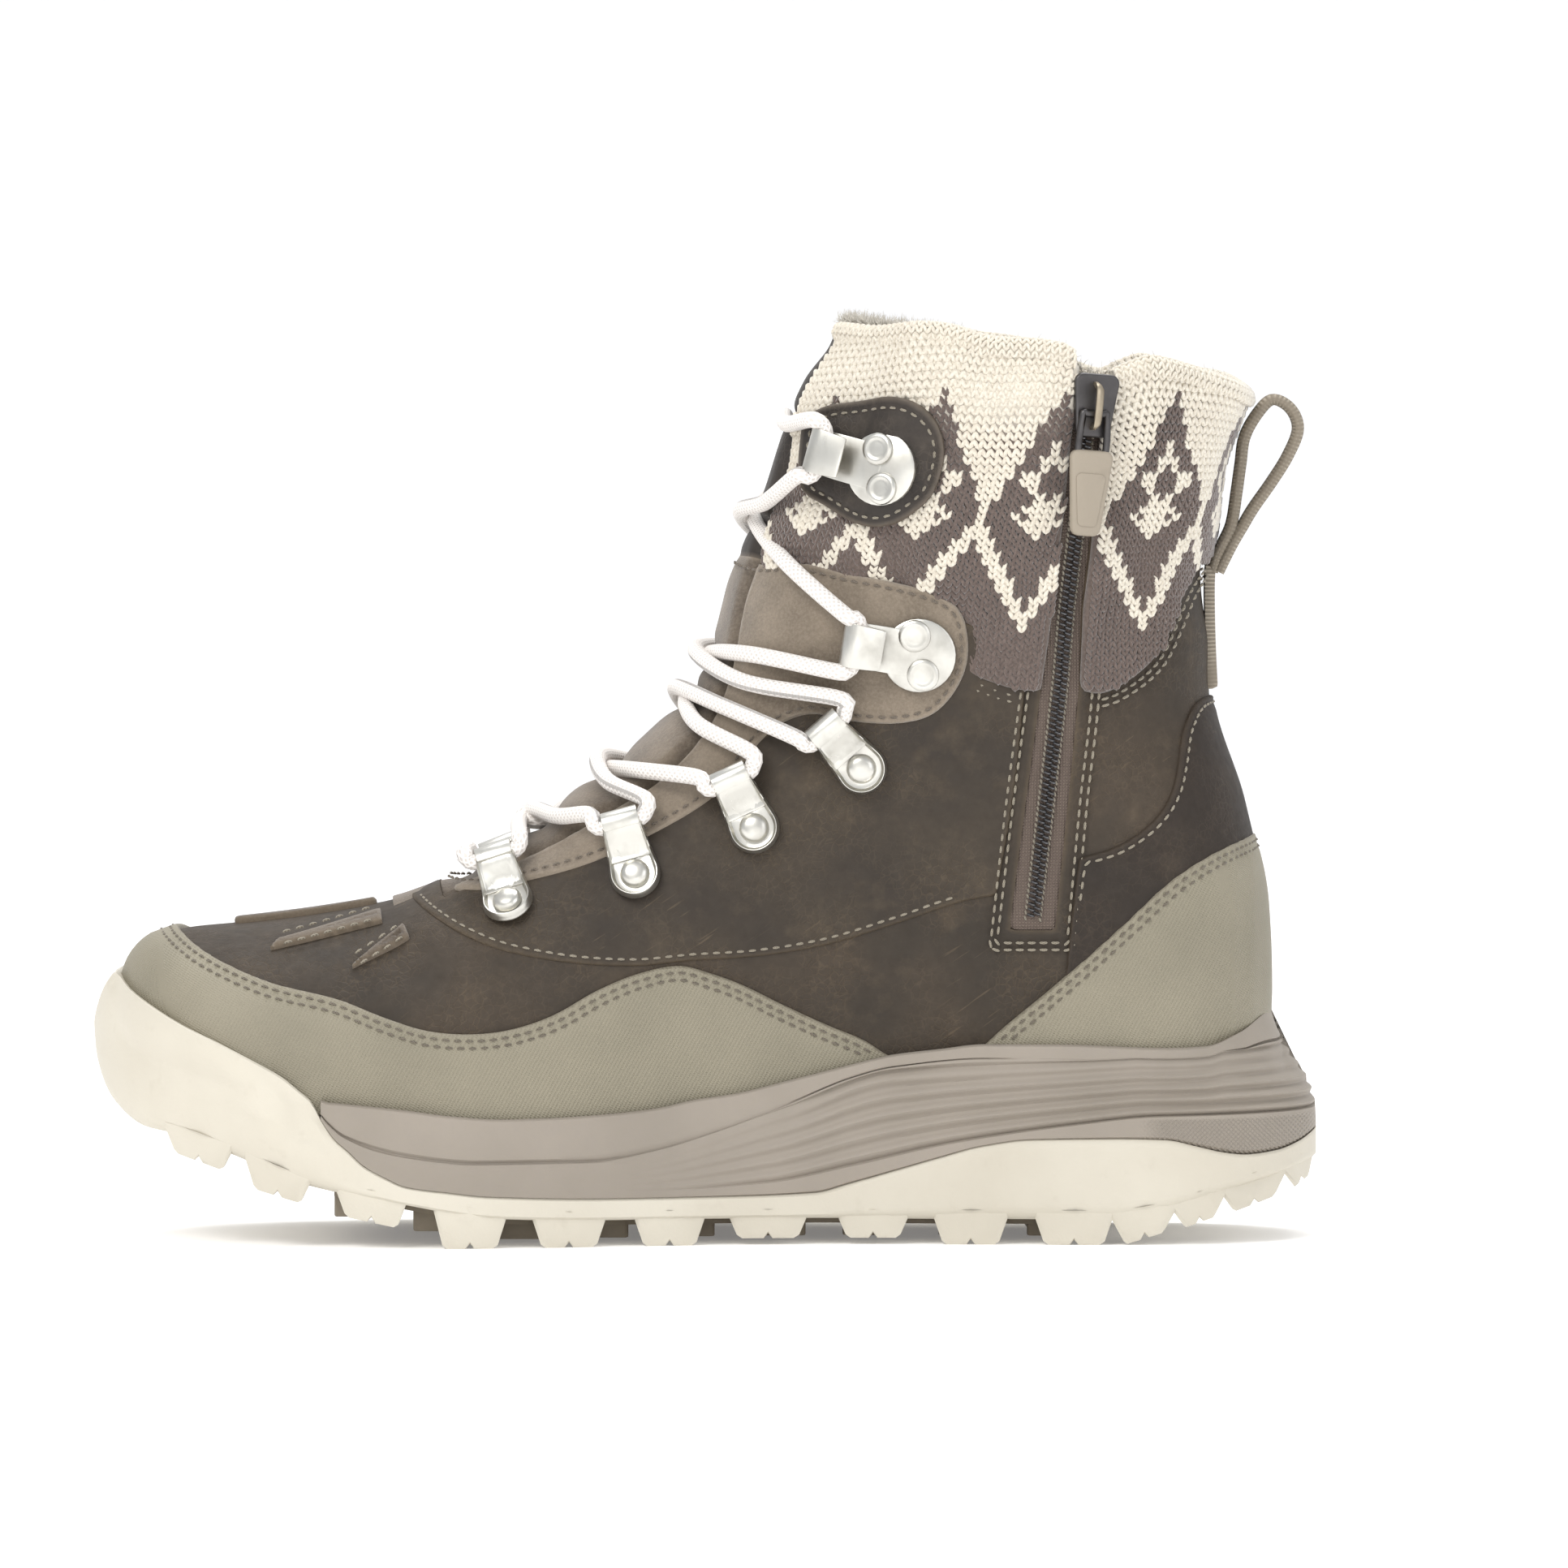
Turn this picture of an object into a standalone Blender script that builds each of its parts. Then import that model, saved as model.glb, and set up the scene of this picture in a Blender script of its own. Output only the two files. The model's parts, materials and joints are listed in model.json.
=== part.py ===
"""Right snow boot with side zip and laced throat, toe towards -X, inner side towards -Y.

The upper comes from one function: a fan of sections that starts flat round the toe, stands
upright over the ball and turns level at the collar. Every overlay, the tongue, the zip and
the lace are placed on that same function. Lengths along the boot are shares of LENGTH,
heights are shares of HEIGHT and widths are shares of BALL_WIDTH.
"""
import math

import bmesh
import bpy
import numpy as np
from mathutils import Matrix, Vector

# Driving dimensions, in metres
LENGTH = 0.280
HEIGHT = 0.212
BALL_WIDTH = 0.096
WALL = 0.0024
GAP = 0.0003
OVERLAY = 0.0013
CUFF_THICKNESS = 0.0023
PATCH = 0.0010
TONGUE_THICKNESS = 0.0036
INSOLE_THICKNESS = 0.0035
SOLE_LIP = 0.0030
LUG_WIDTH = 0.017
LUG_DRAFT = 0.0012
LUG_ROOT = 0.0012
LUG_INSET = 0.0010
CENTRE_LUG_HEIGHT = 0.0050
SOLE_BEVEL = 0.0020
GROOVE_DEPTH = 0.0010
RIB_DEPTH = 0.0011
RIB_COUNT = 4
INSERT_THICKNESS = 0.0018
LACE_DIAMETER = 0.0039
METAL = 0.0009
RIVET_RADIUS = 0.0037
RIVET_HEIGHT = 0.0018
EYELET_RADIUS = 0.0058
EYELET_WIDTH = 0.0086
HOOK_WIDTH = 0.0104
HOOK_PLATE = 0.0084
CHAIN_WIDTH = 0.0040
CHAIN_HEIGHT = 0.0011
SLIDER_WIDTH = 0.0104
SLIDER_LENGTH = 0.0150
SLIDER_HEIGHT = 0.0030
PULL_WIDTH = 0.0098
PULL_LENGTH = 0.0175
PULL_THICKNESS = 0.0026
WEBBING_WIDTH = 0.0100
WEBBING = 0.0021

# Sizes of the zip: how deep its tape lies, the keel of the slider, its bridge and the link
TAPE_SINK = 0.0007
TAPE = 0.0012
KEEL_PLAY = 0.0004
SLIDER_BEVEL = 0.0009
BRIDGE_LENGTH = 0.0094
BRIDGE_HEIGHT = 0.0036
BRIDGE_BAR = 0.0013
BRIDGE_HALF_WIDTH = 0.0014
LINK_PLAY = 0.0004
LINK_BAR = 0.0016
LINK_LENGTH = 0.0100
LACE_PLAY = 0.0006
# Overlays of one side end this far from the middle plane
SIDE_MARGIN = 0.0005

# Grid of the upper: columns beside the ridge that the throat leaves out, and down to the sole
THROAT_COLUMNS = 3
SIDE_COLUMNS = 6
COLUMNS = THROAT_COLUMNS + SIDE_COLUMNS
ROUNDNESS = 2.15

# One row per section of the upper.
# front x, z: where it meets the ridge; end x, z: where it meets the sole or the back.
# round: depth of the arch below the ridge; mid and end: half widths to inner and outer side;
# ridge: sideways place of the ridge; throat: distance of the throat edge from the ridge;
# loop: 0 for an arch open below, 1 for a closed loop round the heel or the leg.
SECTION_COLUMNS = ("front_x", "front_z", "end_x", "end_z", "round", "mid_in", "mid_out",
                   "end_in", "end_out", "ridge", "throat", "loop")
SECTIONS = (
    ("toe_edge", -0.468, 0.203, -0.371, 0.164, 0.646, 0.490, 0.448, 0.490, 0.448, -0.073, 0.031, 0.0),
    ("toe_front", -0.475, 0.245, -0.357, 0.158, 0.573, 0.490, 0.448, 0.479, 0.438, -0.073, 0.033, 0.0),
    ("toe_crown", -0.469, 0.288, -0.346, 0.154, 0.479, 0.490, 0.448, 0.479, 0.438, -0.073, 0.036, 0.0),
    ("toe_corner", -0.454, 0.316, -0.336, 0.151, 0.417, 0.490, 0.448, 0.479, 0.438, -0.068, 0.040, 0.0),
    ("toe_box", -0.425, 0.332, -0.321, 0.146, 0.375, 0.490, 0.458, 0.469, 0.438, -0.062, 0.042, 0.0),
    ("cap", -0.375, 0.339, -0.293, 0.138, 0.354, 0.500, 0.474, 0.474, 0.458, -0.057, 0.042, 0.0),
    ("vamp", -0.314, 0.349, -0.257, 0.130, 0.354, 0.505, 0.490, 0.479, 0.479, -0.052, 0.042, 0.0),
    ("ball", -0.254, 0.363, -0.207, 0.121, 0.365, 0.500, 0.505, 0.479, 0.495, -0.047, 0.036, 0.0),
    ("throat", -0.207, 0.387, -0.150, 0.117, 0.385, 0.484, 0.500, 0.458, 0.495, -0.042, 0.026, 0.0),
    ("instep_low", -0.154, 0.425, -0.086, 0.118, 0.417, 0.453, 0.479, 0.411, 0.479, -0.036, 0.047, 0.0),
    ("instep", -0.100, 0.481, -0.007, 0.134, 0.448, 0.417, 0.448, 0.359, 0.448, -0.031, 0.083, 0.0),
    ("instep_high", -0.043, 0.540, 0.086, 0.164, 0.458, 0.391, 0.417, 0.333, 0.401, -0.021, 0.099, 0.0),
    ("bend", -0.004, 0.599, 0.207, 0.191, 0.438, 0.375, 0.391, 0.333, 0.365, -0.010, 0.089, 0.0),
    ("ankle", 0.011, 0.651, 0.350, 0.192, 0.417, 0.370, 0.380, 0.344, 0.354, -0.005, 0.073, 0.3),
    ("heel_seat", 0.016, 0.677, 0.414, 0.193, 0.417, 0.370, 0.380, 0.349, 0.354, 0.0, 0.062, 0.7),
    ("heel_tip", 0.021, 0.703, 0.452, 0.193, 0.427, 0.370, 0.380, 0.354, 0.354, 0.0, 0.057, 1.0),
    ("heel_low", 0.030, 0.733, 0.457, 0.264, 0.438, 0.375, 0.385, 0.375, 0.375, 0.0, 0.052, 1.0),
    ("heel_mid", 0.041, 0.769, 0.454, 0.358, 0.448, 0.385, 0.396, 0.396, 0.396, 0.0, 0.047, 1.0),
    ("heel_top", 0.052, 0.807, 0.438, 0.467, 0.458, 0.396, 0.406, 0.396, 0.396, 0.0, 0.042, 1.0),
    ("tendon", 0.062, 0.849, 0.412, 0.585, 0.469, 0.411, 0.417, 0.396, 0.396, 0.0, 0.036, 1.0),
    ("shaft", 0.071, 0.884, 0.409, 0.698, 0.479, 0.422, 0.427, 0.417, 0.417, 0.0, 0.031, 1.0),
    ("shaft_top", 0.084, 0.922, 0.418, 0.802, 0.479, 0.432, 0.438, 0.432, 0.438, 0.0, 0.031, 1.0),
    ("collar", 0.104, 0.958, 0.429, 0.901, 0.479, 0.438, 0.443, 0.438, 0.443, 0.0, 0.031, 1.0),
    ("tongue_top", 0.112, 0.985, 0.432, 0.930, 0.479, 0.438, 0.443, 0.438, 0.443, 0.0, 0.031, 1.0),
)
ROW_OF = {row[0]: index for index, row in enumerate(SECTIONS)}

# Depth of the rounding at the back, by height
BACK_ROUND = ((0.19, 0.344), (0.38, 0.354), (0.47, 0.375), (0.585, 0.438), (0.71, 0.479), (0.95, 0.500))

# The sole in plan: place along the boot, half width to the inner and to the outer side
SOLE_PLAN = (
    (-0.500, 0.455, 0.400), (-0.430, 0.470, 0.420), (-0.320, 0.512, 0.485), (-0.221, 0.541, 0.530),
    (-0.143, 0.512, 0.541), (-0.054, 0.445, 0.520), (0.036, 0.398, 0.474), (0.125, 0.378, 0.427),
    (0.214, 0.385, 0.408), (0.321, 0.404, 0.408), (0.411, 0.410, 0.410), (0.500, 0.410, 0.410),
)
TOE_ROUND = 0.215
HEEL_ROUND = 0.130
SOLE_POWER = 2.1
# Stations of the sole where it curves in: closer together than the tables' rows
TOE_STATIONS = (-0.4995, -0.496, -0.489, -0.480, -0.468, -0.455)
HEEL_STATIONS = (0.450, 0.462, 0.474, 0.485, 0.4925, 0.4980, 0.4995)

# Side view of the sole: place along the boot, height
BASE_LINE = (
    (-0.500, 0.229), (-0.497, 0.194), (-0.481, 0.150), (-0.454, 0.124), (-0.430, 0.118), (-0.382, 0.098),
    (-0.321, 0.067), (-0.243, 0.047), (-0.165, 0.031), (-0.084, 0.028), (0.085, 0.028), (0.191, 0.027),
    (0.325, 0.027), (0.376, 0.037), (0.417, 0.055), (0.467, 0.074), (0.500, 0.088),
)
RUBBER_TOP = (
    (-0.500, 0.231), (-0.494, 0.256), (-0.487, 0.275), (-0.480, 0.285), (-0.467, 0.270), (-0.443, 0.250),
    (-0.419, 0.233), (-0.392, 0.217), (-0.365, 0.199), (-0.341, 0.181), (-0.326, 0.165), (-0.317, 0.155),
    (-0.307, 0.132), (-0.297, 0.114), (-0.287, 0.103), (-0.274, 0.087), (-0.256, 0.074), (-0.240, 0.065),
    (-0.206, 0.059), (-0.172, 0.054), (-0.070, 0.050), (0.021, 0.051), (0.089, 0.054), (0.118, 0.064),
    (0.155, 0.078), (0.191, 0.092), (0.224, 0.104), (0.264, 0.111), (0.337, 0.112), (0.373, 0.111),
    (0.398, 0.104), (0.420, 0.097), (0.439, 0.094), (0.464, 0.097), (0.482, 0.104), (0.500, 0.116),
)
FOAM_TOP = (
    (-0.317, 0.155), (-0.290, 0.152), (-0.240, 0.145), (-0.206, 0.139), (-0.161, 0.135), (-0.121, 0.136),
    (-0.070, 0.140), (-0.037, 0.145), (-0.009, 0.153), (0.027, 0.160), (0.064, 0.172), (0.100, 0.184),
    (0.136, 0.196), (0.153, 0.201), (0.191, 0.207), (0.226, 0.212), (0.282, 0.212), (0.380, 0.208),
    (0.406, 0.209), (0.435, 0.223), (0.462, 0.242), (0.471, 0.215), (0.485, 0.187), (0.493, 0.170),
    (0.500, 0.145),
)
GROOVE_LINE = (
    (-0.317, 0.152), (-0.289, 0.118), (-0.240, 0.098), (-0.189, 0.090), (-0.138, 0.088), (-0.087, 0.091),
    (-0.037, 0.103), (0.009, 0.121), (0.064, 0.148), (0.118, 0.178), (0.153, 0.190), (0.226, 0.199),
    (0.406, 0.197), (0.462, 0.212), (0.485, 0.180), (0.500, 0.140),
)
FOAM_START = -0.313
# Levels of the rubber's side: share of its height, lean towards the lip, inset in bevels
RUBBER_LEVELS = ((0.0, 0.0, 1.0), (0.16, 0.0, 0.3), (0.45, 0.0, 0.0), (0.78, 0.45, 0.0), (1.0, 1.0, 0.0))

# Side lugs: start and end along the boot, height of the lower face at start and end
SIDE_LUGS = (
    (-0.433, -0.385, 0.098, 0.080), (-0.367, -0.321, 0.062, 0.047), (-0.293, -0.243, 0.034, 0.022),
    (-0.214, -0.163, 0.000, 0.000), (-0.135, -0.083, 0.000, 0.000), (-0.053, -0.003, 0.000, 0.000),
    (0.023, 0.080, 0.007, 0.007), (0.111, 0.162, 0.007, 0.007), (0.189, 0.242, 0.000, 0.000),
    (0.271, 0.327, 0.000, 0.000), (0.336, 0.376, 0.000, 0.014), (0.384, 0.417, 0.018, 0.030),
    (0.424, 0.467, 0.034, 0.050), (0.475, 0.496, 0.056, 0.068),
)
# Centre lugs of the insert: start and end along the boot
CENTRE_LUGS = (
    (-0.300, -0.262), (-0.236, -0.198), (-0.172, -0.130), (-0.104, -0.062), (-0.034, 0.008),
    (0.040, 0.082), (0.112, 0.156), (0.190, 0.232), (0.262, 0.304),
)
CENTRE_LUG_GROUND = 0.004

# Side-view outlines of the overlays
TOE_RAND = (
    (-0.540, 0.420), (-0.448, 0.350), (-0.436, 0.338), (-0.409, 0.313), (-0.382, 0.295), (-0.348, 0.278),
    (-0.293, 0.262), (-0.256, 0.244), (-0.222, 0.231), (-0.182, 0.228), (-0.151, 0.234), (-0.121, 0.248),
    (-0.087, 0.273), (-0.053, 0.291), (-0.019, 0.299), (0.004, 0.291), (0.027, 0.280), (0.064, 0.256),
    (0.100, 0.234), (0.129, 0.218), (0.153, 0.199), (0.188, 0.199), (0.188, 0.060), (-0.300, 0.060),
    (-0.330, 0.160), (-0.430, 0.200), (-0.540, 0.215),
)
HEEL_RAND = (
    (0.191, 0.060), (0.191, 0.199), (0.216, 0.203), (0.226, 0.212), (0.240, 0.229), (0.280, 0.273),
    (0.339, 0.343), (0.379, 0.392), (0.412, 0.418), (0.449, 0.435), (0.540, 0.462), (0.540, 0.060),
)
COUNTER_SEAM = (
    (0.540, 0.583), (0.418, 0.583), (0.402, 0.579), (0.390, 0.554), (0.384, 0.514), (0.377, 0.482),
    (0.364, 0.455), (0.337, 0.428), (0.303, 0.413), (0.298, 0.400),
)
# Where the counter's front edge meets the heel rand
COUNTER_FOOT = (0.293, 0.288)
KNIT_EDGE = (
    (0.216, 0.610), (0.252, 0.594), (0.303, 0.593), (0.319, 0.589), (0.343, 0.603), (0.364, 0.627),
    (0.377, 0.663), (0.390, 0.703), (0.404, 0.725), (0.416, 0.732), (0.560, 0.732),
)
STRAP_OUTLINE = (
    (0.000, 0.745), (0.020, 0.735), (0.045, 0.725), (0.082, 0.727), (0.116, 0.717), (0.150, 0.709),
    (0.184, 0.697), (0.205, 0.681), (0.212, 0.657), (0.212, 0.621), (0.201, 0.589), (0.184, 0.567),
    (0.160, 0.558), (0.116, 0.560), (0.087, 0.567), (0.063, 0.556), (0.047, 0.538),
)
# The strap's upper side lies above this height; front, back and top of the knit's outline
STRAP_SIDE = 0.60
CUFF_FRAME = (-0.05, 0.56, 1.05)
EYESTAY_SEAM = (
    (0.037, 0.522), (0.022, 0.495), (0.001, 0.471), (-0.046, 0.434), (-0.088, 0.408), (-0.141, 0.387),
    (-0.183, 0.375), (-0.209, 0.377), (-0.226, 0.388), (-0.240, 0.420), (-0.120, 0.560), (-0.050, 0.700),
)
HOOK_PATCH = (
    (0.097, 0.874), (0.113, 0.885), (0.131, 0.888), (0.163, 0.889), (0.179, 0.881), (0.191, 0.864),
    (0.195, 0.845), (0.191, 0.819), (0.184, 0.800), (0.171, 0.783), (0.155, 0.770), (0.139, 0.767),
    (0.121, 0.774), (0.104, 0.788), (0.089, 0.802), (0.086, 0.826), (0.090, 0.853),
)
VAMP_SLITS = (
    ("vamp_slit_upper", ((-0.352, 0.314), (-0.346, 0.323), (-0.263, 0.352), (-0.261, 0.341))),
    ("vamp_slit_lower", ((-0.288, 0.293), (-0.281, 0.302), (-0.243, 0.339), (-0.238, 0.326))),
)
# Start and end along the boot; half its width and the other slits' inner end as shares of BALL_WIDTH
RIDGE_SLIT = (-0.384, -0.268, 0.0175)
SLIT_INNER = 0.083

# Centre line of the zip from the collar down: along, height, half width of its slot
ZIP_LINE = (
    (0.318, 1.010, 0.0120), (0.313, 0.937, 0.0120), (0.301, 0.766, 0.0120), (0.293, 0.678, 0.0120),
    (0.288, 0.600, 0.0155), (0.277, 0.475, 0.0170), (0.265, 0.336, 0.0185),
)
SLIDER_PLACE = 0.898

# Fittings: rivet centre and loop top in side view
EYELETS = (
    (-0.157, 0.360, -0.167, 0.414), (-0.055, 0.393, -0.066, 0.448),
    (0.041, 0.444, 0.021, 0.500), (0.127, 0.509, 0.096, 0.556),
)
HOOKS = (
    ("lower", 0.174, 0.631, 0.116, 0.645, 0.0), ("upper", 0.150, 0.827, 0.094, 0.848, 1.0),
)

# The pull loop of webbing behind the collar: heights where it lies on the cuff's back, then
# the middle line of its free part, as places behind the cuff's back and heights
LOOP_HEIGHTS = (0.740, 0.768, 0.802, 0.832, 0.862)
LOOP_FREE = (
    (0.0110, 0.888), (0.0230, 0.902), (0.0375, 0.892), (0.0435, 0.870), (0.0375, 0.841),
    (0.0290, 0.819), (0.0150, 0.796), (0.0110, 0.780),
)
BACK_STRAP_RANGE = (0.590, 0.724)

# Colour, roughness, metallic
FINISHES = {
    "cream_rubber": ((0.85, 0.81, 0.68), 0.6, 0.0),
    "taupe_rubber": ((0.22, 0.19, 0.15), 0.7, 0.0),
    "foam": ((0.38, 0.34, 0.31), 0.7, 0.0),
    "footbed": ((0.45, 0.42, 0.38), 0.9, 0.0),
    "leather": ((0.11, 0.085, 0.062), 0.6, 0.0),
    "dark_leather": ((0.06, 0.05, 0.045), 0.6, 0.0),
    "suede": ((0.24, 0.19, 0.155), 0.9, 0.0),
    "coated_rand": ((0.34, 0.31, 0.25), 0.55, 0.0),
    "knit": ((0.60, 0.52, 0.46), 0.95, 0.0),
    "lace": ((0.83, 0.79, 0.75), 0.9, 0.0),
    "satin_metal": ((0.62, 0.62, 0.58), 0.3, 1.0),
    "gunmetal": ((0.12, 0.12, 0.12), 0.4, 1.0),
    "tape": ((0.10, 0.08, 0.07), 0.9, 0.0),
    "webbing": ((0.32, 0.27, 0.22), 0.9, 0.0),
}


def finish(name):
    material = bpy.data.materials.get(name)
    if material is None:
        colour, roughness, metallic = FINISHES[name]
        material = bpy.data.materials.new(name)
        material.use_nodes = True
        shader = material.node_tree.nodes["Principled BSDF"]
        shader.inputs["Base Color"].default_value = (*colour, 1.0)
        shader.inputs["Roughness"].default_value = roughness
        shader.inputs["Metallic"].default_value = metallic
    return material


def clear_scene():
    for item in list(bpy.data.objects):
        bpy.data.objects.remove(item, do_unlink=True)


def add_object(name, mesh, material=None, cutter=False):
    item = bpy.data.objects.new(name, mesh)
    bpy.context.scene.collection.objects.link(item)
    if cutter:
        item.hide_render = True
        item.display_type = "WIRE"
    elif material:
        mesh.materials.clear()
        mesh.materials.append(finish(material))
    return item


def mesh_from(name, vertices, faces):
    """A closed mesh whose faces all point out."""
    mesh = bpy.data.meshes.new(name)
    mesh.from_pydata([tuple(map(float, v)) for v in vertices], [], faces)
    work = bmesh.new()
    work.from_mesh(mesh)
    bmesh.ops.remove_doubles(work, verts=work.verts, dist=1e-7)
    bmesh.ops.recalc_face_normals(work, faces=work.faces)
    work.to_mesh(mesh)
    work.free()
    mesh.validate()
    return mesh


def combine(item, other, operation):
    step = item.modifiers.new(operation.lower(), "BOOLEAN")
    step.operation = operation
    step.solver = "EXACT"
    step.object = other


def baked(item):
    """The mesh of an object with its modifiers worked in."""
    graph = bpy.context.evaluated_depsgraph_get()
    return bpy.data.meshes.new_from_object(item.evaluated_get(graph))


def curve_value(table, x, column=1):
    """A smooth curve through a table that never swings past its points."""
    xs = np.array([row[0] for row in table])
    ys = np.array([row[column] for row in table])
    slope = np.diff(ys) / np.diff(xs)
    tangent = np.zeros(len(xs))
    same = slope[:-1] * slope[1:] > 0
    tangent[1:-1][same] = 2 * (slope[:-1] * slope[1:])[same] / (slope[:-1] + slope[1:])[same]
    tangent[0], tangent[-1] = slope[0], slope[-1]
    x = np.clip(x, xs[0], xs[-1])
    k = np.clip(np.searchsorted(xs, x, side="right") - 1, 0, len(xs) - 2)
    step = xs[k + 1] - xs[k]
    t = (x - xs[k]) / step
    return ((2 * t**3 - 3 * t**2 + 1) * ys[k] + (t**3 - 2 * t**2 + t) * step * tangent[k]
            + (3 * t**2 - 2 * t**3) * ys[k + 1] + (t**3 - t**2) * step * tangent[k + 1])


def side_curve(table, x):
    """Height of a side-view line at x metres."""
    return curve_value(table, np.asarray(x) / LENGTH) * HEIGHT


def outline(table):
    return [(x * LENGTH, z * HEIGHT) for x, z in table]


def rounding(depth, radius, power=ROUNDNESS):
    """0 at the edge, 1 from one radius inwards, along a superellipse."""
    t = np.clip(depth / radius, 0.0, 1.0)
    return (1.0 - (1.0 - t) ** power) ** (1.0 / power)


def section_values(v):
    """The table's columns at row place v, in metres."""
    rows = np.arange(len(SECTIONS))
    unit = {"front_x": LENGTH, "end_x": LENGTH, "front_z": HEIGHT, "end_z": HEIGHT, "loop": 1.0}
    values = {}
    for place, column in enumerate(SECTION_COLUMNS, start=1):
        table = [(k, SECTIONS[k][place]) for k in rows]
        values[column] = curve_value(table, v) * unit.get(column, BALL_WIDTH)
    return values


BACK_LINE = tuple((row[4], row[3]) for row in SECTIONS[ROW_OF["heel_tip"]:])


def surface(v, share, side):
    """A point of the upper: v along the table, share from ridge to sole, side -1 in, +1 out."""
    value = section_values(v)
    x = value["front_x"] + share * (value["end_x"] - value["front_x"])
    z = value["front_z"] + share * (value["end_z"] - value["front_z"])
    span = np.hypot(value["end_x"] - value["front_x"], value["end_z"] - value["front_z"])
    mid = value["mid_in"] if side < 0 else value["mid_out"]
    end = value["end_in"] if side < 0 else value["end_out"]
    ease = np.clip((share - 0.5) * 2, 0, 1)
    half = mid + (end - mid) * ease * ease * (3 - 2 * ease)
    back_x = curve_value(BACK_LINE, z / HEIGHT) * LENGTH
    back = rounding(back_x - x, curve_value(BACK_ROUND, z / HEIGHT) * BALL_WIDTH)
    full = rounding(share * span, value["round"]) * back
    middle = value["ridge"] * (1 - share)
    return np.array([x, middle + full * (side * half - middle), z])


def share_at(v, column):
    """Share from ridge to sole of a grid column: dense at the ridge and at a closed back."""
    value = section_values(v)
    span = np.hypot(value["end_x"] - value["front_x"], value["end_z"] - value["front_z"])
    throat = value["throat"] / span
    if column <= THROAT_COLUMNS:
        return throat * (1 - math.cos(column / THROAT_COLUMNS * math.pi / 2))
    w = (column - THROAT_COLUMNS) / SIDE_COLUMNS
    rise = 0.45 * w + 0.55 * w * w
    loop = (1 - math.cos(math.pi * w)) / 2
    return throat + (1 - throat) * (rise + (loop - rise) * value["loop"])


def halves(loop):
    """Two triangles of a grid cell, always across the same corners."""
    a, b, c, d = loop
    return [[a, b, c], [a, c, d]]


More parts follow.
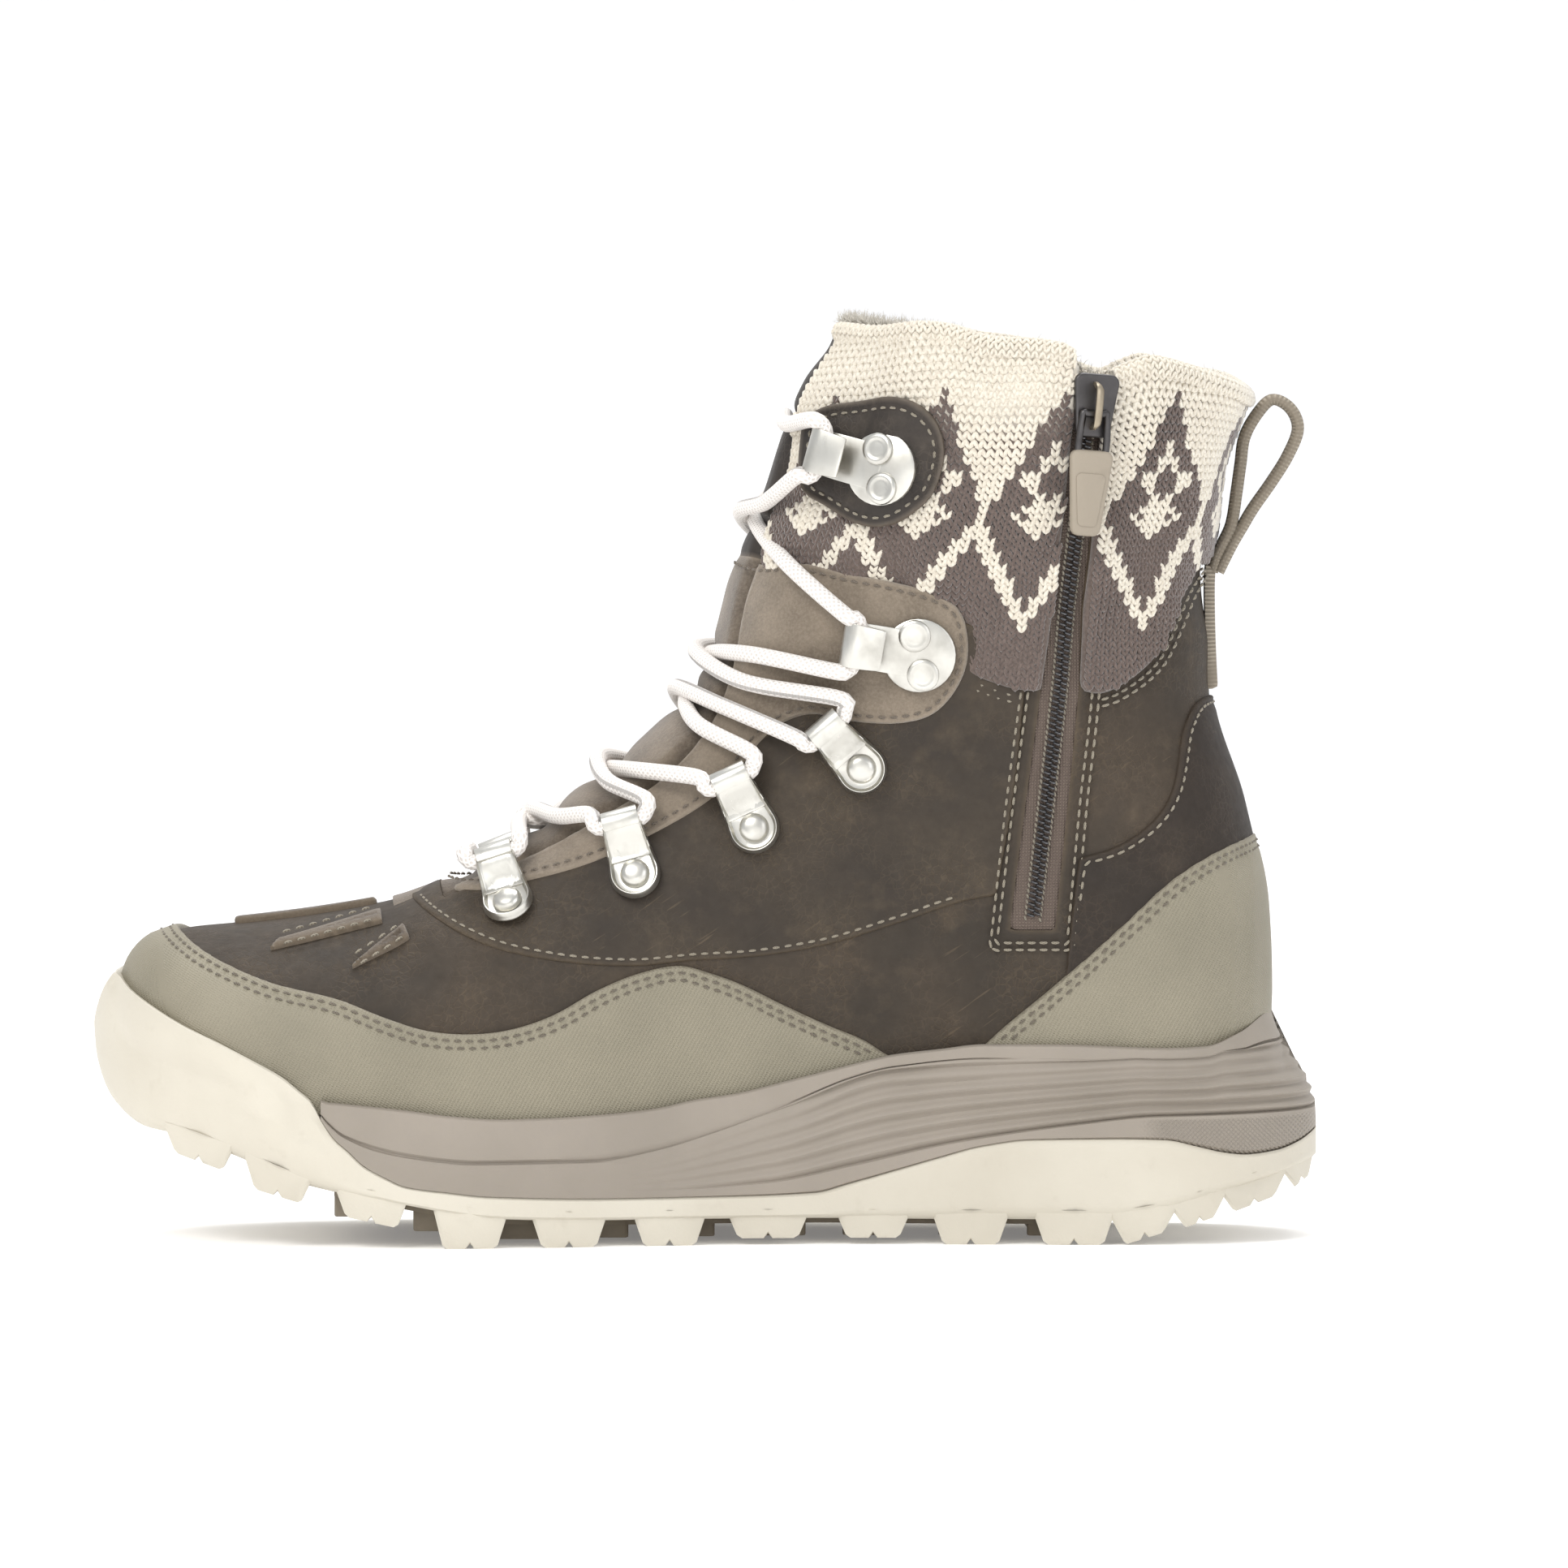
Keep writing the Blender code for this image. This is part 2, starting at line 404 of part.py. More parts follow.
class Skin:
    """The upper's grid, with outward normals, for shells and forms at any offset."""

    def __init__(self, last_row="collar"):
        top = ROW_OF[last_row]
        closed_from = ROW_OF["heel_tip"]
        between = (0.5, 1.5, 11.5, 13.5, 14.4, 14.75)
        self.v = np.array(sorted([float(k) for k in range(top + 1)] + list(between)))
        grid = []
        for v in self.v:
            left = [surface(v, share_at(v, c), -1) for c in range(COLUMNS, 0, -1)]
            right = [surface(v, share_at(v, c), 1) for c in range(0, COLUMNS + 1)]
            grid.append(left + right)
        self.points = np.array(grid)
        self.rows = len(self.v)
        self.open_rows = int(np.sum(self.v < closed_from - 1e-9))
        self.normals = self.find_normals()

    def row(self, name):
        return int(np.argmin(np.abs(self.v - ROW_OF[name])))

    def find_normals(self):
        p = self.points
        along = np.gradient(p, axis=0)
        across = np.gradient(p, axis=1)
        for i in range(self.open_rows, self.rows):
            across[i, 0] = across[i, -1] = (p[i, 1] - p[i, -2]) / 2
            along[i, 0] = along[i, -1] = (along[i, 0] + along[i, -1]) / 2
        normal = np.cross(along, across)
        length = np.linalg.norm(normal, axis=2, keepdims=True)
        normal /= np.maximum(length, 1e-12)
        side = COLUMNS + SIDE_COLUMNS // 2
        if normal[self.row("bend"), side, 1] < 0:
            normal = -normal
        rim = np.zeros(p.shape[:2], bool)
        rim[0, :] = True
        rim[:self.open_rows, 0] = rim[:self.open_rows, -1] = True
        normal[rim, 2] = 0
        flat = normal[rim]
        normal[rim] = flat / np.maximum(np.linalg.norm(flat, axis=1, keepdims=True), 1e-12)
        return normal

    def at(self, offset):
        return self.points + self.normals * offset

    def key(self, i, j):
        """Grid name of a vertex: the two ends of a closed row are one vertex."""
        if i >= self.open_rows and j == 2 * COLUMNS:
            return (i, 0)
        return (i, j)

    def cells(self, first, last, lowest=-COLUMNS, highest=COLUMNS, throat=True):
        """Grid cells between two rows; the throat is left out where it is open."""
        start = self.row("throat")
        found = []
        for i in range(first, last):
            for j in range(lowest + COLUMNS, highest + COLUMNS):
                inside = COLUMNS - THROAT_COLUMNS <= j < COLUMNS + THROAT_COLUMNS
                if not (throat and inside and i >= start):
                    found.append((i, j))
        return found

    def shell(self, name, outer, inner, cells):
        """A closed wall between two offsets over the given cells."""
        shapes = [grid if not np.isscalar(grid) else self.at(grid) for grid in (outer, inner)]
        names, vertices = {}, []

        def vertex(level, i, j):
            key = (level,) + self.key(i, j)
            if key not in names:
                names[key] = len(vertices)
                vertices.append(shapes[level][key[1], key[2]])
            return names[key]

        faces, edges = [], {}
        for i, j in cells:
            corner = [(i, j), (i + 1, j), (i + 1, j + 1), (i, j + 1)]
            for level in (0, 1):
                loop = [vertex(level, *c) for c in corner]
                faces += halves(loop)
            for a, b in zip(corner, corner[1:] + corner[:1]):
                pair = tuple(sorted((self.key(*a), self.key(*b))))
                edges[pair] = edges.get(pair, 0) + 1
        for (a, b), count in edges.items():
            if count == 1 and a != b:
                faces.append([vertex(0, *a), vertex(0, *b), vertex(1, *b), vertex(1, *a)])
        faces = [list(dict.fromkeys(f)) for f in faces]
        return mesh_from(name, vertices, [f for f in faces if len(f) > 2])

    def form(self, name, offset, drop, top_row):
        """The filled last at an offset, its flat underside lowered by drop."""
        grid = self.at(offset)
        names, vertices = {}, []

        def vertex(i, j, low=False):
            key = self.key(i, j) + (low,)
            if key not in names:
                names[key] = len(vertices)
                vertices.append(grid[key[0], key[1]] - np.array([0, 0, drop if low else 0]))
            return names[key]

        end = 2 * COLUMNS
        faces = []
        for i in range(top_row):
            for j in range(end):
                faces += halves([vertex(i, j), vertex(i + 1, j), vertex(i + 1, j + 1), vertex(i, j + 1)])
        rim = [(i, 0) for i in range(self.open_rows, -1, -1)] + [(0, j) for j in range(1, end)]
        rim += [(i, end) for i in range(0, self.open_rows + 1)]
        for a, b in zip(rim, rim[1:]):
            faces.append([vertex(*a), vertex(*b), vertex(*b, True), vertex(*a, True)])
        for i in range(self.open_rows):
            faces.append([vertex(i, 0, True), vertex(i + 1, 0, True),
                          vertex(i + 1, end, True), vertex(i, end, True)])
        for j in range(COLUMNS):
            faces.append([vertex(0, j, True), vertex(0, j + 1, True),
                          vertex(0, end - j - 1, True), vertex(0, end - j, True)])
        faces.append([vertex(top_row, j) for j in range(end)])
        faces = [list(dict.fromkeys(f)) for f in faces]
        return mesh_from(name, vertices, [f for f in faces if len(f) > 2])


class Finder:
    """Places a side-view point on the upper's inner or outer side."""

    def __init__(self):
        self.samples = {}
        for side in (-1, 1):
            points, params = [], []
            for v in np.arange(0, ROW_OF["tongue_top"] + 0.01, 0.125):
                for share in np.linspace(0, 1, 49) ** 1.3:
                    points.append(surface(v, share, side))
                    params.append((v, share))
            self.samples[side] = (np.array(points), np.array(params))

    def param(self, x, z, side):
        points, params = self.samples[side]
        far = np.hypot(points[:, 0] - x, points[:, 2] - z)
        near = np.argsort(far)[:4]
        weight = 1 / (far[near] + 1e-6)
        return tuple((params[near] * weight[:, None]).sum(axis=0) / weight.sum())

    def half_width(self, x, z, side):
        """Distance of the upper's side from the middle plane, 0 outside its side view."""
        points, _ = self.samples[side]
        far = np.hypot(points[:, 0] - x, points[:, 2] - z)
        near = np.argsort(far)[:4]
        if far[near[0]] > 0.004:
            return 0.0
        weight = 1 / (far[near] + 1e-6)
        return abs(float((points[near, 1] * weight).sum() / weight.sum()))

    def frame(self, v, share, side, offset=0.0):
        """Point and outward normal at a place of the surface."""
        step_v, step_s = 0.05, 0.01
        share = max(share, step_s / 2)
        point = surface(v, share, side)
        along = surface(v + step_v, share, side) - surface(v - step_v, share, side)
        across = surface(v, share + step_s, side) - surface(v, max(share - step_s, 0), side)
        normal = np.cross(along, across)
        normal /= np.linalg.norm(normal)
        if normal[1] * side < 0:
            normal = -normal
        return Vector(point) + Vector(normal) * offset, Vector(normal)

    def spot(self, x, z, side, offset=0.0):
        v, share = self.param(x, z, side)
        return self.frame(v, share, side, offset)


def prism(name, points, low_y, high_y):
    """A side-view outline run sideways from low_y to high_y."""
    count = len(points)
    vertices = [(x, low_y, z) for x, z in points] + [(x, high_y, z) for x, z in points]
    faces = [list(range(count)), list(range(count, 2 * count))[::-1]]
    faces += [[k, (k + 1) % count, (k + 1) % count + count, k + count] for k in range(count)]
    return mesh_from(name, vertices, faces)


def cutter(name, points, low_y=-BALL_WIDTH, high_y=BALL_WIDTH):
    return add_object("cut_" + name, prism("cut_" + name, points, low_y, high_y), cutter=True)


def plan(x, side):
    """Half width of the sole at x metres, rounded at toe and heel."""
    share = np.asarray(x) / LENGTH
    width = curve_value(SOLE_PLAN, share, 1 if side < 0 else 2) * BALL_WIDTH
    toe = rounding(share + 0.5, TOE_ROUND, SOLE_POWER)
    heel = rounding(0.5 - share, HEEL_ROUND, SOLE_POWER)
    return width * np.maximum(toe * heel, 0.02)


def sole_stations():
    """Places along the sole: the tables' own steps, closer at toe and heel."""
    table = [row[0] for row in RUBBER_TOP if TOE_STATIONS[-1] < row[0] < HEEL_STATIONS[0]]
    return [x * LENGTH for x in (*TOE_STATIONS, *table, *HEEL_STATIONS)]


def lofted(name, stations, ring):
    """Closed body through rings of equal count, with flat ends."""
    rings = [ring(x) for x in stations]
    count = len(rings[0])
    vertices = [point for loop in rings for point in loop]
    faces = []
    for k in range(len(rings) - 1):
        for j in range(count):
            a, b = k * count + j, k * count + (j + 1) % count
            faces.append([a, b, b + count, a + count])
    faces.append(list(range(count)))
    faces.append([len(vertices) - count + j for j in range(count)][::-1])
    return mesh_from(name, vertices, faces)


def side_ring(x, levels):
    """Section of a sole piece at x from its inner and outer levels of (width, height)."""
    inner = [(x, -w, z) for w, z in levels[-1]]
    outer = [(x, w, z) for w, z in reversed(levels[1])]
    return inner + outer


def ease(t):
    t = np.clip(t, 0, 1)
    return float(t * t * (3 - 2 * t))


def lip_width(finder, x, z, side):
    """Half width of the sole's upper edge: it stands just outside the rand."""
    width = finder.half_width(x, z, side)
    return min(width + SOLE_LIP + OVERLAY, plan(x, side)) if width > 0 else plan(x, side)


def make_outsole(finder, last_form):
    stations = sole_stations()

    def levels(x, side):
        low, high = side_curve(BASE_LINE, x), side_curve(RUBBER_TOP, x)
        wide = float(plan(x, side))
        bumper = 1 - ease((x / LENGTH + 0.325) / 0.035)
        top = wide - GAP + bumper * (lip_width(finder, x, high, side) - wide + GAP)
        return [(max(wide + (top - wide) * lean * (bumper if t < 1 else 1) - inset * SOLE_BEVEL, GAP),
                 low + t * (high - low)) for t, lean, inset in RUBBER_LEVELS]

    mesh = lofted("outsole", stations, lambda x: side_ring(x, {s: levels(x, s) for s in (-1, 1)}))
    outsole = add_object("outsole", mesh, "cream_rubber")
    vertices, faces = [], []
    for start, stop, ground_start, ground_stop in SIDE_LUGS:
        for side in (-1, 1):
            base = len(vertices)
            for end, place, ground in ((0, start, ground_start), (1, stop, ground_stop)):
                x = place * LENGTH
                draft = LUG_DRAFT * (1 if end == 0 else -1)
                roof = float(side_curve(BASE_LINE, x)) + LUG_ROOT
                wide = float(plan(x, side))
                inner = max(wide - LUG_WIDTH, LUG_ROOT * (1 + side))
                outer = max(wide - LUG_INSET, inner + 2 * LUG_ROOT)
                vertices += [(x, side * inner, roof), (x, side * outer, roof),
                             (x + draft, side * (outer - LUG_DRAFT), ground * HEIGHT),
                             (x + draft, side * (inner + LUG_DRAFT * 0.5), ground * HEIGHT)]
            faces += [[base, base + 1, base + 2, base + 3], [base + 7, base + 6, base + 5, base + 4]]
            faces += [[base + k, base + (k + 1) % 4, base + (k + 1) % 4 + 4, base + k + 4]
                      for k in range(4)]
    lugs = add_object("cut_lugs", mesh_from("cut_lugs", vertices, faces), cutter=True)
    combine(outsole, lugs, "UNION")
    combine(outsole, last_form, "DIFFERENCE")
    return outsole


def make_insert():
    """Plate under the rubber, between the side lugs, with its own lower lugs."""
    first, last = CENTRE_LUGS[0][0] * LENGTH, CENTRE_LUGS[-1][1] * LENGTH
    stations = [x for x in sole_stations() if first < x < last]
    stations = [first] + stations + [last]

    def half(x, side):
        return max(float(plan(x, side)) - LUG_WIDTH - 2 * GAP, 3 * LUG_ROOT)

    def levels(x, side):
        top = float(side_curve(BASE_LINE, x)) - GAP
        return [(half(x, side), top - INSERT_THICKNESS), (half(x, side), top)]

    mesh = lofted("tread_insert", stations,
                  lambda x: side_ring(x, {s: levels(x, s) for s in (-1, 1)}))
    insert = add_object("tread_insert", mesh, "taupe_rubber")
    vertices, faces = [], []
    for start, stop in CENTRE_LUGS:
        for side in (-1, 1):
            base = len(vertices)
            for end, x in ((0, start * LENGTH), (1, stop * LENGTH)):
                draft = LUG_DRAFT * (1 if end == 0 else -1)
                roof = float(side_curve(BASE_LINE, x)) - GAP - INSERT_THICKNESS * 0.5
                ground = max(CENTRE_LUG_GROUND * HEIGHT, roof - CENTRE_LUG_HEIGHT)
                inner, outer = LUG_ROOT, half(x, side) - LUG_ROOT
                vertices += [(x, side * inner, roof), (x, side * outer, roof),
                             (x + draft, side * (outer - LUG_DRAFT * 0.6), ground),
                             (x + draft, side * (inner + LUG_DRAFT * 0.6), ground)]
            faces += [[base, base + 1, base + 2, base + 3], [base + 7, base + 6, base + 5, base + 4]]
            faces += [[base + k, base + (k + 1) % 4, base + (k + 1) % 4 + 4, base + k + 4]
                      for k in range(4)]
    lugs = add_object("cut_insert", mesh_from("cut_insert", vertices, faces), cutter=True)
    combine(insert, lugs, "UNION")
    return insert


def make_midsole(finder, last_form):
    stations = [FOAM_START * LENGTH] + [x for x in sole_stations() if x > FOAM_START * LENGTH]

    def levels(x, side):
        low = float(side_curve(RUBBER_TOP, x)) + GAP
        high = max(float(side_curve(FOAM_TOP, x)), low + 3 * GAP)
        tall = high - low
        groove = float(np.clip(side_curve(GROOVE_LINE, x), low + 0.3 * tall, high - 0.2 * tall))
        wide = float(plan(x, side))
        top = lip_width(finder, x, high, side)
        depth = RIB_DEPTH * ease((x / LENGTH + 0.10) / 0.22)
        found = [(wide, low)]
        for rib in range(RIB_COUNT):
            for share, inset in (((rib + 0.5) / RIB_COUNT, 0.0), ((rib + 0.95) / RIB_COUNT, depth)):
                height = low + share * 0.94 * (groove - low)
                found.append((wide + (top - wide) * 0.35 * share * share - inset, height))
        found.append((wide + (top - wide) * 0.40 - GROOVE_DEPTH, groove))
        found.append((wide + (top - wide) * 0.45, groove + 0.18 * (high - groove)))
        found.append((wide + (top - wide) * 0.70, groove + 0.65 * (high - groove)))
        found.append((top, high))
        return [(max(w, GAP), z) for w, z in found]

    mesh = lofted("midsole", stations, lambda x: side_ring(x, {s: levels(x, s) for s in (-1, 1)}))
    midsole = add_object("midsole", mesh, "foam")
    combine(midsole, last_form, "DIFFERENCE")
    return midsole


def make_insole(skin):
    """Footbed: the inside of the upper's lower edge, carried by the platform."""
    inner = skin.at(-WALL - 8 * GAP)
    end = 2 * COLUMNS
    lower, upper = [], []
    rim = [(i, 0) for i in range(skin.open_rows - 1, -1, -1)] + [(0, j) for j in range(1, end)]
    rim += [(i, end) for i in range(0, skin.open_rows)]
    for i, j in rim:
        x, y, z = inner[i, j]
        lower.append((x, y, z))
        upper.append((x, y, z + INSOLE_THICKNESS))
    count = len(rim)
    faces = [[k, (k + 1) % count, (k + 1) % count + count, k + count] for k in range(count)]
    for k in range(count // 2):
        a, b, c, d = k, k + 1, count - 2 - k, count - 1 - k
        loop = list(dict.fromkeys([a, b, c, d]))
        if len(loop) > 2:
            faces.append(loop)
            faces.append([vertex + count for vertex in loop][::-1])
    return add_object("insole", mesh_from("insole", lower + upper, faces), "footbed")


def throat_dip(skin, outer_level, inner_level):
    """Offsets of the tongue: level with the upper in the throat, under its wall at the sides."""
    grid = skin.points.copy()
    for j in range(2 * COLUMNS + 1):
        column = abs(j - COLUMNS)
        share = ease((column - (THROAT_COLUMNS - 1.6)) / 1.0)
        grid[:, j] += skin.normals[:, j] * (outer_level + share * (inner_level - outer_level))
    return grid


def make_tongue():
    skin = Skin("tongue_top")
    first = skin.row("throat") - 1
    reach = THROAT_COLUMNS + 1
    under = -WALL - 2 * GAP
    outer = throat_dip(skin, -GAP, under)
    inner = throat_dip(skin, -GAP - TONGUE_THICKNESS, under - TONGUE_THICKNESS * 0.6)
    for i in range(first, skin.row("throat") + 1):
        for j in range(2 * COLUMNS + 1):
            outer[i, j] = skin.points[i, j] + skin.normals[i, j] * under
            inner[i, j] = skin.points[i, j] + skin.normals[i, j] * (under - TONGUE_THICKNESS * 0.6)
    cells = skin.cells(first, skin.rows - 1, -reach, reach, throat=False)
    return add_object("tongue", skin.shell("tongue", outer, inner, cells), "suede")


def band_outline(line, shrink, lift):
    """Outline round a middle line of (along, height, half width); its lower end lifted."""
    left = [((x - w) * LENGTH + shrink, z * HEIGHT) for x, z, w in line]
    right = [((x + w) * LENGTH - shrink, z * HEIGHT) for x, z, w in line]
    left[-1] = (left[-1][0], left[-1][1] + lift)
    right[-1] = (right[-1][0], right[-1][1] + lift)
    return left + right[::-1]


def zip_band(shrink):
    """Side-view band of the zip's slot; shrink draws its edges in."""
    return band_outline(ZIP_LINE, shrink, shrink)


def layer(skin, name, outer, inner, cut, material, cells, low_y=-BALL_WIDTH, high_y=BALL_WIDTH):
    """An overlay: a wall of the upper's own surface inside a side-view outline."""
    item = add_object(name, skin.shell(name, outer, inner, cells), material)
    combine(item, cutter(name, cut, low_y, high_y), "INTERSECT")
    return item


SIDES = (("medial", -BALL_WIDTH, -SIDE_MARGIN), ("lateral", SIDE_MARGIN, BALL_WIDTH))


def make_rands(skin):
    """The coated rands round toe and heel, and the leather counter that meets the heel's."""
    high = GAP + OVERLAY
    layer(skin, "toe_rand", high, GAP, outline(TOE_RAND), "coated_rand", skin.cells(0, skin.row("ankle")))
    layer(skin, "heel_rand", high, GAP, outline(HEEL_RAND), "coated_rand",
          skin.cells(skin.row("instep_high"), skin.row("shaft")))
    rand_edge = [COUNTER_FOOT] + [(x, z) for x, z in HEEL_RAND if x > COUNTER_FOOT[0] and z > COUNTER_FOOT[1]]
    edge = [(x, z + 2 * GAP) for x, z in outline(rand_edge)]
    layer(skin, "heel_counter", high, GAP, outline(COUNTER_SEAM) + edge, "leather",
          skin.cells(skin.row("bend"), skin.row("shaft_top")))


def make_cuff(skin):
    """The knitted collar in two pieces, parted by the zip and open at the throat."""
    high = GAP + CUFF_THICKNESS
    strap_edge = [(x + 2 * GAP, z + 2 * GAP) for x, z in outline(STRAP_OUTLINE) if z > STRAP_SIDE * HEIGHT]
    front, back, top = CUFF_FRAME
    cut = [(front * LENGTH, strap_edge[0][1])] + strap_edge + outline(KNIT_EDGE)
    cut += [(back * LENGTH, top * HEIGHT), (front * LENGTH, top * HEIGHT)]
    cells = skin.cells(skin.row("bend"), skin.rows - 1)
    slot = zip_band(0.0)
    half = len(slot) // 2
    low = slot[half - 1][1]
    back_side = slot[:half] + [(LENGTH, low), (LENGTH, top * HEIGHT)]
    front_side = slot[half:] + [(-LENGTH, top * HEIGHT), (-LENGTH, low)]
    cuff = layer(skin, "cuff", high, GAP, cut, "knit", cells)
    combine(cuff, cutter("cuff_front_side", front_side, -BALL_WIDTH, -SIDE_MARGIN), "DIFFERENCE")
    panel = layer(skin, "cuff_front", high, GAP, cut, "knit", cells, -BALL_WIDTH, -SIDE_MARGIN)
    combine(panel, cutter("cuff_back_side", back_side), "DIFFERENCE")


def make_trims(skin):
    """Eyestays, hook patches, back strap and the raised slits of the vamp."""
    top = skin.rows - 1
    high = GAP + OVERLAY
    eyestay = outline(STRAP_OUTLINE) + outline(EYESTAY_SEAM)
    on_cuff = 2 * GAP + CUFF_THICKNESS
    for side_name, low_y, high_y in SIDES:
        layer(skin, "eyestay_" + side_name, high, GAP, eyestay, "suede",
              skin.cells(skin.row("ball"), top), low_y, high_y)
        layer(skin, "hook_patch_" + side_name, on_cuff + PATCH, on_cuff, outline(HOOK_PATCH), "dark_leather",
              skin.cells(skin.row("bend"), top), low_y, high_y)
    low, upper_end = BACK_STRAP_RANGE
    band = outline(((0.0, low), (1.0, low), (1.0, upper_end), (0.0, upper_end)))
    layer(skin, "back_strap", GAP + WEBBING, GAP, band, "webbing",
          skin.cells(skin.row("heel_mid"), top), -WEBBING_WIDTH / 2, WEBBING_WIDTH / 2)
    vamp = skin.cells(skin.row("toe_crown"), skin.row("instep_low"))
    for name, table in VAMP_SLITS:
        layer(skin, name + "_medial", high, GAP, outline(table), "suede", vamp,
              -BALL_WIDTH, -SLIT_INNER * BALL_WIDTH)
        layer(skin, name + "_lateral", high, GAP, outline(table), "suede", vamp, 0.0, BALL_WIDTH)
    start, stop, half = RIDGE_SLIT
    ridge = outline(((start, 0.0), (stop, 0.0), (stop, 1.0), (start, 1.0)))
    middle = section_values(float(ROW_OF["vamp"]))["ridge"]
    layer(skin, "vamp_slit_ridge", high, GAP, ridge, "suede", vamp,
          middle - half * BALL_WIDTH, middle + half * BALL_WIDTH)


def zip_frame(finder):
    """Placement of the slider: x across the zip, y up along it, z out of the boot."""
    rising = ZIP_LINE[::-1]
    x = np.interp(SLIDER_PLACE, [row[1] for row in rising], [row[0] for row in rising])
    point, normal = finder.spot(x * LENGTH, SLIDER_PLACE * HEIGHT, -1)
    down = finder.spot(ZIP_LINE[2][0] * LENGTH, ZIP_LINE[2][1] * HEIGHT, -1)[0]
    up = (point - down).normalized()
    up = (up - normal * up.dot(normal)).normalized()
    across = up.cross(normal).normalized()
    frame = Matrix((across, up, normal)).transposed().to_4x4()
    frame.translation = point
    return frame


def make_zip(skin, finder):
    """Tape, closed chain, slider with its bridge, and the pull that hangs on the bridge."""
    band = [c for c in skin.cells(skin.row("instep_high"), skin.rows - 1) if c[1] < COLUMNS]
    layer(skin, "zip_tape", -TAPE_SINK, -TAPE_SINK - TAPE, zip_band(2 * GAP), "tape", band,
          -BALL_WIDTH, -SIDE_MARGIN)
    slot_half = ZIP_LINE[-1][2] * LENGTH
    chain = [(x, z, CHAIN_WIDTH / 2 / LENGTH) for x, z, _ in ZIP_LINE]
    chain_cut = band_outline(chain, 0.0, slot_half)
    floor = GAP - TAPE_SINK
    layer(skin, "zip_chain", floor + CHAIN_HEIGHT, floor, chain_cut, "gunmetal", band,
          -BALL_WIDTH, -SIDE_MARGIN)
    frame = zip_frame(finder)
    crown = make_slider(frame)
    make_pull(frame, crown)


def make_slider(frame):
    """Slider: a keel over the chain, a deck over the slot's edges and a bridge on top."""
    low = GAP + CHAIN_HEIGHT
    deck = 4 * GAP + CUFF_THICKNESS
    crown = deck + SLIDER_HEIGHT
    half = SLIDER_WIDTH / 2
    keel = CHAIN_WIDTH / 2 + KEEL_PLAY
    edge = half - SLIDER_BEVEL
    profile = [(-keel, low), (keel, low), (keel, deck), (half, deck), (half, crown - SLIDER_BEVEL),
               (edge, crown), (-edge, crown), (-half, crown - SLIDER_BEVEL), (-half, deck), (-keel, deck)]
    slider = add_object("zip_slider", extrude_profile("zip_slider", profile, 0, 2, 1, SLIDER_LENGTH / 2),
                        "gunmetal")
    outer, foot, top = BRIDGE_LENGTH / 2, crown - SLIDER_BEVEL, crown + BRIDGE_HEIGHT
    inner = outer - BRIDGE_BAR
    arch = [(-outer, foot), (-outer, top), (outer, top), (outer, foot), (inner, foot),
            (inner, top - BRIDGE_BAR), (-inner, top - BRIDGE_BAR), (-inner, foot)]
    bridge = add_object("cut_bridge", extrude_profile("cut_bridge", arch, 1, 2, 0, BRIDGE_HALF_WIDTH),
                        cutter=True)
    combine(slider, bridge, "UNION")
    slider.matrix_world = frame
    bridge.matrix_world = frame
    return crown


def make_pull(frame, crown):
    """Link and rubber tab, with their origin on the pin under the bridge."""
    bar = LINK_BAR / 2
    pin_height = crown + (BRIDGE_HEIGHT - BRIDGE_BAR) / 2
    pin_along = -BRIDGE_LENGTH / 2 + BRIDGE_BAR + bar + LINK_PLAY
    arm_in = BRIDGE_HALF_WIDTH + LINK_PLAY
    arm_out = arm_in + 1.25 * LINK_BAR
    boxes = [box_points((-arm_out, arm_out), (-bar, bar), (-bar, bar))]
    for s in (-1, 1):
        boxes.append(box_points(sorted((s * arm_in, s * arm_out)), (-LINK_LENGTH, bar), (-bar, bar)))
    boxes.append(box_points((-arm_out, arm_out), (-LINK_LENGTH - bar, -LINK_LENGTH), (-bar, bar)))
    pull = union_of("zip_pull", boxes, "taupe_rubber")
    grip = rounded_plate("cut_grip", PULL_WIDTH / 2, -LINK_LENGTH - PULL_LENGTH, -LINK_LENGTH - GAP,
                         PULL_THICKNESS / 2)
    combine(pull, add_object("cut_grip", grip, cutter=True), "UNION")
    turned = frame.copy()
    turned.translation = frame @ Vector((0, pin_along, pin_height))
    for item in [pull] + [step.object for step in pull.modifiers]:
        item.matrix_world = turned


def box_points(xs, ys, zs):
    return [(x, y, z) for x in xs for y in ys for z in zs]


def box_mesh(name, corners):
    faces = [[0, 1, 3, 2], [4, 6, 7, 5], [0, 4, 5, 1], [2, 3, 7, 6], [0, 2, 6, 4], [1, 5, 7, 3]]
    return mesh_from(name, corners, faces)


def union_of(name, boxes, material):
    first = add_object(name, box_mesh(name, boxes[0]), material)
    for number, corners in enumerate(boxes[1:]):
        helper_name = "cut_%s_%d" % (name, number)
        combine(first, add_object(helper_name, box_mesh(helper_name, corners), cutter=True), "UNION")
    return first


def extrude_profile(name, profile, axis_a, axis_b, axis_run, half):
    """A closed profile in two local axes run along the third, from -half to half."""
    vertices = []
    for run in (-half, half):
        for a, b in profile:
            point = [0.0, 0.0, 0.0]
            point[axis_a], point[axis_b], point[axis_run] = a, b, run
            vertices.append(point)
    count = len(profile)
    faces = [list(range(count)), list(range(count, 2 * count))[::-1]]
    faces += [[k, (k + 1) % count, (k + 1) % count + count, k + count] for k in range(count)]
    return mesh_from(name, vertices, faces)


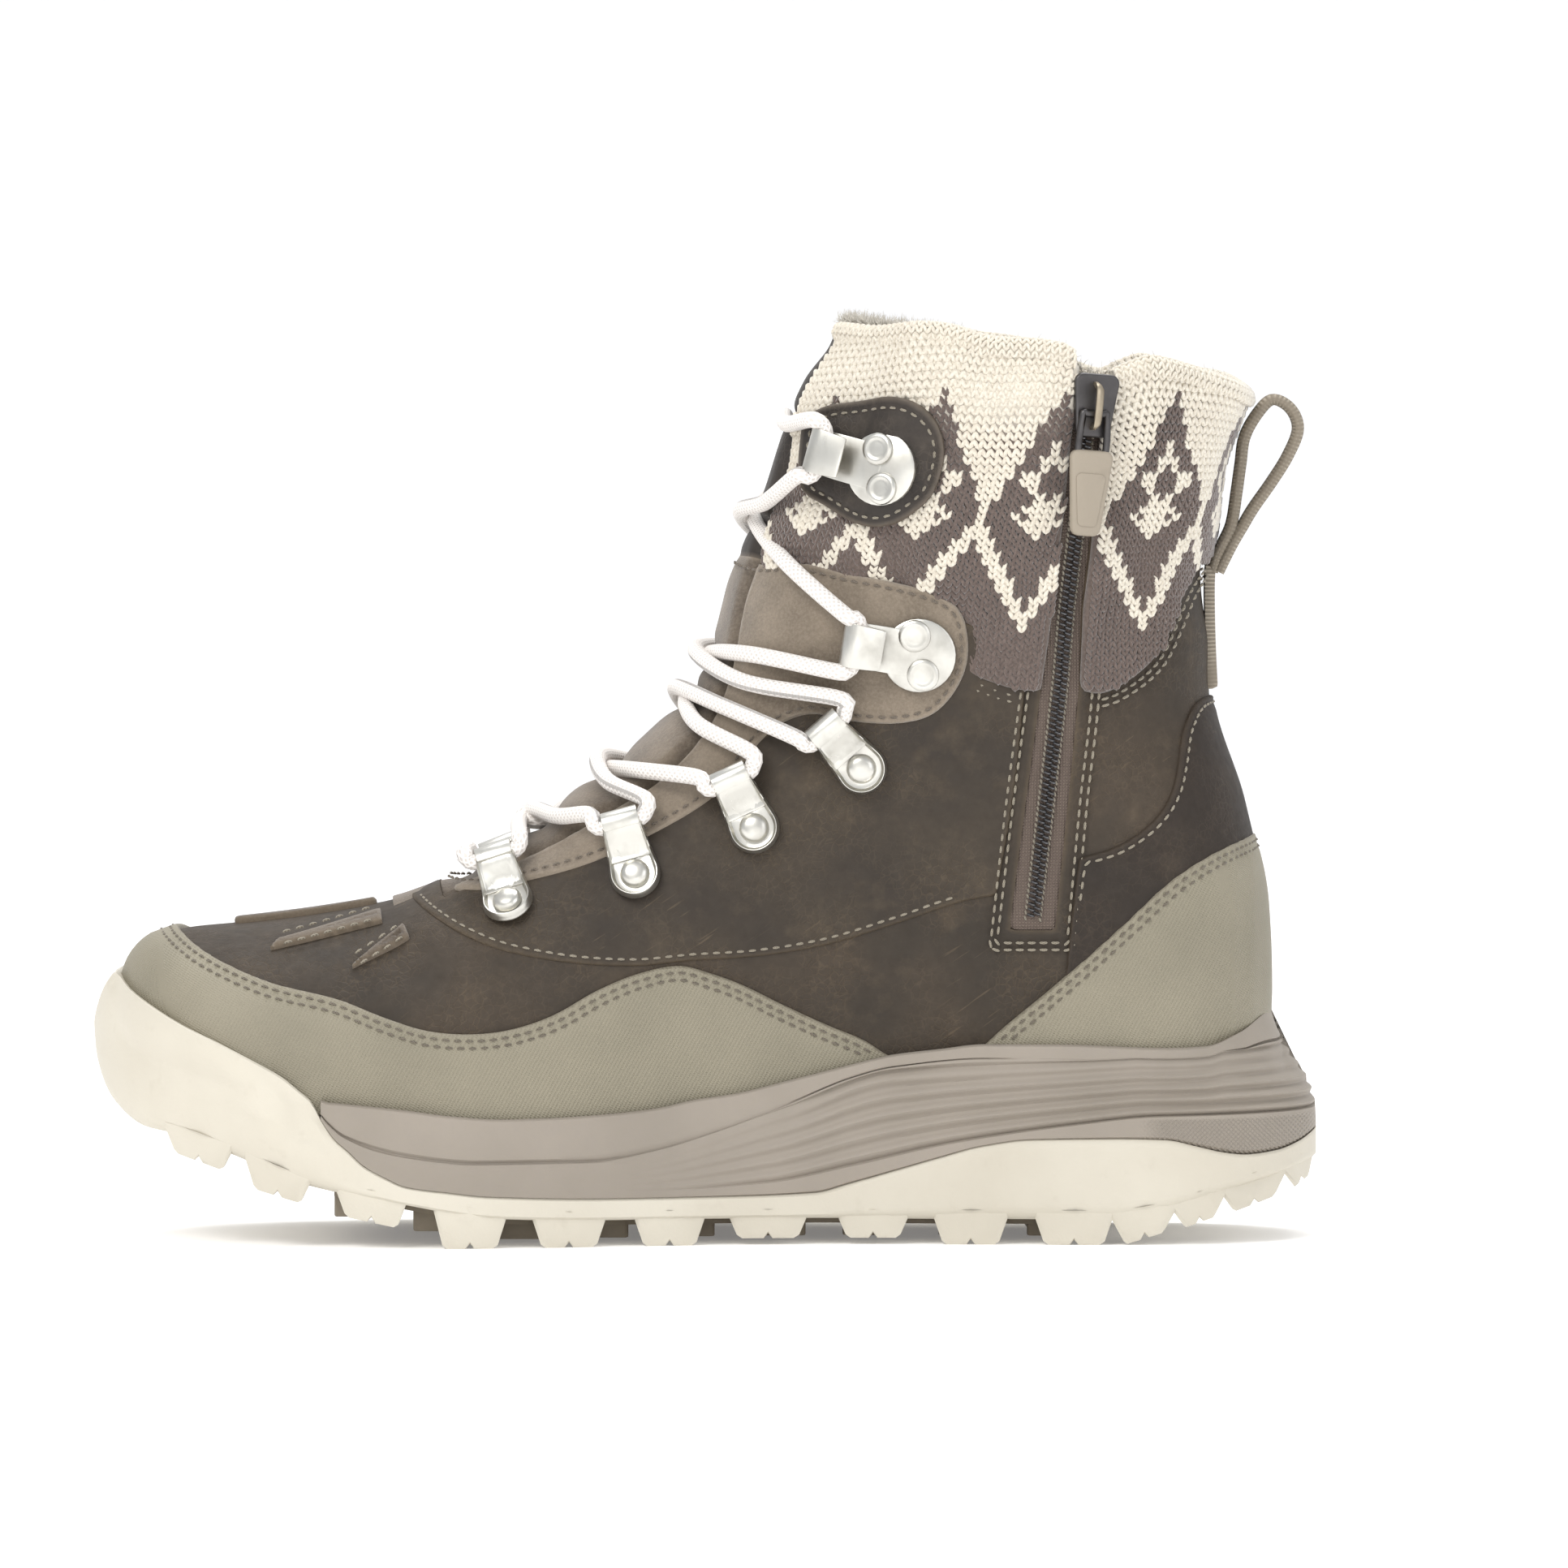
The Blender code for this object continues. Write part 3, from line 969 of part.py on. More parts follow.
def rounded_plate(name, half_width, low, high, half_thickness):
    """A flat tab with round corners, in the local x-y plane."""
    corner = half_width * 0.45
    reach, middle, tall = half_width - corner, (low + high) / 2, (high - low) / 2 - corner
    points = []
    for quarter, (sx, sy) in enumerate(((1, 1), (-1, 1), (-1, -1), (1, -1))):
        for step in range(4):
            angle = math.radians(90 * quarter + 30 * step)
            points.append((sx * reach + corner * math.cos(angle),
                           middle + sy * tall + corner * math.sin(angle)))
    return extrude_profile(name, points, 0, 1, 2, half_thickness)


def disc(name, radius, low, high, x=0.0, y=0.0, sides=8):
    turns = [2 * math.pi * k / sides for k in range(sides)]
    points = [(x + radius * math.cos(turn), y + radius * math.sin(turn)) for turn in turns]
    mesh = extrude_profile(name, points, 0, 1, 2, (high - low) / 2)
    for vertex in mesh.vertices:
        vertex.co.z += (high + low) / 2
    return mesh


def fused(name, meshes):
    """One mesh from several that overlap, by Boolean unions."""
    first = add_object("cut_" + name, meshes[0], cutter=True)
    for number, mesh in enumerate(meshes[1:]):
        combine(first, add_object("cut_%s_%d" % (name, number), mesh, cutter=True), "UNION")
    return baked(first)


# Local axes of a fitting: x towards the lace, y along the lace, z out of the leather
LOOP_PROFILE = ((0.0030, 0.0), (0.0128, 0.0), (0.0148, 0.0018), (0.0148, 0.0043), (0.0126, 0.0061),
                (0.0108, 0.0060), (0.0030, 0.0020))
LOOP_TUNNEL = ((0.0060, 0.0009), (0.0124, 0.0009), (0.0138, 0.0021), (0.0138, 0.0040), (0.0122, 0.0051),
               (0.0109, 0.0050), (0.0060, 0.0022))
HOOK_PROFILE = ((0.0, 0.0), (0.0150, 0.0), (0.0175, 0.0018), (0.0175, 0.0043), (0.0150, 0.0061),
                (0.0080, 0.0058), (0.0080, 0.0049), (0.0147, 0.0052), (0.0166, 0.0039), (0.0166, 0.0022),
                (0.0147, 0.0009), (0.0, 0.0009))
# The hook's plate stands this much past its fold on both faces; places of its rivets
PLATE_PROUD = 0.00001
HOOK_RIVETS = ((-0.0017, 0.0042), (0.0017, -0.0042))
LACE_SEAT = {"eyelet": (0.0115, 0.0030), "hook": (0.0142, 0.0030)}
# How the lace turns beside a fitting: way out from it, way ahead to the tongue
LACE_TURN = ((0.0, 0.0), (0.0022, 0.0008), (0.0036, 0.0038))
# Where a run bears on the tongue beside the ridge: share of its way down, share of its way along
LACE_SHOULDER = (0.22, 0.16)
# Length of a facet of the lace in radii
LACE_STEP = 4.4


def eyelet_mesh(shank):
    loop = extrude_profile("loop", LOOP_PROFILE, 0, 2, 1, EYELET_WIDTH / 2)
    tunnel = extrude_profile("tunnel", LOOP_TUNNEL, 0, 2, 1, EYELET_WIDTH)
    ring = add_object("cut_eyelet_loop", loop, cutter=True)
    combine(ring, add_object("cut_eyelet_tunnel", tunnel, cutter=True), "DIFFERENCE")
    return fused("eyelet", [disc("plate", EYELET_RADIUS, 0.0, METAL), baked(ring),
                            disc("rivet", RIVET_RADIUS, -shank, RIVET_HEIGHT)])


def hook_mesh(shank):
    hook = extrude_profile("hook", HOOK_PROFILE, 0, 2, 1, HOOK_WIDTH / 2)
    plate = disc("plate", HOOK_PLATE, -PLATE_PROUD, METAL + PLATE_PROUD, sides=12)
    rivets = [disc("rivet_%d" % k, RIVET_RADIUS, -shank, RIVET_HEIGHT, x, y, sides=7)
              for k, (x, y) in enumerate(HOOK_RIVETS)]
    return fused("hook", [plate, hook] + rivets)


def fitting_frame(finder, rivet, tip, side, offset, towards):
    """Placement of a fitting: its x axis from rivet to tip, its y axis along the lace."""
    base, normal_low = finder.spot(rivet[0] * LENGTH, rivet[1] * HEIGHT, side)
    end, normal_high = finder.spot(tip[0] * LENGTH, tip[1] * HEIGHT, side)
    reach = (end - base).normalized()
    normal = (normal_low * 0.92 + normal_high * 0.08).normalized()
    reach = (reach - normal * reach.dot(normal)).normalized()
    along = normal.cross(reach).normalized()
    frame = Matrix((reach, along, normal)).transposed().to_4x4()
    frame.translation = base + normal * offset
    flip = 1 if along.dot(towards) > 0 else -1
    return frame, flip


def make_fittings(finder):
    """Eyelets and hooks on both sides; returns where the lace enters and leaves each."""
    lift = OVERLAY + 3 * GAP
    meshes = {"eyelet": eyelet_mesh(OVERLAY), "hook": hook_mesh(0.0)}
    seats = {-1: [], 1: []}
    for side, side_name in ((-1, "medial"), (1, "lateral")):
        for number, (x, z, tip_x, tip_z) in enumerate(EYELETS, start=1):
            frame, flip = fitting_frame(finder, (x, z), (tip_x, tip_z), side, lift, Vector((1, 0, 0)))
            item = add_object("eyelet_%s_%d" % (side_name, number), meshes["eyelet"], "satin_metal")
            item.matrix_world = frame
            seats[side].append(("eyelet", frame, flip, EYELET_WIDTH / 2))
        for name, x, z, tip_x, tip_z, on_cuff in HOOKS:
            raise_by = lift + on_cuff * (CUFF_THICKNESS + GAP)
            frame, flip = fitting_frame(finder, (x, z), (tip_x, tip_z), side, raise_by, Vector((0, 0, 1)))
            item = add_object("hook_%s_%s" % (side_name, name), meshes["hook"], "satin_metal")
            item.matrix_world = frame
            seats[side].append(("hook", frame, flip, HOOK_WIDTH / 2))
    return seats


def seat_point(seat, leaving, clearance, forward=0.0, rise=0.0):
    """A point beside a fitting's tunnel, where the lace enters or leaves it."""
    kind, frame, flip, half = seat
    a, c = LACE_SEAT[kind]
    along = (half + clearance) * (1 if leaving else -1) * flip
    return frame @ Vector((a + forward, along, c + rise))


def smooth_path(points, spacing):
    """Points at about equal spacing on a smooth curve through the given ones."""
    dense = []
    padded = [points[0] * 2 - points[1]] + list(points) + [points[-1] * 2 - points[-2]]
    for p0, p1, p2, p3 in zip(padded, padded[1:], padded[2:], padded[3:]):
        for step in range(12):
            t = step / 12
            dense.append(0.5 * (2 * p1 + (p2 - p0) * t + (2 * p0 - 5 * p1 + 4 * p2 - p3) * t * t
                                + (3 * p1 - p0 - 3 * p2 + p3) * t ** 3))
    dense.append(points[-1])
    lengths = np.cumsum([0] + [(b - a).length for a, b in zip(dense, dense[1:])])
    count = max(int(lengths[-1] / spacing), 2)
    path = []
    for target in np.linspace(0, lengths[-1], count + 1):
        k = min(int(np.searchsorted(lengths, target, side="right")) - 1, len(dense) - 2)
        share = (target - lengths[k]) / max(lengths[k + 1] - lengths[k], 1e-12)
        path.append(dense[k].lerp(dense[k + 1], share))
    return path


def tube_mesh(name, points, radius, sides=5):
    path = smooth_path(points, radius * LACE_STEP)
    vertices, faces = [], []
    up = Vector((0, 0, 1))
    for k, point in enumerate(path):
        ahead = path[min(k + 1, len(path) - 1)] - path[max(k - 1, 0)]
        ahead.normalize()
        side = ahead.cross(up)
        if side.length < 0.05:
            side = ahead.cross(Vector((1, 0, 0)))
        side.normalize()
        up = side.cross(ahead).normalized()
        for step in range(sides):
            angle = 2 * math.pi * step / sides
            vertices.append(point + (side * math.cos(angle) + up * math.sin(angle)) * radius)
    for k in range(len(path) - 1):
        for step in range(sides):
            a, b = k * sides + step, k * sides + (step + 1) % sides
            faces.append([a, b, b + sides, a + sides])
    faces.append(list(range(sides))[::-1])
    faces.append([len(vertices) - sides + k for k in range(sides)])
    return mesh_from(name, vertices, faces)


def lace_route(finder, starts, ends, start_v, end_v, start_share, end_share, lift, sides):
    """Points of one lace run over the tongue, from a seat on one side to one on the other."""
    middle_v = (start_v + end_v) / 2
    points = list(starts)
    near_v = middle_v + (start_v - middle_v) * LACE_SHOULDER[1]
    far_v = middle_v + (end_v - middle_v) * LACE_SHOULDER[1]
    point, normal = finder.frame(near_v, start_share * LACE_SHOULDER[0], sides[0])
    points.append(point + normal * lift)
    top = surface(middle_v, 0.0, 1)
    points.append(Vector(top) + Vector(ridge_normal(middle_v)) * (lift + LACE_PLAY))
    point, normal = finder.frame(far_v, end_share * LACE_SHOULDER[0], sides[1])
    points.append(point + normal * lift)
    return points + list(reversed(ends))


def ridge_normal(v):
    """Direction out of the upper at its ridge, in the middle plane."""
    ahead = surface(v + 0.05, 0.0, 1) - surface(v - 0.05, 0.0, 1)
    normal = np.array([-ahead[2], 0.0, ahead[0]])
    return normal / np.linalg.norm(normal) * (1 if normal[2] > 0 or normal[0] < 0 else -1)


def make_lace(finder, seats):
    """Bars and crossings between the fittings; each crossing is one joined solid."""
    radius = LACE_DIAMETER / 2
    low_lift = OVERLAY + 3 * GAP + radius
    high_lift = CUFF_THICKNESS + 4 * GAP + radius
    places = []
    for seat in seats[-1]:
        point = seat_point(seat, True, 0.0)
        places.append(finder.param(point.x, point.z, -1))
    pairs = [("lace_bar_low", 0, False, 0, False)]
    pairs += [("lace_cross_%d" % (k + 1), k, True, k + 1, False) for k in range(len(places) - 1)]
    pairs += [("lace_bar_top", len(places) - 1, True, len(places) - 1, True)]
    for name, first, first_leaves, second, second_leaves in pairs:
        runs = []
        lift = high_lift if second >= len(EYELETS) else low_lift
        for near, far in ((-1, 1), (1, -1)):
            start = [seat_point(seats[near][first], first_leaves, LACE_PLAY + out, ahead, out * 0.2)
                     for out, ahead in LACE_TURN]
            end = [seat_point(seats[far][second], second_leaves, LACE_PLAY + out, ahead, out * 0.2)
                   for out, ahead in LACE_TURN]
            bias = -0.25 if name.endswith("low") else (0.45 if name.endswith("top") else 0.0)
            runs.append(lace_route(finder, start, end, places[first][0] + bias, places[second][0] + bias,
                                   places[first][1], places[second][1], lift, (near, far)))
        item = add_object(name, tube_mesh(name, runs[0], radius), "lace")
        if "cross" in name:
            helper = add_object("cut_" + name, tube_mesh("cut_" + name, runs[1], radius), cutter=True)
            combine(item, helper, "UNION")


def make_heel_loop():
    """Webbing loop behind the collar: a band round its middle line."""
    stand_off = 4 * GAP + CUFF_THICKNESS + WEBBING / 2
    places = [(0.0, z) for z in LOOP_HEIGHTS] + list(LOOP_FREE)
    highest = LOOP_HEIGHTS[-1]
    line = []
    for x, z in places:
        back = float(curve_value(BACK_LINE, min(z, highest))) * LENGTH + stand_off
        line.append(Vector((back + x * LENGTH, 0, z * HEIGHT)))
    path = smooth_path(line, 0.0045)
    outer, inner = [], []
    for k, point in enumerate(path):
        ahead = (path[min(k + 1, len(path) - 1)] - path[max(k - 1, 0)]).normalized()
        side = Vector((-ahead.z, 0, ahead.x))
        outer.append(point + side * WEBBING / 2)
        inner.append(point - side * WEBBING / 2)
    loop = outer + inner[::-1]
    mesh = prism("heel_loop", [(p.x, p.z) for p in loop], -WEBBING_WIDTH / 2, WEBBING_WIDTH / 2)
    add_object("heel_loop", mesh, "webbing")


def build():
    clear_scene()
    finder = Finder()
    skin = Skin("collar")
    form_mesh = skin.form("cut_last", OVERLAY + 3 * GAP, 2 * GAP, skin.row("shaft"))
    last_form = add_object("cut_last", form_mesh, cutter=True)
    make_outsole(finder, last_form)
    make_insert()
    make_midsole(finder, last_form)
    make_insole(skin)
    zip_slot = cutter("zip_slot", zip_band(0.0), -BALL_WIDTH, -SIDE_MARGIN)
    upper = add_object("upper", skin.shell("upper", 0.0, -WALL, skin.cells(0, skin.rows - 1)), "leather")
    combine(upper, zip_slot, "DIFFERENCE")
    make_tongue()
    make_rands(skin)
    make_cuff(skin)
    make_trims(skin)
    make_zip(skin, finder)
    seats = make_fittings(finder)
    make_lace(finder, seats)
    make_heel_loop()


build()
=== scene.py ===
"""Looks of a right snow boot: nubuck, suede and knit over a lugged rubber sole, laced and zipped.

Lengths along the boot are shares of LENGTH, heights are shares of HEIGHT and widths are
shares of BALL_WIDTH. All that lies on the upper is placed by the upper's own surface.
"""
import json
import math
import random

import bmesh
import bpy
import numpy as np
from mathutils import Matrix, Vector
from mathutils.kdtree import KDTree


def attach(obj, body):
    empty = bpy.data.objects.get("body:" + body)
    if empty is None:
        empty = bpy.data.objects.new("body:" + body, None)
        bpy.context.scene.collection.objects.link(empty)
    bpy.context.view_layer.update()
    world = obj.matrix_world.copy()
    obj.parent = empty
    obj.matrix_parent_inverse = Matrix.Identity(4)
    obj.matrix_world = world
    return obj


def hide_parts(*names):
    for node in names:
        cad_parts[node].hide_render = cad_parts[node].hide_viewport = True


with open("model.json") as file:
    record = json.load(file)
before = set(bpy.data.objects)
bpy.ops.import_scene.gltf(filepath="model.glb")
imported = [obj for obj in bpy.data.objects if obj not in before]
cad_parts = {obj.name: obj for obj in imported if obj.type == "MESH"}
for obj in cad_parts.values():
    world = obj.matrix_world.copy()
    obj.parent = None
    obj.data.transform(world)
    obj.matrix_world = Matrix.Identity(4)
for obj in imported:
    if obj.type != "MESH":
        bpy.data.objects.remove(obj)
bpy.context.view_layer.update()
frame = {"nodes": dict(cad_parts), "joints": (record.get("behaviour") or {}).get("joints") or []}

# Driving sizes in metres
LENGTH = 0.280
HEIGHT = 0.212
BALL_WIDTH = 0.096
WALL = 0.0024
OVERLAY = 0.0013
CUFF_THICKNESS = 0.0023
GAP = 0.0003
SOLE_LIP = 0.0030
LUG_WIDTH = 0.017
LACE_DIAMETER = 0.0039
WEBBING = 0.0021
WEBBING_WIDTH = 0.0100
SKIN_STEP = 0.0017
RNG = random.Random(7)

# The upper's sections, as in the part's source
SECTION_COLUMNS = ("front_x", "front_z", "end_x", "end_z", "round", "mid_in", "mid_out",
                   "end_in", "end_out", "ridge", "throat", "loop")
SECTIONS = (
    ("toe_edge", -0.468, 0.203, -0.371, 0.164, 0.646, 0.490, 0.448, 0.490, 0.448, -0.073, 0.031, 0.0),
    ("toe_front", -0.475, 0.245, -0.357, 0.158, 0.573, 0.490, 0.448, 0.479, 0.438, -0.073, 0.033, 0.0),
    ("toe_crown", -0.469, 0.288, -0.346, 0.154, 0.479, 0.490, 0.448, 0.479, 0.438, -0.073, 0.036, 0.0),
    ("toe_corner", -0.454, 0.316, -0.336, 0.151, 0.417, 0.490, 0.448, 0.479, 0.438, -0.068, 0.040, 0.0),
    ("toe_box", -0.425, 0.332, -0.321, 0.146, 0.375, 0.490, 0.458, 0.469, 0.438, -0.062, 0.042, 0.0),
    ("cap", -0.375, 0.339, -0.293, 0.138, 0.354, 0.500, 0.474, 0.474, 0.458, -0.057, 0.042, 0.0),
    ("vamp", -0.314, 0.349, -0.257, 0.130, 0.354, 0.505, 0.490, 0.479, 0.479, -0.052, 0.042, 0.0),
    ("ball", -0.254, 0.363, -0.207, 0.121, 0.365, 0.500, 0.505, 0.479, 0.495, -0.047, 0.036, 0.0),
    ("throat", -0.207, 0.387, -0.150, 0.117, 0.385, 0.484, 0.500, 0.458, 0.495, -0.042, 0.026, 0.0),
    ("instep_low", -0.154, 0.425, -0.086, 0.118, 0.417, 0.453, 0.479, 0.411, 0.479, -0.036, 0.047, 0.0),
    ("instep", -0.100, 0.481, -0.007, 0.134, 0.448, 0.417, 0.448, 0.359, 0.448, -0.031, 0.083, 0.0),
    ("instep_high", -0.043, 0.540, 0.086, 0.164, 0.458, 0.391, 0.417, 0.333, 0.401, -0.021, 0.099, 0.0),
    ("bend", -0.004, 0.599, 0.207, 0.191, 0.438, 0.375, 0.391, 0.333, 0.365, -0.010, 0.089, 0.0),
    ("ankle", 0.011, 0.651, 0.350, 0.192, 0.417, 0.370, 0.380, 0.344, 0.354, -0.005, 0.073, 0.3),
    ("heel_seat", 0.016, 0.677, 0.414, 0.193, 0.417, 0.370, 0.380, 0.349, 0.354, 0.0, 0.062, 0.7),
    ("heel_tip", 0.021, 0.703, 0.452, 0.193, 0.427, 0.370, 0.380, 0.354, 0.354, 0.0, 0.057, 1.0),
    ("heel_low", 0.030, 0.733, 0.457, 0.264, 0.438, 0.375, 0.385, 0.375, 0.375, 0.0, 0.052, 1.0),
    ("heel_mid", 0.041, 0.769, 0.454, 0.358, 0.448, 0.385, 0.396, 0.396, 0.396, 0.0, 0.047, 1.0),
    ("heel_top", 0.052, 0.807, 0.438, 0.467, 0.458, 0.396, 0.406, 0.396, 0.396, 0.0, 0.042, 1.0),
    ("tendon", 0.062, 0.849, 0.412, 0.585, 0.469, 0.411, 0.417, 0.396, 0.396, 0.0, 0.036, 1.0),
    ("shaft", 0.071, 0.884, 0.409, 0.698, 0.479, 0.422, 0.427, 0.417, 0.417, 0.0, 0.031, 1.0),
    ("shaft_top", 0.084, 0.922, 0.418, 0.802, 0.479, 0.432, 0.438, 0.432, 0.438, 0.0, 0.031, 1.0),
    ("collar", 0.104, 0.958, 0.429, 0.901, 0.479, 0.438, 0.443, 0.438, 0.443, 0.0, 0.031, 1.0),
    ("tongue_top", 0.112, 0.985, 0.432, 0.930, 0.479, 0.438, 0.443, 0.438, 0.443, 0.0, 0.031, 1.0),
)
ROW = {row[0]: float(index) for index, row in enumerate(SECTIONS)}
BACK_LINE = tuple((row[4], row[3]) for row in SECTIONS[int(ROW["heel_tip"]):])
BACK_ROUND = ((0.19, 0.344), (0.38, 0.354), (0.47, 0.375), (0.585, 0.438), (0.71, 0.479), (0.95, 0.500))
ROUNDNESS = 2.15
# How far the knitted collar stands above its plain line, in metres along the boot
COLLAR_RISE = (
    (0.090, 0.0010), (0.125, 0.0030), (0.160, 0.0046), (0.201, 0.0066), (0.230, 0.0056), (0.268, 0.0062),
    (0.290, 0.0056), (0.305, 0.0026), (0.325, 0.0012), (0.338, 0.0034), (0.360, 0.0068), (0.387, 0.0058),
    (0.414, 0.0046), (0.432, 0.0020), (0.450, 0.0010),
)

# The sole in plan and in side view
SOLE_PLAN = (
    (-0.500, 0.455, 0.400), (-0.430, 0.470, 0.420), (-0.320, 0.512, 0.485), (-0.221, 0.541, 0.530),
    (-0.143, 0.512, 0.541), (-0.054, 0.445, 0.520), (0.036, 0.398, 0.474), (0.125, 0.378, 0.427),
    (0.214, 0.385, 0.408), (0.321, 0.404, 0.408), (0.411, 0.410, 0.410), (0.500, 0.410, 0.410),
)
TOE_ROUND = 0.215
HEEL_ROUND = 0.130
SOLE_POWER = 2.1
BASE_LINE = (
    (-0.500, 0.229), (-0.497, 0.194), (-0.481, 0.150), (-0.454, 0.124), (-0.430, 0.118), (-0.382, 0.098),
    (-0.321, 0.067), (-0.243, 0.047), (-0.165, 0.031), (-0.084, 0.028), (0.085, 0.028), (0.191, 0.027),
    (0.325, 0.027), (0.376, 0.037), (0.417, 0.055), (0.467, 0.074), (0.500, 0.088),
)
RUBBER_TOP = (
    (-0.500, 0.231), (-0.494, 0.256), (-0.487, 0.275), (-0.480, 0.285), (-0.467, 0.270), (-0.443, 0.250),
    (-0.419, 0.233), (-0.392, 0.217), (-0.365, 0.199), (-0.341, 0.181), (-0.326, 0.165), (-0.317, 0.155),
    (-0.307, 0.132), (-0.297, 0.114), (-0.287, 0.103), (-0.274, 0.087), (-0.256, 0.074), (-0.240, 0.065),
    (-0.206, 0.059), (-0.172, 0.054), (-0.070, 0.050), (0.021, 0.051), (0.089, 0.054), (0.118, 0.064),
    (0.155, 0.078), (0.191, 0.092), (0.224, 0.104), (0.264, 0.111), (0.337, 0.112), (0.373, 0.111),
    (0.398, 0.104), (0.420, 0.097), (0.439, 0.094), (0.464, 0.097), (0.482, 0.104), (0.500, 0.116),
)
FOAM_TOP = (
    (-0.317, 0.155), (-0.290, 0.152), (-0.240, 0.145), (-0.206, 0.139), (-0.161, 0.135), (-0.121, 0.136),
    (-0.070, 0.140), (-0.037, 0.145), (-0.009, 0.153), (0.027, 0.160), (0.064, 0.172), (0.100, 0.184),
    (0.136, 0.196), (0.153, 0.201), (0.191, 0.207), (0.226, 0.212), (0.282, 0.212), (0.380, 0.208),
    (0.406, 0.209), (0.435, 0.223), (0.462, 0.242), (0.471, 0.215), (0.485, 0.187), (0.493, 0.170),
    (0.500, 0.145),
)
GROOVE_LINE = (
    (-0.317, 0.152), (-0.289, 0.118), (-0.240, 0.098), (-0.189, 0.090), (-0.138, 0.088), (-0.087, 0.091),
    (-0.037, 0.103), (0.009, 0.121), (0.064, 0.148), (0.118, 0.178), (0.153, 0.190), (0.226, 0.199),
    (0.406, 0.197), (0.462, 0.212), (0.485, 0.180), (0.500, 0.140),
)
MOULD_LINE = ((-0.500, 0.300), (-0.485, 0.277), (-0.434, 0.176), (-0.360, 0.130), (-0.298, 0.106), (-0.280, 0.100))
PLATFORM = (
    (-0.500, 0.215), (-0.468, 0.203), (-0.429, 0.186), (-0.371, 0.164), (-0.321, 0.146), (-0.268, 0.132),
    (-0.214, 0.122), (-0.161, 0.117), (-0.107, 0.117), (-0.054, 0.123), (0.000, 0.136), (0.054, 0.153),
    (0.107, 0.170), (0.161, 0.184), (0.214, 0.191), (0.321, 0.192), (0.500, 0.193),
)
FOAM_START = -0.313
# Where the foot's hollow ends at the heel, and where the sole's back begins to lean in
INNER_END, LEAN_START, LEAN_TOP = 0.4585, 0.380, 0.462
# Back end of the foam at each height, and the lower edge of its ribs along the boot
FOAM_END = (
    (0.100, 0.500), (0.145, 0.499), (0.170, 0.493), (0.187, 0.485), (0.215, 0.471), (0.242, 0.463),
    (0.300, 0.455),
)
RIB_FOOT = (
    (-0.317, 0.060), (-0.060, 0.058), (0.050, 0.066), (0.120, 0.084), (0.200, 0.108), (0.300, 0.128),
    (0.366, 0.137), (0.500, 0.140),
)
RIB_TOP = ((-0.317, 0.088), (-0.080, 0.090), (0.064, 0.146), (0.153, 0.186), (0.300, 0.196), (0.500, 0.210))
# Side lugs: start and end along the boot, height of the lower face at start and end
SIDE_LUGS = (
    (-0.433, -0.385, 0.098, 0.080), (-0.367, -0.321, 0.062, 0.047), (-0.293, -0.243, 0.034, 0.022),
    (-0.214, -0.163, 0.000, 0.000), (-0.135, -0.083, 0.000, 0.000), (-0.053, -0.003, 0.000, 0.000),
    (0.023, 0.080, 0.007, 0.007), (0.111, 0.162, 0.007, 0.007), (0.189, 0.242, 0.000, 0.000),
    (0.271, 0.327, 0.000, 0.000), (0.336, 0.376, 0.000, 0.014), (0.384, 0.417, 0.018, 0.030),
    (0.424, 0.467, 0.034, 0.050), (0.475, 0.496, 0.056, 0.068),
)
# The lugs' last place along the boot, just inside the heel's end
LUG_END = 0.4975
CENTRE_LUGS = (
    (-0.300, -0.262), (-0.236, -0.198), (-0.172, -0.130), (-0.104, -0.062), (-0.034, 0.008),
    (0.040, 0.082), (0.112, 0.156), (0.190, 0.232), (0.262, 0.304),
)

# Side-view outlines of the panels
TOE_RAND = (
    (-0.540, 0.420), (-0.448, 0.350), (-0.436, 0.338), (-0.409, 0.313), (-0.382, 0.295), (-0.348, 0.278),
    (-0.293, 0.262), (-0.256, 0.244), (-0.222, 0.231), (-0.182, 0.228), (-0.151, 0.234), (-0.121, 0.248),
    (-0.087, 0.273), (-0.053, 0.291), (-0.019, 0.299), (0.004, 0.291), (0.027, 0.280), (0.064, 0.256),
    (0.100, 0.234), (0.129, 0.218), (0.153, 0.199), (0.188, 0.194), (0.188, 0.060), (-0.300, 0.060),
    (-0.540, 0.080),
)
HEEL_RAND = (
    (0.150, 0.060), (0.150, 0.185), (0.191, 0.199), (0.216, 0.203), (0.226, 0.212), (0.240, 0.229),
    (0.280, 0.273), (0.339, 0.343), (0.379, 0.392), (0.412, 0.418), (0.449, 0.435), (0.540, 0.462),
    (0.540, 0.060),
)
COUNTER = (
    (0.540, 0.583), (0.418, 0.583), (0.402, 0.579), (0.390, 0.554), (0.384, 0.514), (0.377, 0.482),
    (0.364, 0.455), (0.337, 0.428), (0.303, 0.413), (0.296, 0.340), (0.290, 0.250), (0.540, 0.250),
)
KNIT_EDGE = (
    (0.216, 0.610), (0.252, 0.594), (0.303, 0.593), (0.319, 0.589), (0.343, 0.603), (0.364, 0.627),
    (0.377, 0.663), (0.390, 0.703), (0.404, 0.725), (0.416, 0.732), (0.560, 0.732),
)
CUFF = ((-0.050, 0.745), (0.150, 0.650)) + KNIT_EDGE + ((0.560, 1.050), (-0.050, 1.050))
STRAP_OUTLINE = (
    (0.000, 0.745), (0.020, 0.735), (0.045, 0.725), (0.082, 0.727), (0.116, 0.717), (0.150, 0.709),
    (0.184, 0.697), (0.205, 0.681), (0.212, 0.657), (0.212, 0.621), (0.201, 0.589), (0.184, 0.567),
    (0.160, 0.558), (0.116, 0.560), (0.087, 0.567), (0.063, 0.556), (0.047, 0.538),
)
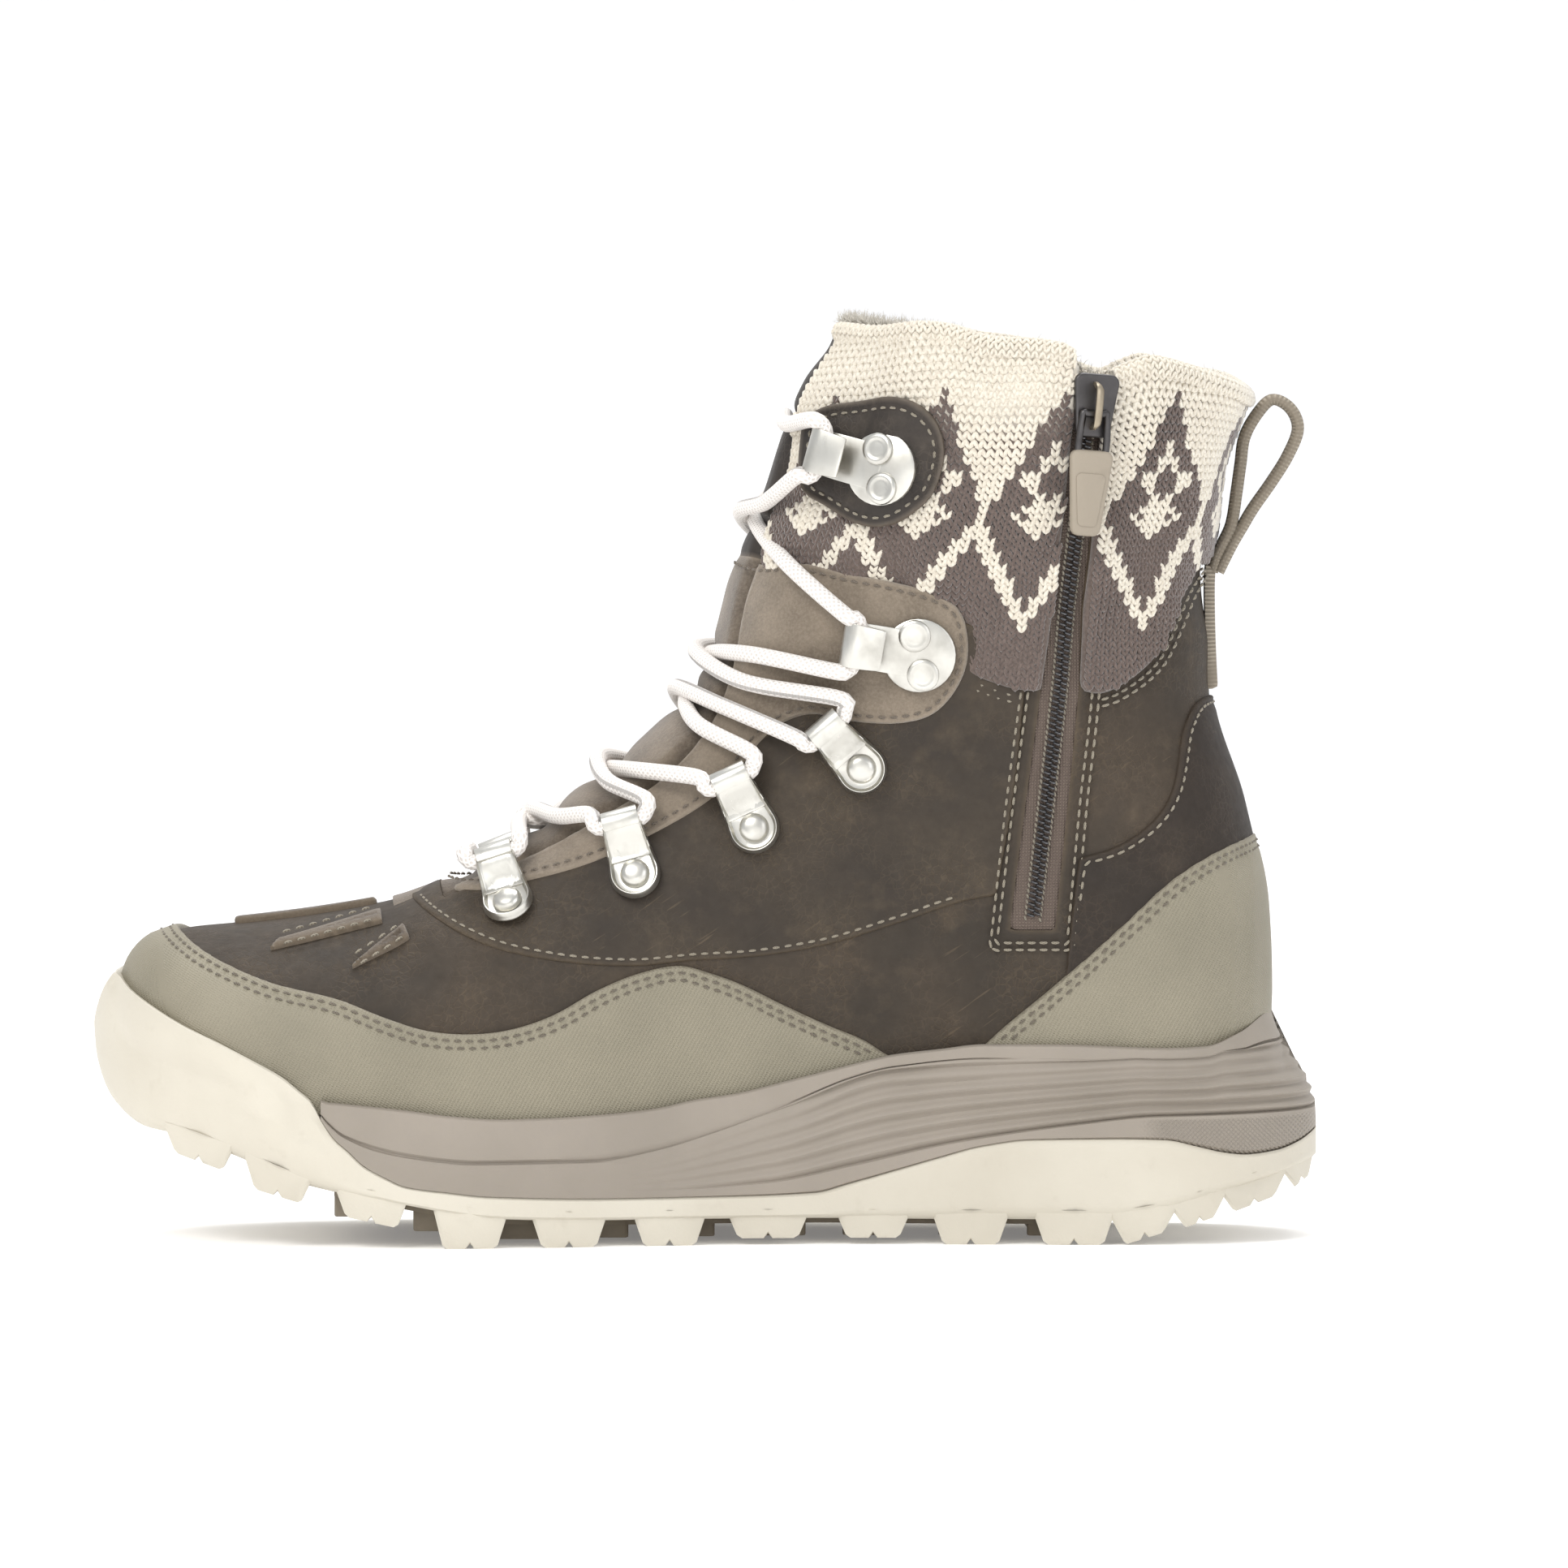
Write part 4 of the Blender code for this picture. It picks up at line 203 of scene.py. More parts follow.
EYESTAY = STRAP_OUTLINE + (
    (0.037, 0.522), (0.022, 0.495), (0.001, 0.471), (-0.046, 0.434), (-0.088, 0.408), (-0.141, 0.387),
    (-0.183, 0.375), (-0.209, 0.377), (-0.226, 0.388), (-0.240, 0.420), (-0.120, 0.560), (-0.050, 0.700),
)
QUARTER_FRONT = (
    (-0.270, 0.440), (-0.245, 0.376), (-0.230, 0.358), (-0.206, 0.338), (-0.172, 0.320), (-0.138, 0.309),
    (-0.104, 0.302), (-0.053, 0.299), (-0.013, 0.304), (0.045, 0.309), (0.100, 0.321), (0.155, 0.343),
)
QUARTER_INNER = QUARTER_FRONT + (
    (0.209, 0.367), (0.236, 0.374), (0.250, 0.480), (0.262, 0.640), (0.150, 0.690), (-0.050, 0.720),
)
QUARTER_OUTER = QUARTER_FRONT + (
    (0.209, 0.367), (0.260, 0.388), (0.320, 0.408), (0.340, 0.520), (0.350, 0.640), (0.150, 0.690),
    (-0.050, 0.720),
)
HOOK_PATCH = (
    (0.097, 0.874), (0.113, 0.885), (0.131, 0.888), (0.163, 0.889), (0.179, 0.881), (0.191, 0.864),
    (0.195, 0.845), (0.191, 0.819), (0.184, 0.800), (0.171, 0.783), (0.155, 0.770), (0.139, 0.767),
    (0.121, 0.774), (0.104, 0.788), (0.089, 0.802), (0.086, 0.826), (0.090, 0.853),
)
BACK_STRAP = ((0.360, 0.590), (0.560, 0.590), (0.560, 0.724), (0.360, 0.724))
# Zip: middle line from the collar down, with the half width of its slot
ZIP_LINE = (
    (0.318, 1.010, 0.0120), (0.313, 0.937, 0.0120), (0.301, 0.766, 0.0120), (0.293, 0.678, 0.0120),
    (0.288, 0.600, 0.0155), (0.277, 0.475, 0.0170), (0.265, 0.336, 0.0185),
)
SLIDER_PLACE = 0.898
# Raised slits of the vamp: outline in side view
VAMP_SLITS = (
    ("upper", ((-0.352, 0.314), (-0.346, 0.323), (-0.263, 0.352), (-0.261, 0.341))),
    ("lower", ((-0.288, 0.293), (-0.281, 0.302), (-0.243, 0.339), (-0.238, 0.326))),
)
RIDGE_SLIT = (-0.384, -0.268, 0.0175)
# Fittings: rivet centre and loop top in side view
EYELETS = (
    (-0.157, 0.360, -0.167, 0.414), (-0.055, 0.393, -0.066, 0.448),
    (0.041, 0.444, 0.021, 0.500), (0.127, 0.509, 0.096, 0.556),
)
HOOKS = (
    ("lower", 0.174, 0.631, 0.116, 0.645, 0.0), ("upper", 0.150, 0.827, 0.094, 0.848, 1.0),
)
LOOP_HEIGHTS = (0.716, 0.732, 0.745, 0.768, 0.802, 0.832, 0.862)
LOOP_FREE = (
    (0.0110, 0.888), (0.0230, 0.902), (0.0375, 0.892), (0.0435, 0.870), (0.0375, 0.841),
    (0.0270, 0.812), (0.0155, 0.785), (0.0095, 0.764), (0.0080, 0.748), (0.0076, 0.732), (0.0050, 0.716),
)

# Soft troughs and ridges of the leather: from (along, height) to (along, height), the side they
# lie on (-1 inner, 1 outer, 0 both), half width and depth in metres, negative for a trough
CREASES = (
    (-0.262, 0.322, -0.205, 0.262, 0, 0.0050, -0.0007), (-0.235, 0.350, -0.190, 0.300, 0, 0.0040, 0.0006),
    (-0.190, 0.330, -0.120, 0.272, 0, 0.0050, -0.0006), (0.080, 0.500, 0.190, 0.420, 0, 0.0070, -0.0010),
    (0.060, 0.440, 0.180, 0.370, 0, 0.0060, 0.0007), (0.100, 0.550, 0.230, 0.520, 0, 0.0060, 0.0006),
    (-0.060, 0.370, 0.060, 0.350, 0, 0.0080, 0.0006), (0.340, 0.560, 0.400, 0.500, 0, 0.0060, -0.0006),
    (0.310, 0.500, 0.380, 0.445, 0, 0.0060, 0.0006), (0.200, 0.480, 0.255, 0.440, -1, 0.0050, -0.0005),
)


def curve(table, x, column=1):
    """A smooth curve through a table that never swings past its points."""
    xs = np.array([row[0] for row in table])
    ys = np.array([row[column] for row in table])
    slope = np.diff(ys) / np.diff(xs)
    tangent = np.zeros(len(xs))
    same = slope[:-1] * slope[1:] > 0
    tangent[1:-1][same] = 2 * (slope[:-1] * slope[1:])[same] / (slope[:-1] + slope[1:])[same]
    tangent[0], tangent[-1] = slope[0], slope[-1]
    x = np.clip(x, xs[0], xs[-1])
    k = np.clip(np.searchsorted(xs, x, side="right") - 1, 0, len(xs) - 2)
    step = xs[k + 1] - xs[k]
    t = (x - xs[k]) / step
    return ((2 * t**3 - 3 * t**2 + 1) * ys[k] + (t**3 - 2 * t**2 + t) * step * tangent[k]
            + (3 * t**2 - 2 * t**3) * ys[k + 1] + (t**3 - t**2) * step * tangent[k + 1])


def height_at(table, x):
    """Height of a side-view line at x metres."""
    return curve(table, np.asarray(x) / LENGTH) * HEIGHT


def rounding(depth, radius, power=ROUNDNESS):
    """0 at the edge, 1 from one radius inwards, along a superellipse."""
    t = np.clip(depth / radius, 0.0, 1.0)
    return (1.0 - (1.0 - t) ** power) ** (1.0 / power)


def smooth(value, low=0.0, high=1.0):
    """Smooth step from 0 at low to 1 at high."""
    t = np.clip((value - low) / (high - low), 0.0, 1.0)
    return t * t * (3 - 2 * t)


UNIT = {"front_x": LENGTH, "end_x": LENGTH, "front_z": HEIGHT, "end_z": HEIGHT, "loop": 1.0}
COLUMN = {name: [(k, row[place]) for k, row in enumerate(SECTIONS)]
          for place, name in enumerate(SECTION_COLUMNS, start=1)}


def section(v, *names):
    """Columns of the section table at row places v, in metres."""
    return [curve(COLUMN[name], v) * UNIT.get(name, BALL_WIDTH) for name in names]


def side_view(v, share):
    """Place in side view, and length of the section there."""
    front_x, front_z, end_x, end_z = section(v, "front_x", "front_z", "end_x", "end_z")
    span = np.hypot(end_x - front_x, end_z - front_z)
    return front_x + share * (end_x - front_x), front_z + share * (end_z - front_z), span


def surface(v, share, side):
    """Points of the upper: v along the table, share from ridge to sole or back, side -1 or 1."""
    x, z, span = side_view(v, share)
    mid_in, mid_out, end_in, end_out, depth, ridge = section(
        v, "mid_in", "mid_out", "end_in", "end_out", "round", "ridge")
    mid, end = np.where(side < 0, mid_in, mid_out), np.where(side < 0, end_in, end_out)
    half = mid + (end - mid) * smooth(share, 0.5, 1.0)
    back = rounding(curve(BACK_LINE, z / HEIGHT) * LENGTH - x, curve(BACK_ROUND, z / HEIGHT) * BALL_WIDTH)
    middle = ridge * (1 - share)
    full = rounding(share * span, depth) * back
    return np.stack([x, middle + full * (side * half - middle), z], axis=-1)


def relief(points):
    """How far the leather stands out of, or sinks below, its plain form."""
    x, y, z = points[..., 0], points[..., 1], points[..., 2]
    total = 0.00035 * np.sin(x * 95 + 1.3) * np.sin(z * 120 + y * 40)
    for x0, z0, x1, z1, side, width, depth in CREASES:
        ax, az, bx, bz = x0 * LENGTH, z0 * HEIGHT, x1 * LENGTH, z1 * HEIGHT
        run = np.clip(((x - ax) * (bx - ax) + (z - az) * (bz - az)) / ((bx - ax) ** 2 + (bz - az) ** 2), 0, 1)
        far = np.hypot(x - ax - run * (bx - ax), z - az - run * (bz - az))
        where = 1.0 if side == 0 else smooth(y * side, 0.004, 0.015)
        total = total + depth * np.exp(-(far / width) ** 2) * np.sin(math.pi * np.clip(run, 0.04, 0.96)) * where
    fade = smooth(z, 0.20 * HEIGHT, 0.28 * HEIGHT) * (1 - smooth(z, 0.90 * HEIGHT, 0.95 * HEIGHT))
    return total * fade * smooth(np.abs(y), 0.0, 0.012)


def skin_frame(v, share, side):
    """Points and outward normals of the upper at arrays of places."""
    v, share, side = np.broadcast_arrays(np.asarray(v, float), np.asarray(share, float), np.asarray(side, float))
    dv, ds = 0.04, 0.008
    top = ROW["tongue_top"]
    point = surface(v, share, side)
    along = surface(np.clip(v + dv, 0, top), share, side) - surface(np.clip(v - dv, 0, top), share, side)
    across = surface(v, np.clip(share + ds, 0, 1), side) - surface(v, np.clip(share - ds, 0, 1), side)
    normal = np.cross(along, across) * side[..., None]
    closed = (v >= ROW["heel_tip"] - 1e-6) * smooth(share, 0.985, 1.0)
    normal[..., 1] *= (1 - np.maximum(1 - smooth(share, 0.0, 0.012), closed))
    return point, normal / np.maximum(np.linalg.norm(normal, axis=-1, keepdims=True), 1e-12)


def swell(point, normal):
    """Points of the cuff lifted into its soft, puffed collar."""
    x, z = point[..., 0] / LENGTH, point[..., 2] / HEIGHT
    rise = curve(COLLAR_RISE, x) * smooth(z, 0.80, 0.955)
    slack = 0.0009 * np.sin(x * 52 + z * 9) * np.sin(z * 31 + 1.0) + 0.0007 * np.sin(x * 97 - z * 23)
    puff = 0.0016 * np.exp(-((z - 0.90) / 0.06) ** 2) + slack * smooth(z, 0.60, 0.68)
    moved = point + normal * puff[..., None]
    moved[..., 2] += rise
    return moved


class Finder:
    """Finds the upper's row place and share at points of the side view."""

    def __init__(self):
        v, share = np.meshgrid(np.arange(0, ROW["tongue_top"] + 0.01, 0.1), np.linspace(0, 1, 41), indexing="ij")
        self.places = np.stack([v.ravel(), share.ravel()], axis=1)
        x, z, _ = side_view(self.places[:, 0], self.places[:, 1])
        self.tree = KDTree(len(x))
        for k in range(len(x)):
            self.tree.insert((x[k], 0.0, z[k]), k)
        self.tree.balance()

    def __call__(self, x, z):
        x, z = np.atleast_1d(x).astype(float), np.atleast_1d(z).astype(float)
        start = np.array([self.places[self.tree.find((a, 0.0, b))[1]] for a, b in zip(x, z)])
        v, share = start[:, 0], start[:, 1]
        for _ in range(5):
            px, pz, _ = side_view(v, share)
            ax, az, _ = side_view(v + 1e-3, share)
            bx, bz, _ = side_view(v, share + 1e-3)
            a, b, c, d = (ax - px) * 1e3, (bx - px) * 1e3, (az - pz) * 1e3, (bz - pz) * 1e3
            det = np.where(np.abs(a * d - b * c) < 1e-9, 1e-9, a * d - b * c)
            ex, ez = x - px, z - pz
            v = np.clip(v + np.clip((d * ex - b * ez) / det, -0.5, 0.5), 0, ROW["tongue_top"])
            share = np.clip(share + np.clip((a * ez - c * ex) / det, -0.2, 0.2), 0, 1)
        px, pz, _ = side_view(v, share)
        return v, share, np.hypot(px - x, pz - z)


find = Finder()


def spot(x, z, side, lift=0.0):
    """Point and normal of the upper at one side-view place."""
    v, share, _ = find(x, z)
    point, normal = skin_frame(v, share, side)
    return Vector(point[0] + normal[0] * lift), Vector(normal[0])


def smooth_outline(table, closed=True, spacing=0.0014, sharp=50.0):
    """Points on a smooth curve through a side-view table; turns over the sharp angle stay corners."""
    points = np.array(table, float)[:, :2] * (LENGTH, HEIGHT)
    count = len(points)
    ahead = np.roll(points, -1, axis=0) - points
    length = np.linalg.norm(ahead, axis=1)
    unit = ahead / length[:, None]
    before = np.roll(unit, 1, axis=0)
    turn = np.degrees(np.arccos(np.clip((unit * before).sum(axis=1), -1, 1)))
    middle = unit + before
    middle /= np.maximum(np.linalg.norm(middle, axis=1, keepdims=True), 1e-9)
    leave = np.where(turn[:, None] > sharp, unit, middle)
    arrive = np.where(turn[:, None] > sharp, before, middle)
    if not closed:
        leave[0], arrive[-1] = unit[0], before[-1]
    result = []
    for k in range(count if closed else count - 1):
        n = (k + 1) % count
        steps = max(int(length[k] / spacing), 1)
        for t in np.arange(steps) / steps:
            result.append((2 * t**3 - 3 * t**2 + 1) * points[k] + (t**3 - 2 * t**2 + t) * length[k] * leave[k]
                          + (3 * t**2 - 2 * t**3) * points[n] + (t**3 - t**2) * length[k] * arrive[n])
    if not closed:
        result.append(points[-1])
    return np.array(result)


def inside(outline, x, z):
    """Signed distance in side view to a closed outline, positive inside."""
    a, b = outline, np.roll(outline, -1, axis=0)
    edge = b - a
    result = np.empty(len(x))
    for first in range(0, len(x), 4000):
        px, pz = x[first:first + 4000, None], z[first:first + 4000, None]
        run = ((px - a[:, 0]) * edge[:, 0] + (pz - a[:, 1]) * edge[:, 1]) / (edge ** 2).sum(axis=1)
        run = np.clip(run, 0, 1)
        far = np.hypot(px - a[:, 0] - run * edge[:, 0], pz - a[:, 1] - run * edge[:, 1]).min(axis=1)
        crosses = ((a[:, 1] > pz) != (b[:, 1] > pz))
        reach = a[:, 0] + (pz - a[:, 1]) / np.where(edge[:, 1] == 0, 1e-12, edge[:, 1]) * edge[:, 0]
        odd = (crosses & (px < reach)).sum(axis=1) % 2 == 1
        result[first:first + 4000] = np.where(odd, far, -far)
    return result


def zip_band(grow=0.0):
    """Side-view outline of the zip's slot, grown or drawn in."""
    left = [((x - w) * LENGTH - grow, z * HEIGHT) for x, z, w in ZIP_LINE]
    right = [((x + w) * LENGTH + grow, z * HEIGHT) for x, z, w in ZIP_LINE]
    left[-1] = (left[-1][0], left[-1][1] - grow)
    right[-1] = (right[-1][0], right[-1][1] - grow)
    return np.array(left + right[::-1])


def add_piece(name, points, faces, *materials, body="boot", sharp=50.0, uv=None, marks=None, slots=None):
    """A mesh piece of the boot; uv is one pair a vertex, marks one number a vertex."""
    mesh = bpy.data.meshes.new(name)
    mesh.from_pydata(np.asarray(points, float).tolist(), [], [list(map(int, face)) for face in faces])
    for material in materials:
        mesh.materials.append(material.material)
    if slots is not None:
        mesh.polygons.foreach_set("material_index", np.asarray(slots, np.int32))
    if uv is not None:
        layer = mesh.uv_layers.new(name="flow")
        corners = np.empty(len(mesh.loops), np.int32)
        mesh.loops.foreach_get("vertex_index", corners)
        layer.data.foreach_set("uv", np.asarray(uv, np.float32)[corners].ravel())
    if marks is not None:
        mesh.attributes.new("edge", "FLOAT", "POINT").data.foreach_set("value", np.asarray(marks, np.float32))
    mesh.shade_smooth()
    mesh.set_sharp_from_angle(angle=math.radians(sharp))
    piece = bpy.data.objects.new(name, mesh)
    bpy.context.scene.collection.objects.link(piece)
    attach(piece, body)
    return piece


class Heap:
    """Many small closed meshes gathered into one piece."""

    def __init__(self):
        self.points, self.faces, self.uv, self.count = [], [], [], 0

    def add(self, points, faces, uv=None):
        points = np.asarray(points, float)
        self.points.append(points)
        self.uv.append(np.zeros((len(points), 2)) if uv is None else np.asarray(uv, float))
        self.faces += [[k + self.count for k in face] for face in faces]
        self.count += len(points)

    def piece(self, name, material, **settings):
        return add_piece(name, np.concatenate(self.points), self.faces, material,
                         uv=np.concatenate(self.uv), **settings)


# Materials


def srgb(red, green, blue):
    """Linear colour of a screen colour from 0 to 255."""
    def channel(value):
        value /= 255
        return value / 12.92 if value <= 0.04045 else ((value + 0.055) / 1.055) ** 2.4
    return (channel(red), channel(green), channel(blue), 1.0)


class Wire:
    """A node's output; arithmetic on it adds Math nodes."""

    def __init__(self, finish, socket):
        self.finish, self.socket = finish, socket

    def math(self, operation, *values):
        inputs = {index: value for index, value in enumerate(values)}
        return self.finish.node("ShaderNodeMath", {"operation": operation}, inputs)

    def __add__(self, other):
        return self.math("ADD", self, other)

    __radd__ = __add__

    def __mul__(self, other):
        return self.math("MULTIPLY", self, other)

    __rmul__ = __mul__

    def __sub__(self, other):
        return self.math("SUBTRACT", self, other)

    def __rsub__(self, other):
        return self.math("SUBTRACT", other, self)

    def __truediv__(self, other):
        return self.math("DIVIDE", self, other)

    def power(self, other):
        return self.math("POWER", self, other)

    def sine(self):
        return self.math("SINE", self)

    def absolute(self):
        return self.math("ABSOLUTE", self)

    def ramp(self, low, high):
        """0 below low, 1 above high, a straight run between them."""
        return self.finish.node("ShaderNodeMapRange", {"clamp": True}, {"Value": self, "From Min": low, "From Max": high})


class Finish:
    """One material, with a Principled shader and methods that add nodes to it."""

    def __init__(self, name, **constants):
        self.material = bpy.data.materials.new(name)
        self.material.use_nodes = True
        self.tree = self.material.node_tree
        self.shader = self.tree.nodes["Principled BSDF"]
        self.set(**constants)
        self.here = self.node("ShaderNodeTexCoord", {}, {}, "Object")
        self.flow = self.node("ShaderNodeUVMap", {"uv_map": "flow"}, {}, "UV")

    def set(self, **sockets):
        for key, value in sockets.items():
            self.feed(self.shader.inputs[key.replace("_", " ")], value)

    def feed(self, socket, value):
        if isinstance(value, Wire):
            self.tree.links.new(value.socket, socket)
        else:
            socket.default_value = value

    def node(self, kind, settings, inputs, output=0):
        node = self.tree.nodes.new(kind)
        for key, value in settings.items():
            if key == "stops":
                for stop in list(node.color_ramp.elements)[1:]:
                    node.color_ramp.elements.remove(stop)
                node.color_ramp.elements[0].position, node.color_ramp.elements[0].color = value[0]
                for position, colour in value[1:]:
                    node.color_ramp.elements.new(position).color = colour
            else:
                setattr(node, key, value)
        for key, value in inputs.items():
            self.feed(node.inputs[key], value)
        return Wire(self, node.outputs[output])

    def split(self, vector):
        node = self.node("ShaderNodeSeparateXYZ", {}, {0: vector}).socket.node
        return [Wire(self, socket) for socket in node.outputs]

    def scaled(self, vector, x, y, z):
        return self.node("ShaderNodeVectorMath", {"operation": "MULTIPLY"}, {0: vector, 1: (x, y, z)})

    def turned(self, vector, rotation, scale):
        """A vector turned, then stretched along its axes."""
        return self.node("ShaderNodeMapping", {}, {
            "Vector": self.node("ShaderNodeVectorRotate", {"rotation_type": "EULER_XYZ"}, {
                "Vector": vector, "Rotation": rotation}), "Scale": scale})

    def noise(self, scale, detail=3.0, rough=0.5, vector=None):
        return self.node("ShaderNodeTexNoise", {}, {
            "Vector": vector or self.here, "Scale": scale, "Detail": detail, "Roughness": rough})

    def cells(self, scale, vector=None, feature="F1"):
        return self.node("ShaderNodeTexVoronoi", {"feature": feature}, {"Vector": vector or self.here, "Scale": scale},
                         "Distance")

    def mix(self, factor, first, second, blend="MIX"):
        return self.node("ShaderNodeMix", {"data_type": "RGBA", "blend_type": blend},
                         {0: factor, 6: first, 7: second}, 2)

    def mark(self, name="edge"):
        return self.node("ShaderNodeAttribute", {"attribute_name": name}, {}, "Fac")

    def bump(self, height, distance, strength=1.0):
        self.set(Normal=self.node("ShaderNodeBump", {}, {"Height": height, "Distance": distance,
                                                        "Strength": strength}))


def leather_finish(name, base, light, dark, grain=1.0, rough=0.68, edge_wear=0.35):
    """Waxed nubuck: cloudy tone, a fine crackle, hairline scratches, paler along cut edges."""
    skin = Finish(name, Roughness=rough, Specular_IOR_Level=0.35)
    clouds = skin.noise(34, 6, 0.6).ramp(0.36, 0.66)
    fine = skin.noise(420, 4, 0.6)
    bent = skin.node("ShaderNodeVectorMath", {"operation": "MULTIPLY_ADD"}, {
        0: skin.node("ShaderNodeTexNoise", {}, {"Vector": skin.here, "Scale": 180.0, "Detail": 2.0}, "Color"),
        1: (0.0030, 0.0030, 0.0030), 2: skin.here})
    crackle = 1 - skin.cells(620, bent, "DISTANCE_TO_EDGE").ramp(0.0, 0.10)
    crackle = crackle * skin.noise(70, 3).ramp(0.42, 0.62)
    scratch = skin.noise(1.0, 2, 0.5, skin.turned(skin.here, (0.0, 0.6, 0.0), (90, 300, 1500))).ramp(0.66, 0.72)
    scratch = scratch * skin.noise(30, 2).ramp(0.52, 0.62)
    colour = skin.mix(clouds, dark, base)
    colour = skin.mix(skin.noise(90, 5, 0.65).ramp(0.54, 0.80) * 0.35, colour, light)
    colour = skin.mix(crackle * 0.28, colour, light)
    colour = skin.mix(scratch * 0.45, colour, light)
    edge = 1 - skin.mark().ramp(0.0, 0.0011)
    colour = skin.mix(edge * edge_wear, colour, light)
    skin.set(Base_Color=skin.mix(fine.ramp(0.35, 0.75) * 0.35, colour, dark))
    skin.set(Roughness=rough + (fine - 0.5) * 0.25)
    skin.bump(fine * 0.55 + crackle * -0.5 + skin.noise(150, 3) * 0.5, 0.00018 * grain, 0.9)
    return skin


def suede_finish(name, base, light, dark):
    """Napped suede: brushed patches that catch the light, fine fibres."""
    nap = Finish(name, Roughness=0.92, Specular_IOR_Level=0.2, Sheen_Weight=0.25, Sheen_Roughness=0.6)
    patches = nap.noise(60, 5, 0.6).ramp(0.38, 0.66)
    fibres = nap.noise(1500, 4, 0.7)
    colour = nap.mix(patches, dark, base)
    colour = nap.mix(fibres.ramp(0.4, 0.7) * 0.4, colour, light)
    edge = 1 - nap.mark().ramp(0.0, 0.0009)
    nap.set(Base_Color=nap.mix(edge * 0.5, colour, light))
    nap.bump(fibres + nap.noise(380, 4) * 0.7, 0.00025, 0.8)
    return nap


def weave_height(finish, vector, pitch):
    """Plain weave in a plane: threads over and under, with a little unevenness."""
    x, y, _ = finish.split(vector)
    turn = 2 * math.pi / pitch
    wobble = finish.noise(300, 2) * 1.6
    warp, weft = (x * turn + wobble).sine(), (y * turn + wobble).sine()
    return warp * 0.5 + weft * 0.5 + (warp * weft) * 0.4


def rand_finish():
    """Coated rand leather embossed like linen, with painted shade in the emboss's low places."""
    rand = Finish("coated_rand", Roughness=0.55, Specular_IOR_Level=0.4)
    x, y, z = rand.split(rand.here)
    facing = rand.node("ShaderNodeNewGeometry", {}, {}, "Normal")
    nx, ny, _ = rand.split(facing)
    front = (nx.absolute() - ny.absolute()).ramp(-0.05, 0.05)
    run = x + (y - x) * front
    flat = rand.node("ShaderNodeCombineXYZ", {}, {0: run, 1: z, 2: 0.0})
    flat = rand.turned(flat, (0.0, 0.0, 0.5), (1.0, 1.6, 1.0))
    weave = weave_height(rand, flat, 0.00080)
    colour = rand.mix(rand.noise(40, 4).ramp(0.3, 0.7), srgb(130, 124, 107), srgb(142, 135, 117))
    # Painted shade: darker in the low places of the linen emboss.
    colour = rand.mix(weave.ramp(-0.9, 0.4) * -0.16 + 0.16, colour, srgb(112, 105, 92))
    edge = 1 - rand.mark().ramp(0.0, 0.0010)
    rand.set(Base_Color=rand.mix(edge * 0.6, colour, srgb(126, 118, 104)))
    rand.bump(weave * 0.6 + rand.noise(900, 3) * 0.5, 0.00016, 0.8)
    return rand


def rubber_finish(name, base, dark, rough=0.55, speck=0.5):
    """Moulded rubber: fine matt skin, cloudy tone and soft darker specks of dirt."""
    rubber = Finish(name, Roughness=rough, Specular_IOR_Level=0.4)
    clouds = rubber.noise(22, 5).ramp(0.4, 0.75)
    colour = rubber.mix(clouds * speck, base, dark)
    rubber.set(Base_Color=rubber.mix(rubber.noise(240, 3).ramp(0.62, 0.8) * 0.25, colour, dark))
    rubber.bump(rubber.noise(1300, 3) + rubber.noise(160, 3) * 0.5, 0.00010, 0.6)
    return rubber


def foam_finish():
    """Moulded foam, with a band of small dots low on the heel."""
    foam = Finish("midsole_foam", Roughness=0.6, Specular_IOR_Level=0.35)
    x, _, z = foam.split(foam.here)
    turn = 2 * math.pi / 0.0011
    dots = (x * turn).sine() * (z * turn).sine()
    low = 0.062 + (x - 0.105) * 0.02
    band = x.ramp(0.098, 0.104) * (1 - x.ramp(0.137, 0.140)) * z.ramp(0.0195, 0.0203) * (1 - z.ramp(0.0282, 0.0290))
    colour = foam.mix(foam.noise(25, 4).ramp(0.35, 0.7), srgb(137, 129, 118), srgb(149, 140, 129))
    foam.set(Base_Color=foam.mix(foam.noise(500, 3).ramp(0.4, 0.8) * 0.2, colour, srgb(140, 132, 126)))
    foam.bump(foam.noise(1000, 3) * 0.35 + dots * band * 1.5 + low * 0.0, 0.00018, 0.8)
    return foam


def yarn_finish(name, base, dark, above=None):
    """Wool yarn: fine fibres and a soft fuzzy edge; another tone above the pattern if given."""
    yarn = Finish(name, Roughness=0.95, Specular_IOR_Level=0.15, Sheen_Weight=0.5, Sheen_Roughness=0.5)
    fibres = yarn.noise(1400, 4, 0.7)
    colour = yarn.mix(fibres.ramp(0.3, 0.7), dark, base)
    if above:
        height = yarn.split(yarn.here)[2]
        colour = yarn.mix(height.ramp(0.860 * HEIGHT, 0.905 * HEIGHT), colour, above)
    yarn.set(Base_Color=yarn.mix(yarn.noise(120, 3).ramp(0.4, 0.8) * 0.25, colour, dark))
    yarn.bump(fibres, 0.00022, 0.9)
    return yarn


